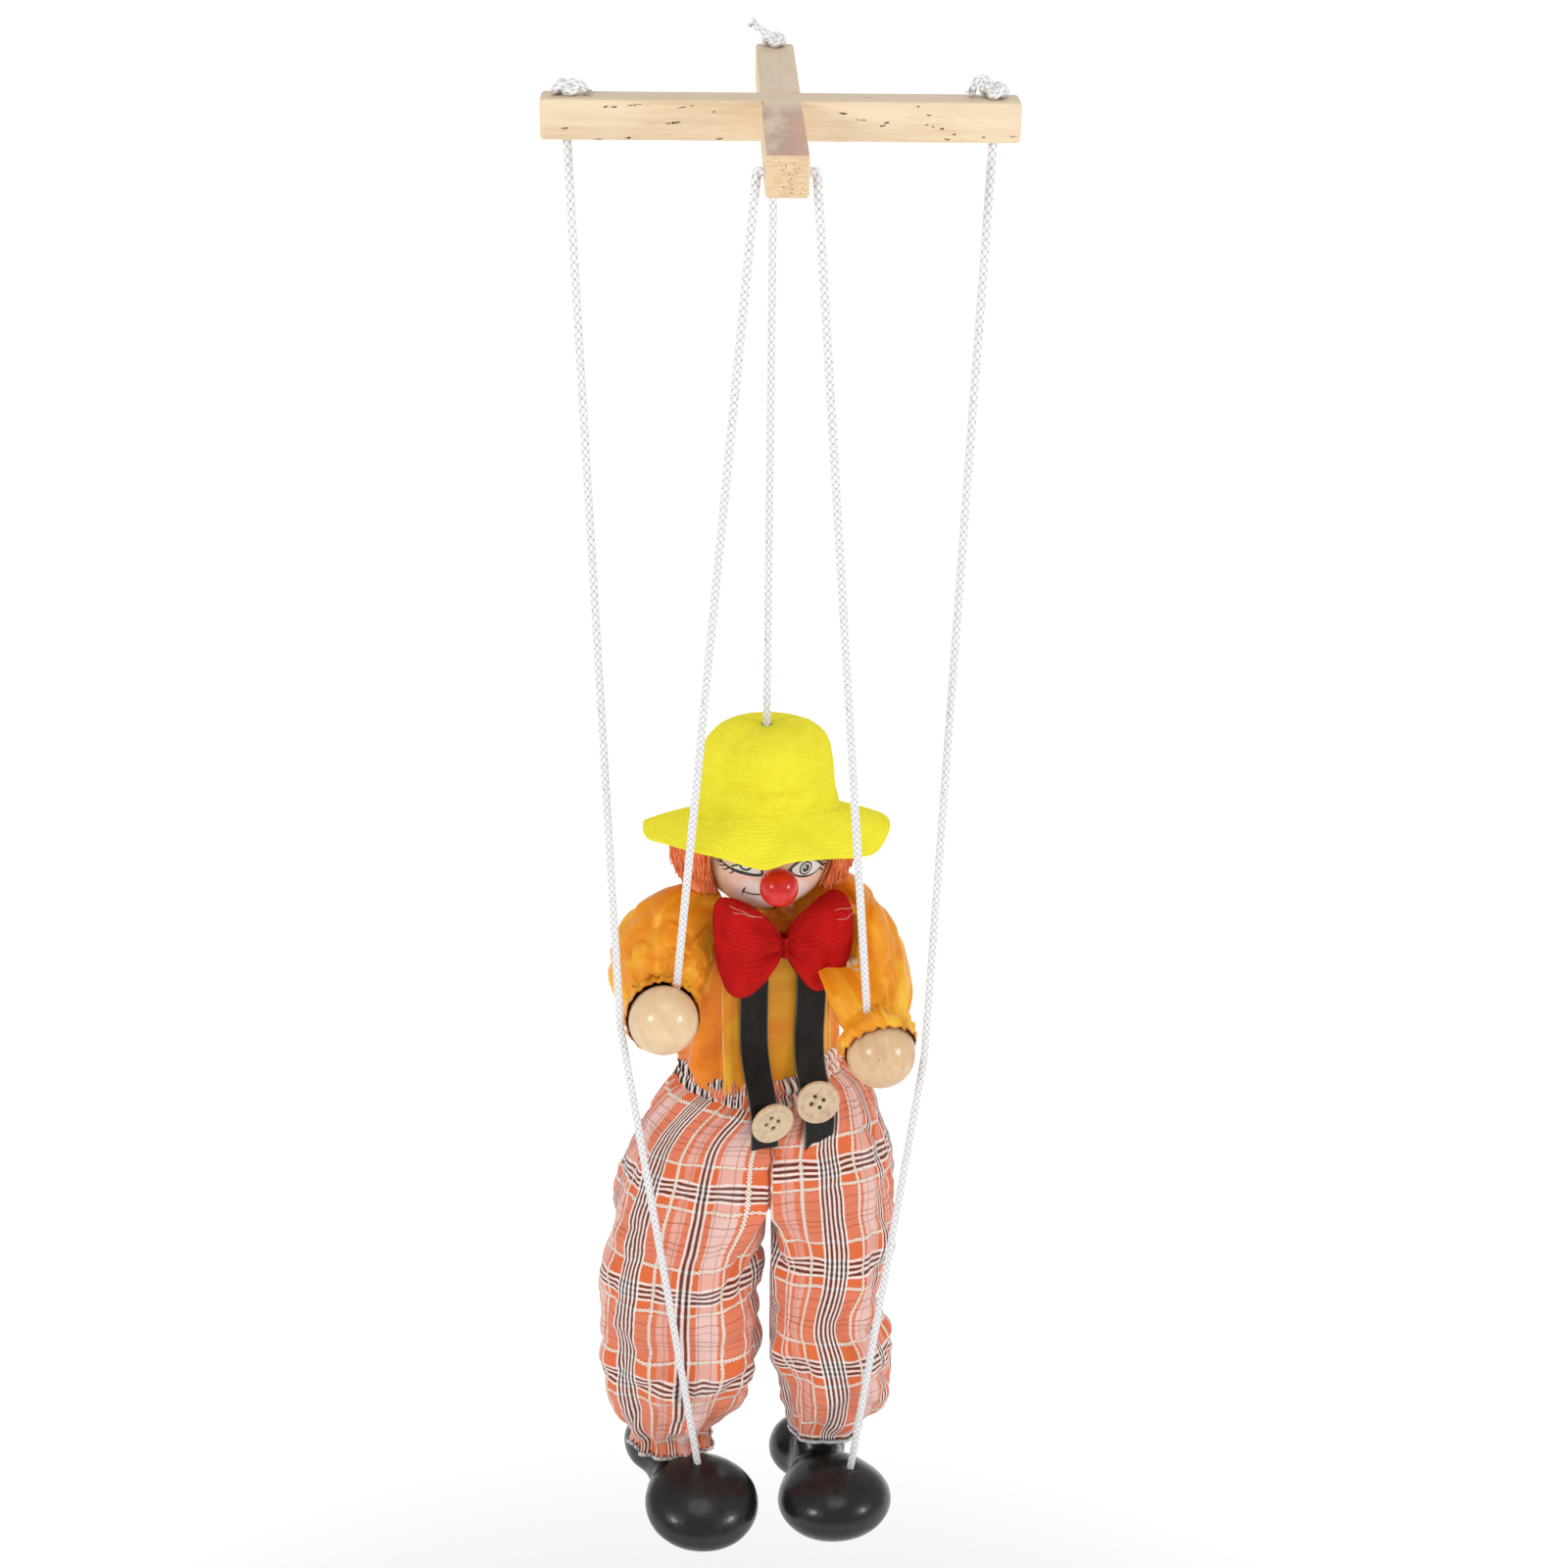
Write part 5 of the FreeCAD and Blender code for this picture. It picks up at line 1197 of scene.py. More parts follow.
def bow_wing(side, top, low, name):
    """One wing: outline curves from the gather (0) outwards (1), in the trunk's (u, z)."""
    nt, ns = 54, 96
    t = np.linspace(0, 1, nt)
    tp = catmull(np.linspace(0, 1, len(top)), top, t)
    lw = catmull(np.linspace(0, 1, len(low)), low, t)
    a = np.linspace(0, 2 * math.pi, ns, endpoint=False)
    # section: a flattened loop from the low edge over the front to the top edge and back behind
    s = 0.5 - 0.5 * np.cos(a)                 # 0 low, 1 top
    front = np.sin(a)                         # + in front, - behind
    T, S = t[:, None], s[None]
    UVp = lw[:, None] + (tp - lw)[:, None] * S[..., None]
    puff = (1.2 + 6.0 * np.sin(np.clip(T, 0, 1) ** 0.8 * math.pi) ** 0.9) * (1 - 0.35 * T)
    closing = np.sqrt(np.clip(1 - smooth(0.80, 1.0, T) ** 2, 0.02, 1))
    w = -np.abs(front)[None] ** 0.75 * np.sign(front)[None] * puff * closing
    w = np.where(w < 0, w * 0.95, w * 0.45)
    # folds fan out of the gather
    fan = (S - 0.5) * 2
    depth = (1 - smooth(0.10, 0.95, T)) * smooth(0.0, 0.10, T)
    fold = np.sin(fan * 8.0 + 0.7 * side) * 1.5 + np.sin(fan * 15.0 + 1.0) * 0.45
    w = w + np.where(front[None] > 0, -1, 0.5) * fold * depth
    for c0, wd, dp, reach in ((0.02 * side, 0.085, 2.6, 0.62), (-0.42, 0.10, 1.8, 0.50), (0.44, 0.10, 1.8, 0.55), (-0.16, 0.05, 0.8, 0.85)):
        crease = np.exp(-((fan - c0 * (1 - 0.3 * T)) / wd) ** 2) * (1 - smooth(0.18, reach, T)) * smooth(0.0, 0.08, T)
        w = w + np.where(front[None] > 0, 1, 0) * crease * dp
    # the outer edge's pull-in at its middle is multiplied by zero, so it has no effect
    u = UVp[..., 0] - side * 1.6 * smooth(0.75, 1.0, T) * np.cos(fan * 1.6) * 0
    P = T0 + BU * u[..., None] + BV * (-19.6 + w)[..., None] + ZZ * UVp[..., 1][..., None]
    bend = np.maximum(0, u - 16.0)[..., None] * (side > 0) * 0.8
    P = P - BV * bend + ZZ * (0.46 * bend) - BU * (0.31 * bend)
    n = fbm(P * 0.13 + side * 9, 3)
    P = P - BV * (n * 0.9 * smooth(0.0, 0.3, T))[..., None] + ZZ * (noise(P * 0.11) * 0.8 * T)[..., None]
    width = np.linalg.norm(tp - lw, axis=1)
    V_ = np.concatenate([t * 27.0])[:, None] * np.ones(ns + 1)
    U = (np.linspace(0, 2, ns + 1)[None] * 34.0) * np.ones((nt, 1))
    return P, np.stack([V_, U], -1)


left_top = [(-0.6, -297.2), (-4.6, -291.0), (-11.0, -284.6), (-17.2, -280.2), (-22.6, -278.6), (-25.6, -281.6)]
left_low = [(-0.6, -304.6), (-5.0, -311.7), (-10.0, -317.6), (-15.4, -319.4), (-20.4, -316.2), (-23.6, -307.5)]
right_top = [(1.0, -297.2), (5.4, -291.6), (11.0, -286.4), (17.6, -282.2), (22.2, -283.6), (25.0, -289.4)]
right_low = [(1.0, -305.2), (5.3, -312.9), (10.8, -320.2), (16.4, -321.0), (21.2, -316.6), (24.8, -309.0)]
bows = []
for side, top, low, name in ((-1, left_top, left_low, "bow_wing_left"), (1, right_top, right_low, "bow_wing_right")):
    P, UV = bow_wing(side, top, low, name)
    P0 = P[-1].mean(0)
    # close the outer end
    nt, ns = P.shape[:2]
    k = np.array([0.75, 0.45, 0.15])[:, None, None]
    out_dir = BU * side
    ends = P0[None, None] + (P[-1][None] - P0) * k + out_dir * np.array([0.5, 0.8, 0.95])[:, None, None]
    P = np.concatenate([P, ends])
    UV = np.concatenate([UV, UV[-1:] + np.array([0.5, 0]), UV[-1:] + np.array([1.0, 0]), UV[-1:] + np.array([1.5, 0])])
    o = surface(name, P, UV, True, BOW_KNIT, flip=(side < 0))
    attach(o, "trunk")
    if side < 0:
        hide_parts("bow_tie")
    bows.append((o, P))
    fibres(P, 1500, 0.6, 0.03, 40 + side, (4, nt), BOW_FUZZ, name + "_nap", "trunk", P.reshape(-1, 3).mean(0))

stitches = []
for u0, z0, u1, z1, seed in ((-20.5, -281.2, -9.0, -287.2, 1), (-19.5, -283.4, -12.0, -286.6, 2), (17.0, -287.4, 25.4, -285.4, 3), (18.0, -290.2, 24.0, -288.0, 4)):
    rr = np.random.RandomState(50 + seed)
    k = np.linspace(0, 1, 14)
    wig = np.cumsum(rr.normal(size=(14, 2)), 0) * 0.16
    P_b = bows[0 if u0 < 0 else 1][1].reshape(-1, 3)
    uu = ((P_b - T0) * BU).sum(-1)
    line = []
    for i, kk in enumerate(k):
        uq, zq = u0 + (u1 - u0) * kk + wig[i, 0], z0 + (z1 - z0) * kk + wig[i, 1]
        near = np.argsort((uu - uq) ** 2 + (P_b[:, 2] - zq) ** 2)[:14]
        wq = ((P_b[near] - T0) * BV).sum(-1).min()
        line.append(T0 + BU * uq + BV * (wq - 0.12) + ZZ * zq)
    v, f, u = tube(np.array(line), 0.14, 5)
    stitches.append((v, f, u, 0))
o = joined("bow_stitches", stitches, [PINK_THREAD])
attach(o, "trunk")

# the middle is drawn together with a narrow wrap
a = np.linspace(0, 2 * math.pi, 40, endpoint=False)
h = np.linspace(-1, 1, 15)
P = np.zeros((15, 40, 3))
for i, hh in enumerate(h):
    ru = 1.25 * (1 - 0.12 * math.cos(hh * 3)) + 0.2 * np.sin(a * 6)
    rw = 2.5 + 0.3 * np.sin(a * 7 + 1)
    P[i] = (T0 + BU * (0.4 + ru * np.cos(a))[:, None] + BV * (-19.6 + rw * np.sin(a))[:, None] + ZZ * (-301.3 + hh * 3.9))
o = surface("bow_wrap", P, np.stack(np.meshgrid(np.linspace(0, 12, 41), h * 4), -1), True, BOW_KNIT)
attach(o, "trunk")

# ------------------------------------------------------------------ shirt


def clear_of(P, a, b, dist, push):
    """Moves points that are nearer than dist to the line a-b along push until they are clear."""
    a, b = np.asarray(a, float), np.asarray(b, float)
    d = unit(b - a)
    ln = np.linalg.norm(b - a)
    for _ in range(3):
        rel = P - a
        t = np.clip((rel * d).sum(-1), 0, ln)
        near = a + t[..., None] * d
        off = P - near
        dist_now = np.linalg.norm(off, axis=-1)
        # signed: in front of the string counts as negative
        side = (off * push).sum(-1)
        lateral = off - push * side[..., None]
        lat = np.linalg.norm(lateral - d * (lateral * d).sum(-1)[..., None], axis=-1)
        need = np.sqrt(np.maximum(0, dist ** 2 - np.minimum(lat, dist) ** 2))
        move = np.where(lat < dist, np.maximum(0, need - side), 0)
        P = P + push * move[..., None]
    return P


def torso():
    nphi, nz = 170, 90
    q = np.linspace(0, 1, nphi, endpoint=False)
    zs = [-296.6, -298.4, -303, -312, -322, -332, -342, -351, -358, -363.5]
    # half width to the left, to the right, front, back
    wl = [13.5, 19.0, 24.0, 25.8, 26.5, 27.6, 29.4, 31.0, 28.0, 22.5]
    wr = [13.5, 19.0, 24.0, 25.4, 25.6, 25.9, 26.4, 26.6, 25.0, 22.0]
    fr = [8.5, 12.4, 13.5, 13.6, 13.7, 13.9, 14.6, 16.4, 17.8, 16.8]
    bk = [8.5, 12.6, 14.6, 15.6, 16.2, 16.8, 17.2, 17.6, 17.2, 16.0]
    z = np.linspace(0, 1, nz)
    Z_ = catmull(np.linspace(0, 1, len(zs)), zs, z)
    WL, WR, FR, BK = [np.interp(Z_, zs[::-1], k[::-1]) for k in (wl, wr, fr, bk)]
    ang = q * 2 * math.pi
    P = np.zeros((nz, nphi, 3))
    for i in range(nz):
        c, s = np.cos(ang), np.sin(ang)
        e = 0.50
        u = np.sign(c) * np.abs(c) ** e
        w = np.sign(s) * np.abs(s) ** (e + 0.12)
        u = np.where(u < 0, u * WL[i], u * WR[i])
        w = np.where(w < 0, w * FR[i], w * BK[i])
        P[i] = T0 + BU * u[:, None] + BV * w[:, None] + ZZ * Z_[i]
    n_out = P - (T0 + ZZ * P[..., 2:3])
    n_out[..., 2] = 0
    n_out /= np.linalg.norm(n_out, axis=-1)[..., None]
    u = ((P - T0) * BU).sum(-1)
    w = ((P - T0) * BV).sum(-1)
    # soft upright folds at the sides and back; the front lies on the block
    free = np.clip(smooth(18, 23, np.abs(u)) + smooth(-6, 6, w), 0, 1)
    hang = smooth(-300, -340, P[..., 2])
    an = np.arctan2(w / 15, u / 25)
    f = np.sin(an * 9 + 0.8 * np.sin(P[..., 2] * 0.07)) * 1.0 + 1.3 * noise(np.stack([an * 2.2, P[..., 2] * 0.03, an * 0], -1))
    P = P + n_out * (free * hang * f * 1.0)[..., None]
    # two shallow vertical tucks in front
    tuck = 0.8 * np.exp(-((u + 21.6) / 1.3) ** 2) + 0.8 * np.exp(-((u - 1.2) / 1.9) ** 2) + 0.8 * np.exp(-((u - 22.4) / 1.2) ** 2) + 0.5 * np.exp(-((u + 15.8) / 1.0) ** 2)
    P = P + BV * (np.where(w < 0, tuck, 0) * 0.75 * hang)[..., None]
    swell = np.exp(-((u + 18.3) / 2.4) ** 2) + 0.6 * np.exp(-((u - 19.2) / 2.0) ** 2)
    P = P - BV * (np.where(w < 0, swell, 0) * 0.5 * hang)[..., None]
    P = P + n_out * (0.35 * fbm(P * 0.08, 3) * smooth(-299, -306, P[..., 2]))[..., None]
    U = np.broadcast_to(np.linspace(0, 120, nphi + 1)[None], (nz, nphi + 1))
    V_ = np.broadcast_to((-296.6 - Z_)[:, None], (nz, nphi + 1))
    return P, np.stack([U, V_], -1)


P, UV = torso()
shirt = surface("shirt_torso", P, UV, True, SATIN_FRONT_SHADED, flip=True)
shirt.data.materials.append(SATIN_DARK)
cols = P.shape[1]
u_of = ((P - T0) * BU).sum(-1)
w_of = ((P - T0) * BV).sum(-1)
mid_u = (u_of[:-1] + np.roll(u_of, -1, 1)[:-1]) / 2
mid_w = (w_of[:-1] + np.roll(w_of, -1, 1)[:-1]) / 2
# painted shade: the shirt's side faces take the darker shade copy of the satin
shaded_side = ((mid_w < 0) & ((mid_u < -19.9) | (mid_u > 21.0))) | ((mid_w >= 0) & (np.abs(mid_u) > 20))
shirt.data.polygons.foreach_set("material_index", shaded_side.ravel().astype(np.int32))
piping = []
for u0 in (-19.7, 20.8):
    line = []
    for i in range(3, P.shape[0] - 4):
        row_u, row_w, row = u_of[i], w_of[i], P[i]
        ok = row_w < -2
        j = np.argmin(np.where(ok, np.abs(row_u - u0), 99))
        if abs(row_u[j] - u0) < 1.6:
            line.append(T0 + BU * u0 + BV * (row_w[j] - 0.12) + ZZ * row[j, 2])
    if len(line) > 8:
        line = np.array(line)
        line = np.array([line[max(0, k - 3):k + 4].mean(0) for k in range(len(line))])
        piping.append((*tube(line, 0.34, 7), 0))
PIPING = satin("pale_piping", (0.93, 0.66, 0.20), (0.86, 0.52, 0.10))
o = joined("shirt_piping", piping, [PIPING])
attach(o, "trunk")
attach(shirt, "trunk")
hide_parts("shirt_body")


def polyline(points, n):
    p = np.asarray(points, float)
    d = np.concatenate([[0], np.cumsum(np.linalg.norm(np.diff(p, axis=0), axis=1))])
    s = np.linspace(0, d[-1], n)
    return catmull(d, p, s), s


def sleeve(side, S, sx):
    """One puffed tube from the shoulder over the bent elbow to the wrist, drawn in there, with a frill over the ball."""
    sh, el, ha = S["shoulder"], S["elbow"], S["hand"]
    back_dir = unit(el - ha)
    if side == "left":
        pts = [(-17.5, 73.0, -297.0), (-26.5, 69.0, -297.5), (-33.5, 63.5, -302.5), (-37.2, 55.5, -309.0), (-37.4, 47.5, -312.6), (-36.6, 40.6, -313.6), (-36.1, 36.6, -313.4)]
        rad = [12.0, 14.2, 16.6, 16.8, 15.2, 11.3, 11.8]
        lift = 0.5
    else:
        pts = [(16.5, 84.0, -297.0), (24.6, 79.0, -296.5), (30.4, 69.0, -301.5), (34.2, 58.5, -309.6), (37.0, 47.5, -317.2), (38.6, 38.8, -321.6), (39.2, 34.8, -323.4)]
        rad = [12.0, 13.6, 14.8, 14.8, 14.2, 11.3, 11.8]
        lift = 0.5
    pts = np.array(pts, float)
    d = np.concatenate([[0], np.cumsum(np.linalg.norm(np.diff(pts, axis=0), axis=1))])
    n, seg = 128, 132
    s = np.linspace(0, d[-1], n)
    line = catmull(d, pts, s)
    R = catmull(d, rad, s)
    t, _, _ = frames_along(line)
    th = np.linspace(0, 2 * math.pi, seg, endpoint=False)
    ref = np.broadcast_to(A(0, -0.35, 1.0), t.shape)
    b = ref - t * (ref * t).sum(1)[:, None]
    b /= np.linalg.norm(b, axis=1)[:, None]
    a = np.cross(b, t)
    K = s / s[-1]
    KK = K[:, None]
    g = smooth(0.66, 0.92, K)[:, None]
    rr = np.random.RandomState(5 if side == "left" else 16)
    ph = rr.uniform(0, 6, 8)
    T_ = th[None] + 0 * KK

    def nz(f1, f2, k):
        return noise(np.stack([np.cos(T_) * f1 + ph[k], np.sin(T_) * f1 + 0 * KK, KK * f2 + ph[k + 1] + 0 * T_], -1))

    r = R[:, None] + 2.3 * nz(1.3, 3.0, 0) * (1 - g)
    # long satin folds run down the sleeve and lean round it, with sharp edges between
    lean = T_ + 1.3 * KK + 0.5 * nz(0.8, 2.0, 2)
    waves = np.abs(np.sin(lean * 2.5 + ph[4]))
    r = r + 2.0 * (waves ** 0.7 - 0.6) * smooth(0.12, 0.5, KK) * (1 - 0.55 * g)
    r = r + 0.9 * (np.abs(np.sin(lean * 5.5 + ph[5])) ** 0.6 - 0.6) * smooth(0.4, 0.8, KK)
    r = r - 1.6 * np.clip(0.16 - np.abs(nz(1.6, 3.4, 5)), 0, 1) / 0.16 * smooth(0.05, 0.3, KK) * (1 - g)
    gather = np.sin(T_ * 14 + 1.2 * np.sin(T_ * 3 + ph[6])) * 0.62 + np.sin(T_ * 25 + ph[7]) * 0.28
    r = r + gather * g
    r = r - 0.9 * np.exp(-((K - 0.93) / 0.020) ** 2)[:, None]
    P = line[:, None] + r[..., None] * (np.cos(th)[None, :, None] * b[:, None] + np.sin(th)[None, :, None] * a[:, None])
    # the frill lies over the back of the ball
    cen = ha + ZZ * lift
    fwd_ = -back_dir
    last = P[-1] - cen
    radial = last - back_dir * (last @ back_dir)[:, None]
    radial /= np.linalg.norm(radial, axis=1)[:, None]
    frill = (np.sin(th * 17 + 1.8 * np.sin(th * 2)) + 0.5 * np.sin(th * 29 + 1))[:, None]
    extra = []
    for k, (bk, rd) in enumerate(((7.4, 12.6), (5.6, 13.6), (3.6, 13.5), (1.4, 12.75))):
        extra.append(cen + back_dir * (bk + 0.45 * frill * (k + 1) / 4) + radial * (rd + (0.5, 0.6, 0.35, 0.12)[k] * frill))
    P = np.concatenate([P, np.array(extra)])
    s = np.concatenate([s, s[-1] + np.array([1.8, 3.5, 5.2, 6.9])])
    # the armhole end is closed against the shirt's side
    c0 = P[0].mean(0)
    cap = [c0 + (P[0] - c0) * k - t[0] * (1 - k) * 2.0 for k in (0.04, 0.35, 0.65, 0.88)]
    P = np.concatenate([np.array(cap), P])
    s = np.concatenate([[-9.0, -6.5, -4.0, -1.6], s])
    U = np.broadcast_to(np.linspace(0, 92, seg + 1)[None], (len(s), seg + 1))
    V_ = np.broadcast_to(s[:, None], (len(s), seg + 1))
    return P, np.stack([U, V_], -1), s


def hem_stitch(ring, inward_dir, n, length, radius, seed, closed=True):
    """Overlock thread along an edge: short slanting loops over it."""
    rr = np.random.RandomState(seed)
    ring = np.asarray(ring, float)
    loop = np.concatenate([ring, ring[:1]]) if closed else ring
    d = np.concatenate([[0], np.cumsum(np.linalg.norm(np.diff(loop, axis=0), axis=1))])
    s = np.linspace(0, d[-1], n)
    c = np.stack([np.interp(s, d, loop[:, i]) for i in range(3)], 1)
    inner = np.stack([np.interp(s, d, np.concatenate([inward_dir, inward_dir[:1]])[:, i]) for i in range(3)], 1)
    cen = ring.mean(0)
    out = c - cen
    out -= inner * (out * inner).sum(1)[:, None] / np.maximum((inner ** 2).sum(1)[:, None], 1e-9)
    out /= np.linalg.norm(out, axis=1)[:, None]
    parts = []
    for i in range(n - 1):
        k = length * rr.uniform(0.75, 1.15)
        nd = unit(inner[i])
        a0 = c[i] + nd * k + out[i] * 0.14
        m0 = (c[i] + c[i + 1]) / 2 - nd * 0.25 + out[i] * 0.28
        b0 = c[i + 1] + nd * k + out[i] * 0.14
        parts.append((*tube(np.array([a0, (a0 + m0) / 2 + out[i] * 0.14, m0, (b0 + m0) / 2 + out[i] * 0.14, b0]), radius, 5), 0))
    return parts


HEMS = {}
for side, S, sx in (("left", LEFT, -1), ("right", RIGHT, 1)):
    P, UV, s = sleeve(side, S, sx)
    sh, el, ha = S["shoulder"], S["elbow"], S["hand"]
    # over the ball, the arm's wood and its pins
    for a0, b0, end in ((sh + (el - sh) * 0.3, el, 1.0), (el, ha, 0.55)):
        ax = unit(b0 - a0)
        tt = np.clip(((P - a0) * ax).sum(-1), 0, np.linalg.norm(b0 - a0) * end)
        near = a0 + tt[..., None] * ax
        off = P - near
        on = np.linalg.norm(off, axis=-1)
        P = near + off * (np.maximum(on, 6.6) / np.maximum(on, 0.5))[..., None]
    d = P - ha
    dn = np.linalg.norm(d, axis=-1)
    P = ha + d * (np.maximum(dn, 12.45) / dn)[..., None]
    # clear of the string that goes into the hand
    dd = unit(S["hand_top"] - S["hand_end"])
    rel = P - S["hand_end"]
    tt = (rel * dd).sum(-1)
    off = rel - dd * tt[..., None]
    on = np.linalg.norm(off, axis=-1)
    k = np.where((tt > -4) & (on < 2.1), 2.1 / np.maximum(on, 0.4), 1.0)
    P = S["hand_end"] + dd * tt[..., None] + off * k[..., None]
    # behind the bow's wing
    u_ = ((P - T0) * BU).sum(-1)
    w_ = ((P - T0) * BV).sum(-1)
    inside = smooth(27.0, 25.8, np.abs(u_)) * smooth(-313, -308, P[..., 2])
    lim_w = -15.2 - (1.0 if side == "right" else 0.0) * np.maximum(0, u_ - 16.0)
    P = P + BV * (np.maximum(0, lim_w - w_) * inside)[..., None]
    cut = int(np.searchsorted(s / s[-5], 0.40))
    up = surface("sleeve_upper_" + side, P[:cut + 1], UV[:cut + 1], True, SATIN)
    lo = surface("sleeve_lower_" + side, P[cut:], UV[cut:], True, SATIN)
    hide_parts(side + "_sleeve_upper")
    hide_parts(side + "_sleeve_lower")
    for o in (up, lo):
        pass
    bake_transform(up)
    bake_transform(lo)
    o = joined("cuff_stitch_" + side, hem_stitch(P[-1], P[-3] - P[-1], 70, 0.7, 0.07, 3), [ORANGE_THREAD])
    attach(o, side + "_forearm")
    HEMS[side] = P[-1]

# ------------------------------------------------------------------ hands and limbs
for side in ("left", "right"):
    paint(side + "_hand", HAND_WOOD if side == "left" else HAND_WOOD_R)
    for n in ("_upper_arm", "_forearm", "_thigh", "_shin"):
        paint(side + n, INNER_WOOD)
    for n in ("_shoulder_pin", "_elbow_pin", "_hip_pin", "_knee_pin", "_ankle_pin"):
        paint(side + n, STEEL)
paint("trunk_block", INNER_WOOD)



def shoe(side, toe, yaw_deg, lift_deg, S):
    """Big round toe and a small round heel, run into each other with a crease between; lacquered in one skin."""
    a = math.radians(yaw_deg)
    along = A(math.sin(a), -math.cos(a), 0)           # from heel to toe
    lat = A(math.cos(a), math.sin(a), 0)
    e = math.radians(lift_deg)
    fw = along * math.cos(e) - ZZ * math.sin(e)
    upn = unit(np.cross(lat, fw))
    upn = upn if upn[2] > 0 else -upn
    toe = A(*toe)
    heel = toe - fw * 37.5 - (upn * 4.5 + lat * 1.5) * (1.0 if side == "left" else 0.0)
    rise, flat = (2.3, 0.93) if side == "left" else (0.0, 1.0)
    balls = [(toe + fw * 0.3 + upn * (rise - 0.6), (21.4, 20.8, 13.4 * flat)), (toe - fw * 9.0 + upn * (-1.4 if side == "left" else 0.2), (16.0, 14.5, 10.6 if side == "left" else 11.4)),
             (heel + upn * 0.4, (14.8, 14.6, 12.4)), (heel + fw * 14.0 + upn * (-0.6 if side == "left" else 0.8), (10.5, 11.5, 11.2)),
             (S["ankle"] * 0.45 + (heel + fw * 11.0) * 0.55 + upn * 0.6, (8.6, 8.6, 7.4))]

    def field(p):
        out = None
        for c, (rl, rf, ru) in balls:
            q = p - c
            k = np.sqrt(((q @ lat) / rl) ** 2 + ((q @ fw) / rf) ** 2 + ((q @ upn) / ru) ** 2)
            d_ = (k - 1) * min(rl, rf, ru)
            if out is None:
                out = d_
            else:
                h = np.clip(0.5 + 0.5 * (out - d_) / 2.6, 0, 1)
                out = out * (1 - h) + d_ * h - 2.6 * h * (1 - h)
        return out

    c0 = (toe * 0.45 + heel * 0.55) + upn * 0.5
    nu_, nv_ = 150, 96
    lon = np.linspace(0, 2 * math.pi, nu_, endpoint=False)
    # poles at the two sides, so that both lobes get even rows
    lat_a = np.linspace(0.01, math.pi - 0.01, nv_)
    D = (np.cos(lat_a)[:, None, None] * lat + np.sin(lat_a)[:, None, None] * (np.cos(lon)[None, :, None] * fw + np.sin(lon)[None, :, None] * upn))
    r = np.full((nv_, nu_), 2.0)
    best = np.full((nv_, nu_), 2.0)
    for k in np.arange(2.0, 48.0, 0.4):
        f_ = field(c0 + D * k)
        best = np.where(f_ < 0, k, best)
    lo_, hi_ = best.copy(), best + 0.4
    for _ in range(7):
        m_ = (lo_ + hi_) / 2
        f_ = field(c0 + D * m_[..., None])
        lo_ = np.where(f_ < 0, m_, lo_)
        hi_ = np.where(f_ < 0, hi_, m_)
    for _ in range(2):
        lo_ = (np.roll(lo_, 1, 1) + 2 * lo_ + np.roll(lo_, -1, 1)) / 4
        lo_[1:-1] = (lo_[:-2] + 2 * lo_[1:-1] + lo_[2:]) / 4
    P = c0 + D * lo_[..., None]
    # a flat sole
    h_ = (P - toe) @ upn
    P = P + upn * (np.maximum(0, -10.6 + (1.6 if side == "left" else 0.0) - h_) * 0.82)[..., None]
    P = P + D * (0.25 * fbm(P * 0.06, 3))[..., None]
    # a small dimple where the string goes in
    ent = S["foot_end"] + unit(S["meet"] - S["foot_end"]) * 5.2
    dist = np.linalg.norm(P - ent, axis=-1)
    P = P - upn * (1.0 * np.exp(-(dist / 2.3) ** 2))[..., None]
    o = surface("shoe_" + side, P, None, True, LACQUER)
    me = o.data
    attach(o, side + "_shoe")
    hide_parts(side + "_shoe")
    return P


shoe("left", (-22.0, 35.0, -526.0), 21.0, 13.0, LEFT)
shoe("right", (28.0, 39.5, -526.0), 14.0, -6.0, RIGHT)

# ------------------------------------------------------------------ braces and buttons


def ribbon(name, node, pts, width, seed, end_cut):
    """pts: rows of (u, w, z, lean) down the middle of the ribbon."""
    pts = np.asarray(pts, float)
    d = np.concatenate([[0], np.cumsum(np.linalg.norm(np.diff(pts[:, :3], axis=0), axis=1))])
    n = 90
    s = np.linspace(0, d[-1], n)
    c = catmull(d, pts, s)
    nu = 13
    k = np.linspace(-1, 1, nu)
    P = np.zeros((n, nu, 3))
    for i in range(n):
        hw = width / 2
        cup = -0.25 * (k ** 2)
        u = c[i, 0] + k * hw * math.cos(c[i, 3])
        w = c[i, 1] + cup + 0.25 * noise(np.stack([k * 0.5, 0 * k + s[i] * 0.06, 0 * k + seed], -1)) * 2
        z = c[i, 2] + k * hw * math.sin(c[i, 3]) + (end_cut * k * hw * smooth(0.8, 1.0, s[i] / s[-1]))
        P[i] = T0 + BU * u[:, None] + BV * w[:, None] + ZZ * z[:, None]
    back = P + BV * 0.55
    loop = np.concatenate([P, back[:, ::-1]], 1)
    UVf = np.stack(np.broadcast_arrays((k[None] + 1) / 2, s[:, None]), -1)
    UVl = np.concatenate([UVf, UVf[:, ::-1], UVf[:, :1]], 1)
    v, (q, kk) = loop.reshape(-1, 3), grid_faces(n, 2 * nu, True)
    uvs = UVl[kk[..., 0], kk[..., 1]].reshape(-1, 2)
    faces = q.tolist()
    for r in (0, n - 1):
        b = r * 2 * nu
        for j in range(nu - 1):
            faces.append([b + j, b + 2 * nu - 1 - j, b + 2 * nu - 2 - j, b + j + 1])
    uvs = np.concatenate([uvs, np.tile([[0.5, 0.0]], (len(faces) * 4 - len(uvs), 1))])
    o = add_mesh(name, v, faces, uvs, RIBBON)
    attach(o, "trunk")
    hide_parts(node)
    return o


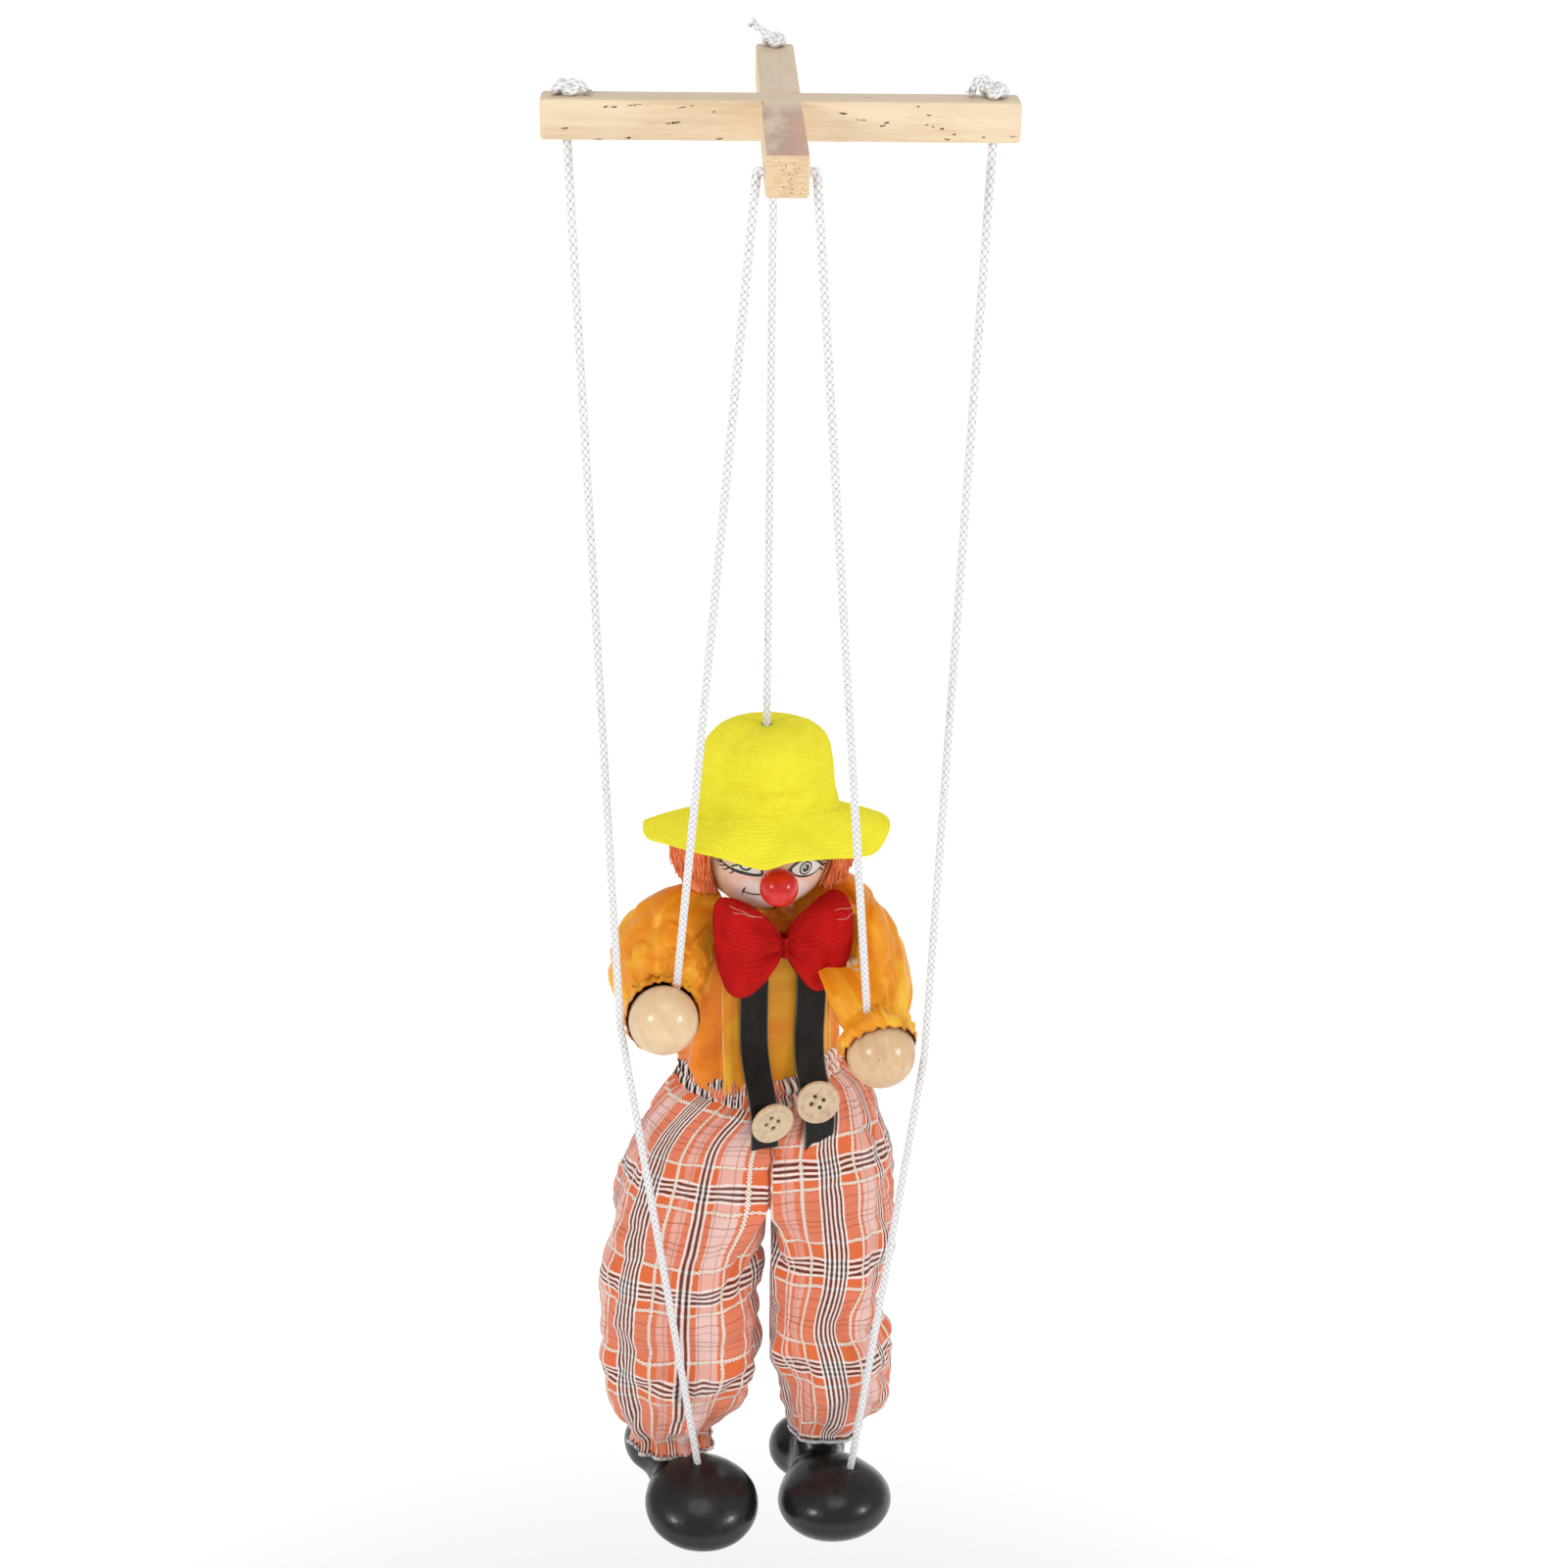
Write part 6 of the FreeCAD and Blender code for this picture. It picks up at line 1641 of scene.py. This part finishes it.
ribbon("brace_left", "left_brace", [(-8.4, -15.2, -302, 0), (-8.9, -15.3, -325, -0.02), (-9.0, -16.2, -342, -0.03), (-8.8, -19.4, -351.5, -0.05),
                                    (-8.6, -23.6, -358.0, -0.06), (-8.6, -27.2, -365, -0.10), (-8.8, -28.2, -371.5, -0.14), (-8.8, -28.0, -377.5, -0.16)], 10.4, 1.0, 0.16)
ribbon("brace_right", "right_brace", [(12.4, -15.2, -302, 0), (12.6, -15.3, -325, -0.02), (11.8, -16.2, -342, -0.03), (11.2, -19.4, -351.0, -0.03),
                                      (11.2, -23.6, -357.0, 0.0), (11.6, -27.0, -364, 0.02), (12.0, -28.4, -371.0, 0.06), (12.0, -28.2, -378.5, 0.16)], 11.2, 2.0, 0.30)


def button(name, node, centre, normal, up, seed):
    """Turned wooden button: raised rim, dished middle, four holes, each with a black disc deep inside as painted shade.
    """
    n = unit(normal)
    y = unit(up - n * (up @ n))
    x = np.cross(y, n)
    R0 = 7.55
    prof = [(0.0, 0.30), (2.4, 0.30), (4.6, 0.38), (5.7, 0.62), (6.1, 1.05), (6.8, 1.35), (7.5, 1.25), (7.9, 0.8), (8.0, 0.1), (7.85, -0.6), (7.3, -1.0), (5.2, -1.15), (2.6, -1.2), (0.0, -1.2)]
    seg = 72
    th = np.linspace(0, 2 * math.pi, seg, endpoint=False)
    holes = [(1.75, 1.55), (-1.75, 1.55), (1.75, -1.55), (-1.75, -1.55)]
    # dense polar grid with the holes pressed in as deep wells
    d = np.concatenate([[0], np.cumsum(np.linalg.norm(np.diff(np.array(prof), axis=0), axis=1))])
    s = np.concatenate([np.linspace(0, d[3], 34), np.linspace(d[3], d[-1], 44)[1:]])
    q = catmull(d, prof, s)
    vs, uv = [], []
    for r, z in q:
        r = max(r, 0.0)
        px, py = r * np.cos(th), r * np.sin(th)
        zz_ = np.full(seg, z)
        if z > -0.5:
            for hx, hy in holes:
                dist = np.hypot(px - hx, py - hy)
                zz_ = np.where(dist < 0.95, np.minimum(zz_, z - 1.1 * smooth(0.95, 0.62, dist)), zz_)
                zz_ = zz_ + 0.10 * np.exp(-((dist - 1.1) / 0.25) ** 2)
        rip = 1 + 0.004 * np.sin(th * 3 + seed)
        vs.append(centre + (px * rip)[:, None] * x + (py * rip)[:, None] * y + zz_[:, None] * n)
    P = np.array(vs)
    o = surface(name, P, None, True, BUTTON_WOOD, flip=False)
    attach(o, "trunk")
    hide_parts(node)
    parts = []
    # painted shade: a black disc sits deep in each hole for its dark inside
    for hx, hy in holes:
        c = centre + x * hx + y * hy - n * 0.35
        t = np.linspace(0, 2 * math.pi, 18, endpoint=False)
        ring = c + (np.cos(t)[:, None] * x + np.sin(t)[:, None] * y) * 0.62
        parts.append((np.concatenate([ring, [c - n * 0.1]]), [[i, (i + 1) % 18, 18] for i in range(18)], None, 0))
    hole_shade = joined(name + "_thread", parts, [INK, BUTTON_THREAD])
    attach(hole_shade, "trunk")
    return o


BUTTON_THREAD = plain("button_thread", (0.50, 0.38, 0.24), 0.85, 0.06, 0.00005, 2.0)
button("button_left_turned", "left_button", trunk(-6.7, -30.2, -366.0), -BV - ZZ * 0.10 + BU * 0.10, ZZ + BU * 0.75, 0.4)
button("button_right_turned", "right_button", trunk(10.7, -29.2, -361.2), -BV + ZZ * 0.14 - BU * 0.08, ZZ + BU * 0.55, 1.4)

# ------------------------------------------------------------------ trousers

SEAM_X = 2.6
# z, outer x, inner x, centre depth y, half depth
LEG_L = [(-355.5, -30.0, SEAM_X, 76.0, 19.4), (-360, -30.2, SEAM_X, 76.0, 20.4), (-366, -34.8, SEAM_X, 75.5, 22.8), (-377, -41.0, SEAM_X, 74.5, 24.6),
         (-397, -50.0, SEAM_X - 0.1, 72.0, 25.0), (-412, -53.8, SEAM_X - 0.6, 69.5, 23.5), (-420, -55.0, 0.9, 68.0, 22.5), (-430, -56.3, -1.0, 66.5, 22.0), (-440, -58.0, -0.8, 65.0, 21.8),
         (-453, -59.6, -0.2, 63.5, 21.5), (-467, -59.4, 0.2, 62.5, 21.0), (-482, -58.8, -2.4, 62.0, 20.0), (-493, -55.6, -6.5, 61.5, 17.5), (-502, -52.5, -13.0, 61.5, 14.0),
         (-505.5, -50.0, -18.0, 61.0, 12.4), (-510, -47.2, -20.0, 60.6, 11.0), (-514.5, -48.4, -17.6, 59.6, 12.8)]
LEG_R = [(-355.5, 26.6, SEAM_X, 76.0, 19.4), (-360, 27.6, SEAM_X, 76.0, 20.4), (-366, 35.5, SEAM_X, 76.0, 22.8), (-378.6, 43.0, SEAM_X, 76.0, 24.6),
         (-399, 48.4, SEAM_X + 0.1, 73.0, 25.0), (-412, 49.4, SEAM_X + 0.5, 71.0, 23.5), (-421, 49.5, 3.4, 69.0, 22.0), (-430, 48.8, 3.6, 67.0, 20.5), (-438, 47.2, 3.6, 65.0, 19.8),
         (-452, 42.8, 1.8, 62.0, 20.5), (-465.6, 47.4, 2.6, 61.0, 20.0), (-481, 48.7, 7.0, 60.5, 18.5), (-492, 47.6, 8.4, 61.0, 16.5), (-500, 43.5, 10.0, 61.5, 14.0),
         (-504.5, 39.4, 10.6, 61.6, 12.8), (-509, 38.0, 11.6, 61.4, 12.2)]
CLOTH_W = 168.0


def leg_surface(rows, sx, seed):
    rows = np.asarray(rows, float)
    nz, nphi = 190, 150
    d = np.concatenate([[0], np.cumsum(np.abs(np.diff(rows[:, 0])))])
    s = np.linspace(0, d[-1], nz)
    c = catmull(d, rows, s)
    z, xo, xi, yc, hd = c.T
    q = np.linspace(0, 1, nphi, endpoint=False)
    # seat: outer arc from the front seam round the side to the back seam, then back along the seam
    outer = q < 0.78
    a = np.where(outer, -math.pi / 2 + (q / 0.78) * math.pi, 0)              # -90 front ... +90 back
    kk = np.where(outer, 0, (q - 0.78) / 0.22)
    # leg: full ellipse, starting at the inner front
    b = -math.radians(128) + q * 2 * math.pi
    P = np.zeros((nz, nphi, 3))
    for i in range(nz):
        w = smooth(-401, -430, z[i])
        dx = np.where(outer, np.abs(np.cos(a)) ** 0.85, 0.0)
        dy = np.where(outer, np.sin(a), 1 - 2 * kk)
        Dx = SEAM_X + sx * 0.06 + sx * (abs(xo[i] - SEAM_X) - 0.06) * dx
        Dy = yc[i] + hd[i] * dy * np.where(outer, 1.0, 0.96)
        # the waist follows the trunk's turn
        cx, hw = (xo[i] + xi[i]) / 2, abs(xo[i] - xi[i]) / 2
        ca, sa = np.cos(b), np.sin(b)
        Ex = cx + sx * hw * np.sign(ca) * np.abs(ca) ** 0.92
        Ey = yc[i] + hd[i] * np.sign(sa) * np.abs(sa) ** 0.92
        P[i, :, 0] = Dx * (1 - w) + Ex * w
        P[i, :, 1] = Dy * (1 - w) + Ey * w
        P[i, :, 2] = z[i]
    return P, s, z, q


def trouser_leg(side, rows, sx, seed, S):
    P, s, z, q = leg_surface(rows, sx, seed)
    nz, nphi = P.shape[:2]
    # turn the waist with the trunk, less and less towards the hips
    for i in range(nz):
        k = smooth(-392, -357, z[i])
        an = math.radians(18.0) * k
        x, y = P[i, :, 0] - SEAM_X * 0, P[i, :, 1] - 76
        xr = x * math.cos(an) - y * math.sin(an)
        yr = x * math.sin(an) + y * math.cos(an)
        P[i, :, 0] = P[i, :, 0] * (1 - k) + xr * k
        P[i, :, 1] = P[i, :, 1] * (1 - k) + (yr + 76) * k
    du = np.roll(P, -1, 1) - np.roll(P, 1, 1)
    dv = np.gradient(P, axis=0)
    N = np.cross(du, dv)
    N /= np.maximum(np.linalg.norm(N, axis=-1), 1e-9)[..., None]
    cen = P.mean(1, keepdims=True)
    N = np.where((((P - cen) * N).sum(-1) < 0)[..., None], -N, N)
    Q = q[None] * CLOTH_W + 0 * z[:, None]
    SS = s[:, None] + 0 * q[None]
    zz_ = z[:, None] + 0 * q[None]
    th = q[None] * 2 * math.pi + 0 * z[:, None]
    rr = np.random.RandomState(seed)
    f = rr.uniform(0, 20, 8)
    # seam side stays flat
    inner = (smooth(0.765, 0.785, q) * (1 - smooth(0.995, 1.0, q)) * (1 - smooth(-400, -428, z))[:, None])
    inner = np.clip(inner, 0, 1)
    amp_mid = smooth(-362, -385, zz_) * (1 - smooth(-500, -508, zz_))
    # deep slack folds: slanting round the leg
    p = np.stack([np.cos(th) * 1.35 + f[0], np.sin(th) * 1.35 + SS * 0.022, SS * 0.036 + f[1] + 0 * th], -1)
    disp = 4.0 * noise(p) * amp_mid
    p = np.stack([np.cos(th) * 1.6 + f[2] + SS * 0.02, np.sin(th) * 1.6 + f[3], SS * 0.058 + 0 * th], -1)
    disp = disp + 3.4 * ridge(p) * amp_mid
    p = np.stack([np.cos(th) * 3.4 + f[4], np.sin(th) * 3.4 + f[5] + SS * 0.05, SS * 0.11 + 0 * th], -1)
    disp = disp + 0.9 * ridge(p) * amp_mid
    # gathers below the waist
    gw = 1 - smooth(-357, -392, zz_)
    gph = th * 15 + 2.0 * noise(np.stack([th * 1.2, SS * 0.02, 0 * th], -1)) * 3
    disp = disp + gw * (0.75 * np.sin(gph) + 0.4 * np.sin(th * 27 + f[6])) * smooth(0.0, 0.15, gw + 0.1)
    disp = disp + gw * smooth(-359, -366, zz_) * 1.6
    # gathers over the cuff
    if side == "left":
        gc = smooth(-486, -511, zz_)
        disp = disp + gc * (1.25 * np.sin(th * 9 + 1.4 * np.sin(th * 2 + f[7])) + 0.55 * np.sin(th * 17 + f[6]))
    else:
        gc = smooth(-488, -505, zz_)
        disp = disp + gc * (0.55 * np.sin(th * 7 + 1.4 * np.sin(th * 2 + f[7])) + 0.2 * np.sin(th * 15 + f[6]))
    disp = disp * (1 - inner)
    P = P + N * disp[..., None] * A(1.0, 1.0, 0.45)
    P[..., 2] += (1.4 * noise(np.stack([np.cos(th) * 1.2 + f[3], np.sin(th) * 1.2 + 0 * SS, SS * 0.03 + 0 * th], -1)) * amp_mid)
    return P, Q, SS


TROUSERS = {}
for side, rows, sx, seed, S in (("left", LEG_L, -1, 3, LEFT), ("right", LEG_R, 1, 8, RIGHT)):
    P, Q, SS = trouser_leg(side, rows, sx, seed, S)
    # the other leg's side of the seam stays free
    x = P[..., 0]
    lim = np.where(P[..., 2] > -402, SEAM_X + sx * 0.05, SEAM_X + sx * (0.05 + 0.9 * smooth(-402, -420, P[..., 2])))
    waist = smooth(-372, -362, P[..., 2])
    turn = ((P - T0) * BU).sum(-1)
    xl = np.where(sx < 0, np.minimum(x, lim), np.maximum(x, lim))
    
    # clear of the leg's wood inside, before the string is given its way
    for a0, b0 in ((S["hip"], S["knee"]), (S["knee"], S["ankle"])):
        ax = unit(b0 - a0)
        ln = np.linalg.norm(b0 - a0)
        tt = np.clip(((P - a0) * ax).sum(-1), 0, ln)
        near = a0 + tt[..., None] * ax
        off = P - near
        on = np.linalg.norm(off, axis=-1)
        wide = 8.4 if b0 is S["knee"] else 7.9
        k = np.maximum(on, wide) / np.maximum(on, 0.5)
        P = near + off * k[..., None]
    x = P[..., 0]
    xl = np.where(sx < 0, np.minimum(x, lim), np.maximum(x, lim))
    P[..., 0] = np.where(waist > 0.5, x, xl)
    # the waist dips in front and stands higher at the sides
    uu = ((P - T0) * BU).sum(-1)
    ww = ((P - T0) * BV).sum(-1)
    dip = catmull([-36, -26, -14.7, 0, 10, 20, 29, 36], [1.5, 0.0, -3.4, -5.0, -3.0, 2.6, 0.0, 0.0], uu)
    P[..., 2] += dip * smooth(-388, -360, P[..., 2]) * smooth(2, -14, ww)
    P = clear_of(P, S["meet"], S["foot_end"], R_STRING + 2.3, A(0, 1, 0))
    nz, nphi = P.shape[:2]
    U = np.concatenate([Q, Q[:, :1] + CLOTH_W], 1) + (12.0 if side == "left" else 31.0)
    V_ = np.concatenate([SS, SS[:, :1]], 1) + (4.0 if side == "left" else 13.0)
    UV = np.stack([U, V_], -1)
    cut = int(np.argmin(np.abs(P[:, :, 2].mean(1) + 433)))
    up = surface("trouser_upper_" + side, P[:cut + 1], UV[:cut + 1], True, PLAID, flip=(sx > 0))
    lo = surface("trouser_lower_" + side, P[cut:], UV[cut:], True, PLAID, flip=(sx > 0))
    for o in (up, lo):
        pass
    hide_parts(side + "_trouser_thigh", *(["trouser_seat"] if side == "left" else []))
    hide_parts(side + "_trouser_shin")
    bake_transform(up)
    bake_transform(lo)
    TROUSERS[side] = (P, UV, cut)
    # thread over the cuff's raw edge
    down = P[-3] - P[-1]
    o = joined("hem_thread_" + side, hem_stitch(P[-1], down, 130, 1.3, 0.17, 9 + seed) + (
        [(*q_[:3], 1) for q_ in hem_stitch(P[-1] + unit(down.mean(0)) * 0.3, down, 44, 1.9, 0.15, 19 + seed)]), [THREAD, BLACK_THREAD])
    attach(o, side + "_shin")


# a welt covers the seam between the halves, front and back, from the waist to the crotch; it is coloured dark brown as
# painted shade of the fold along the seam
def seam_line(front):
    PL, PR = TROUSERS["left"][0], TROUSERS["right"][0]
    line = []
    for z0 in np.linspace(-357.5, -405.0, 60):
        best = None
        for Pq in (PL, PR):
            i = np.argmin(np.abs(Pq[:, :, 2].mean(1) - z0))
            row = Pq[i]
            near = np.abs(row[:, 0] - SEAM_X) < 3.0 if z0 < -375 else np.abs(((row - T0) @ BU) - SEAM_X) < 3.0
            y_ = row[near][:, 1] if near.any() else np.array([76.0])
            y0 = y_.min() if front else y_.max()
            best = y0 if best is None else (min(best, y0) if front else max(best, y0))
        line.append((SEAM_X, best + (0.25 if front else -0.25), z0))
    line = np.array(line)
    return np.array([line[max(0, k - 4):k + 5].mean(0) for k in range(len(line))])


# painted shade: the welt's dark brown stands for the shade in the seam's fold
SEAM_SHADE_CLOTH = plain("seam_shade_cotton", (0.50, 0.085, 0.025), 0.9, 0.2, 0.0001, 1.2)
welt = []
for front in (True, False):
    ln_ = seam_line(front)
    welt.append((*tube(ln_, 0.38, 8), 0))
o = joined("trouser_seam_welt", welt, [SEAM_SHADE_CLOTH])
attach(o, "trunk")

ph_c = np.linspace(0, 2 * math.pi, 90, endpoint=False)
rows_c = []
for rc_u, rc_w, zc in ((6.3, 6.3, -293.2), (6.9, 6.8, -293.6), (7.4, 7.2, -294.8), (8.0, 7.7, -296.2), (10.5, 9.0, -296.9), (15.0, 11.2, -297.2), (20.5, 12.8, -298.6), (23.6, 13.6, -301.0)):
    wav = 1 + 0.035 * np.sin(ph_c * 9 + rc_u) + 0.02 * np.sin(ph_c * 17)
    rows_c.append(T0 + BU * (rc_u * wav * np.cos(ph_c))[:, None] + BV * (rc_w * wav * np.sin(ph_c))[:, None] + ZZ * (zc + 0.25 * np.sin(ph_c * 11 + rc_u)[:, None]))
# painted shade: the collar is drawn in the darker shade copy of the satin
collar = surface("shirt_collar", np.array(rows_c), np.stack([np.ones((8, 1)) * np.linspace(0, 80, 91)[None], np.linspace(0, 20, 8)[:, None] * np.ones((1, 91))], -1), True, SATIN_DARK, flip=True)
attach(collar, "trunk")

# the waist: elastic under the cloth draws it into a close frill of black, white and orange pleats
top_l, top_r = TROUSERS["left"][0], TROUSERS["right"][0]


def waist_ring(row):
    nl = int(row.shape[0] * 0.78)
    return row[:nl]


L_ring, R_ring = waist_ring(top_l[1]), waist_ring(top_r[1])      # front seam -> round the side -> back seam
loop = np.concatenate([R_ring, L_ring[::-1]])
d_ = np.concatenate([[0], np.cumsum(np.linalg.norm(np.diff(np.concatenate([loop, loop[:1]]), axis=0), axis=1))])
n_r = 720
sr = np.linspace(0, d_[-1], n_r, endpoint=False)
cl = np.concatenate([loop, loop[:1]])
ring = np.stack([np.interp(sr, d_, cl[:, i]) for i in range(3)], 1)
for _ in range(24):
    ring = (np.roll(ring, 1, 0) + 2 * ring + np.roll(ring, -1, 0)) / 4
cen = ring.mean(0)
rad_ = ring - cen
rad_[:, 2] = 0
rad_ /= np.linalg.norm(rad_, axis=1)[:, None]
rrn = np.random.RandomState(77)
phase = np.cumsum(0.85 + 0.45 * rrn.rand(n_r)) / n_r * 2 * math.pi * 64
pleat = np.sin(phase)
rows_r, vv = [], []
prof = [(-1.9, 4.6), (0.5, 3.4), (1.2, 1.6), (1.4, 0.2), (0.9, -1.0), (1.7, -2.4), (2.3, -4.4), (1.9, -6.0)]
for k, (ro, zo) in enumerate(prof):
    amp = [0.35, 0.8, 0.75, 0.45, 0.25, 0.55, 0.75, 0.3][k]
    jag = 0.5 * noise(np.stack([phase * 0.35, 0 * phase + k, 0 * phase], 1)) + 0.25 * np.sin(phase * 0.5 + k)
    rows_r.append(ring + rad_ * (ro - 0.4 + amp * pleat)[:, None] + ZZ * (zo + 0.9 * jag * (1 if k < 3 else 0.6))[:, None])
    vv.append(zo)
P = np.array(rows_r)
fine_rows = catmull(np.arange(len(P)), P.reshape(len(P), -1), np.linspace(0, len(P) - 1, 29)).reshape(29, n_r, 3)
U = np.concatenate([phase, [phase[-1] + 0.5]])[None] * np.ones((29, 1)) * 1.0
V_ = np.linspace(0, 13, 29)[:, None] * np.ones((1, n_r + 1))
fr_m = Mat("waist_frill", Roughness=0.9, Specular_IOR_Level=0.15, Sheen_Weight=0.2)
fu_, fv_, _ = fr_m.sep(fr_m.uv())
pick_ = fr_m.noise(fr_m.n("CombineXYZ", {0: fr_m.math("MULTIPLY", fr_m.math("FLOOR", fr_m.math("DIVIDE", fu_, 2 * math.pi)), 0.73), 1: 0.3, 2: 0.0}).outputs[0], 1.0, 1.0)
st_ = fr_m.math("FRACT", fr_m.math("ADD", fr_m.math("DIVIDE", fu_, 2 * math.pi), fr_m.math("MULTIPLY", fr_m.math("SINE", fv_), 0.05)))
zone_ = fr_m.noise(fr_m.n("CombineXYZ", {0: fr_m.math("MULTIPLY", fu_, 0.045), 1: fr_m.math("MULTIPLY", fv_, 0.10), 2: 0.0}).outputs[0], 1.0, 2.0)
bw_ = fr_m.ramp(st_, [(0.0, (0.88, 0.84, 0.80)), (0.24, (0.015, 0.013, 0.016)), (0.46, (0.90, 0.86, 0.82)), (0.66, (0.02, 0.015, 0.018)), (0.86, (0.80, 0.30, 0.18))], "CONSTANT")
or_ = fr_m.ramp(st_, [(0.0, (0.80, 0.16, 0.045)), (0.40, (0.84, 0.42, 0.30)), (0.58, (0.74, 0.13, 0.035)), (0.82, (0.88, 0.70, 0.64))], "CONSTANT")
c_ = fr_m.mix(fr_m.range(zone_, 0.50, 0.56), bw_, or_)
fr_m.color(c_)
fr_m.bump(fr_m.noise(fr_m.uv(), 1.6, 3.0), 0.00012, 0.6)
frill_o = surface("waist_frill", fine_rows, np.stack([U, V_], -1), True, fr_m.m)
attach(frill_o, "trunk")

# ------------------------------------------------------------------ end

low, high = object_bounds()
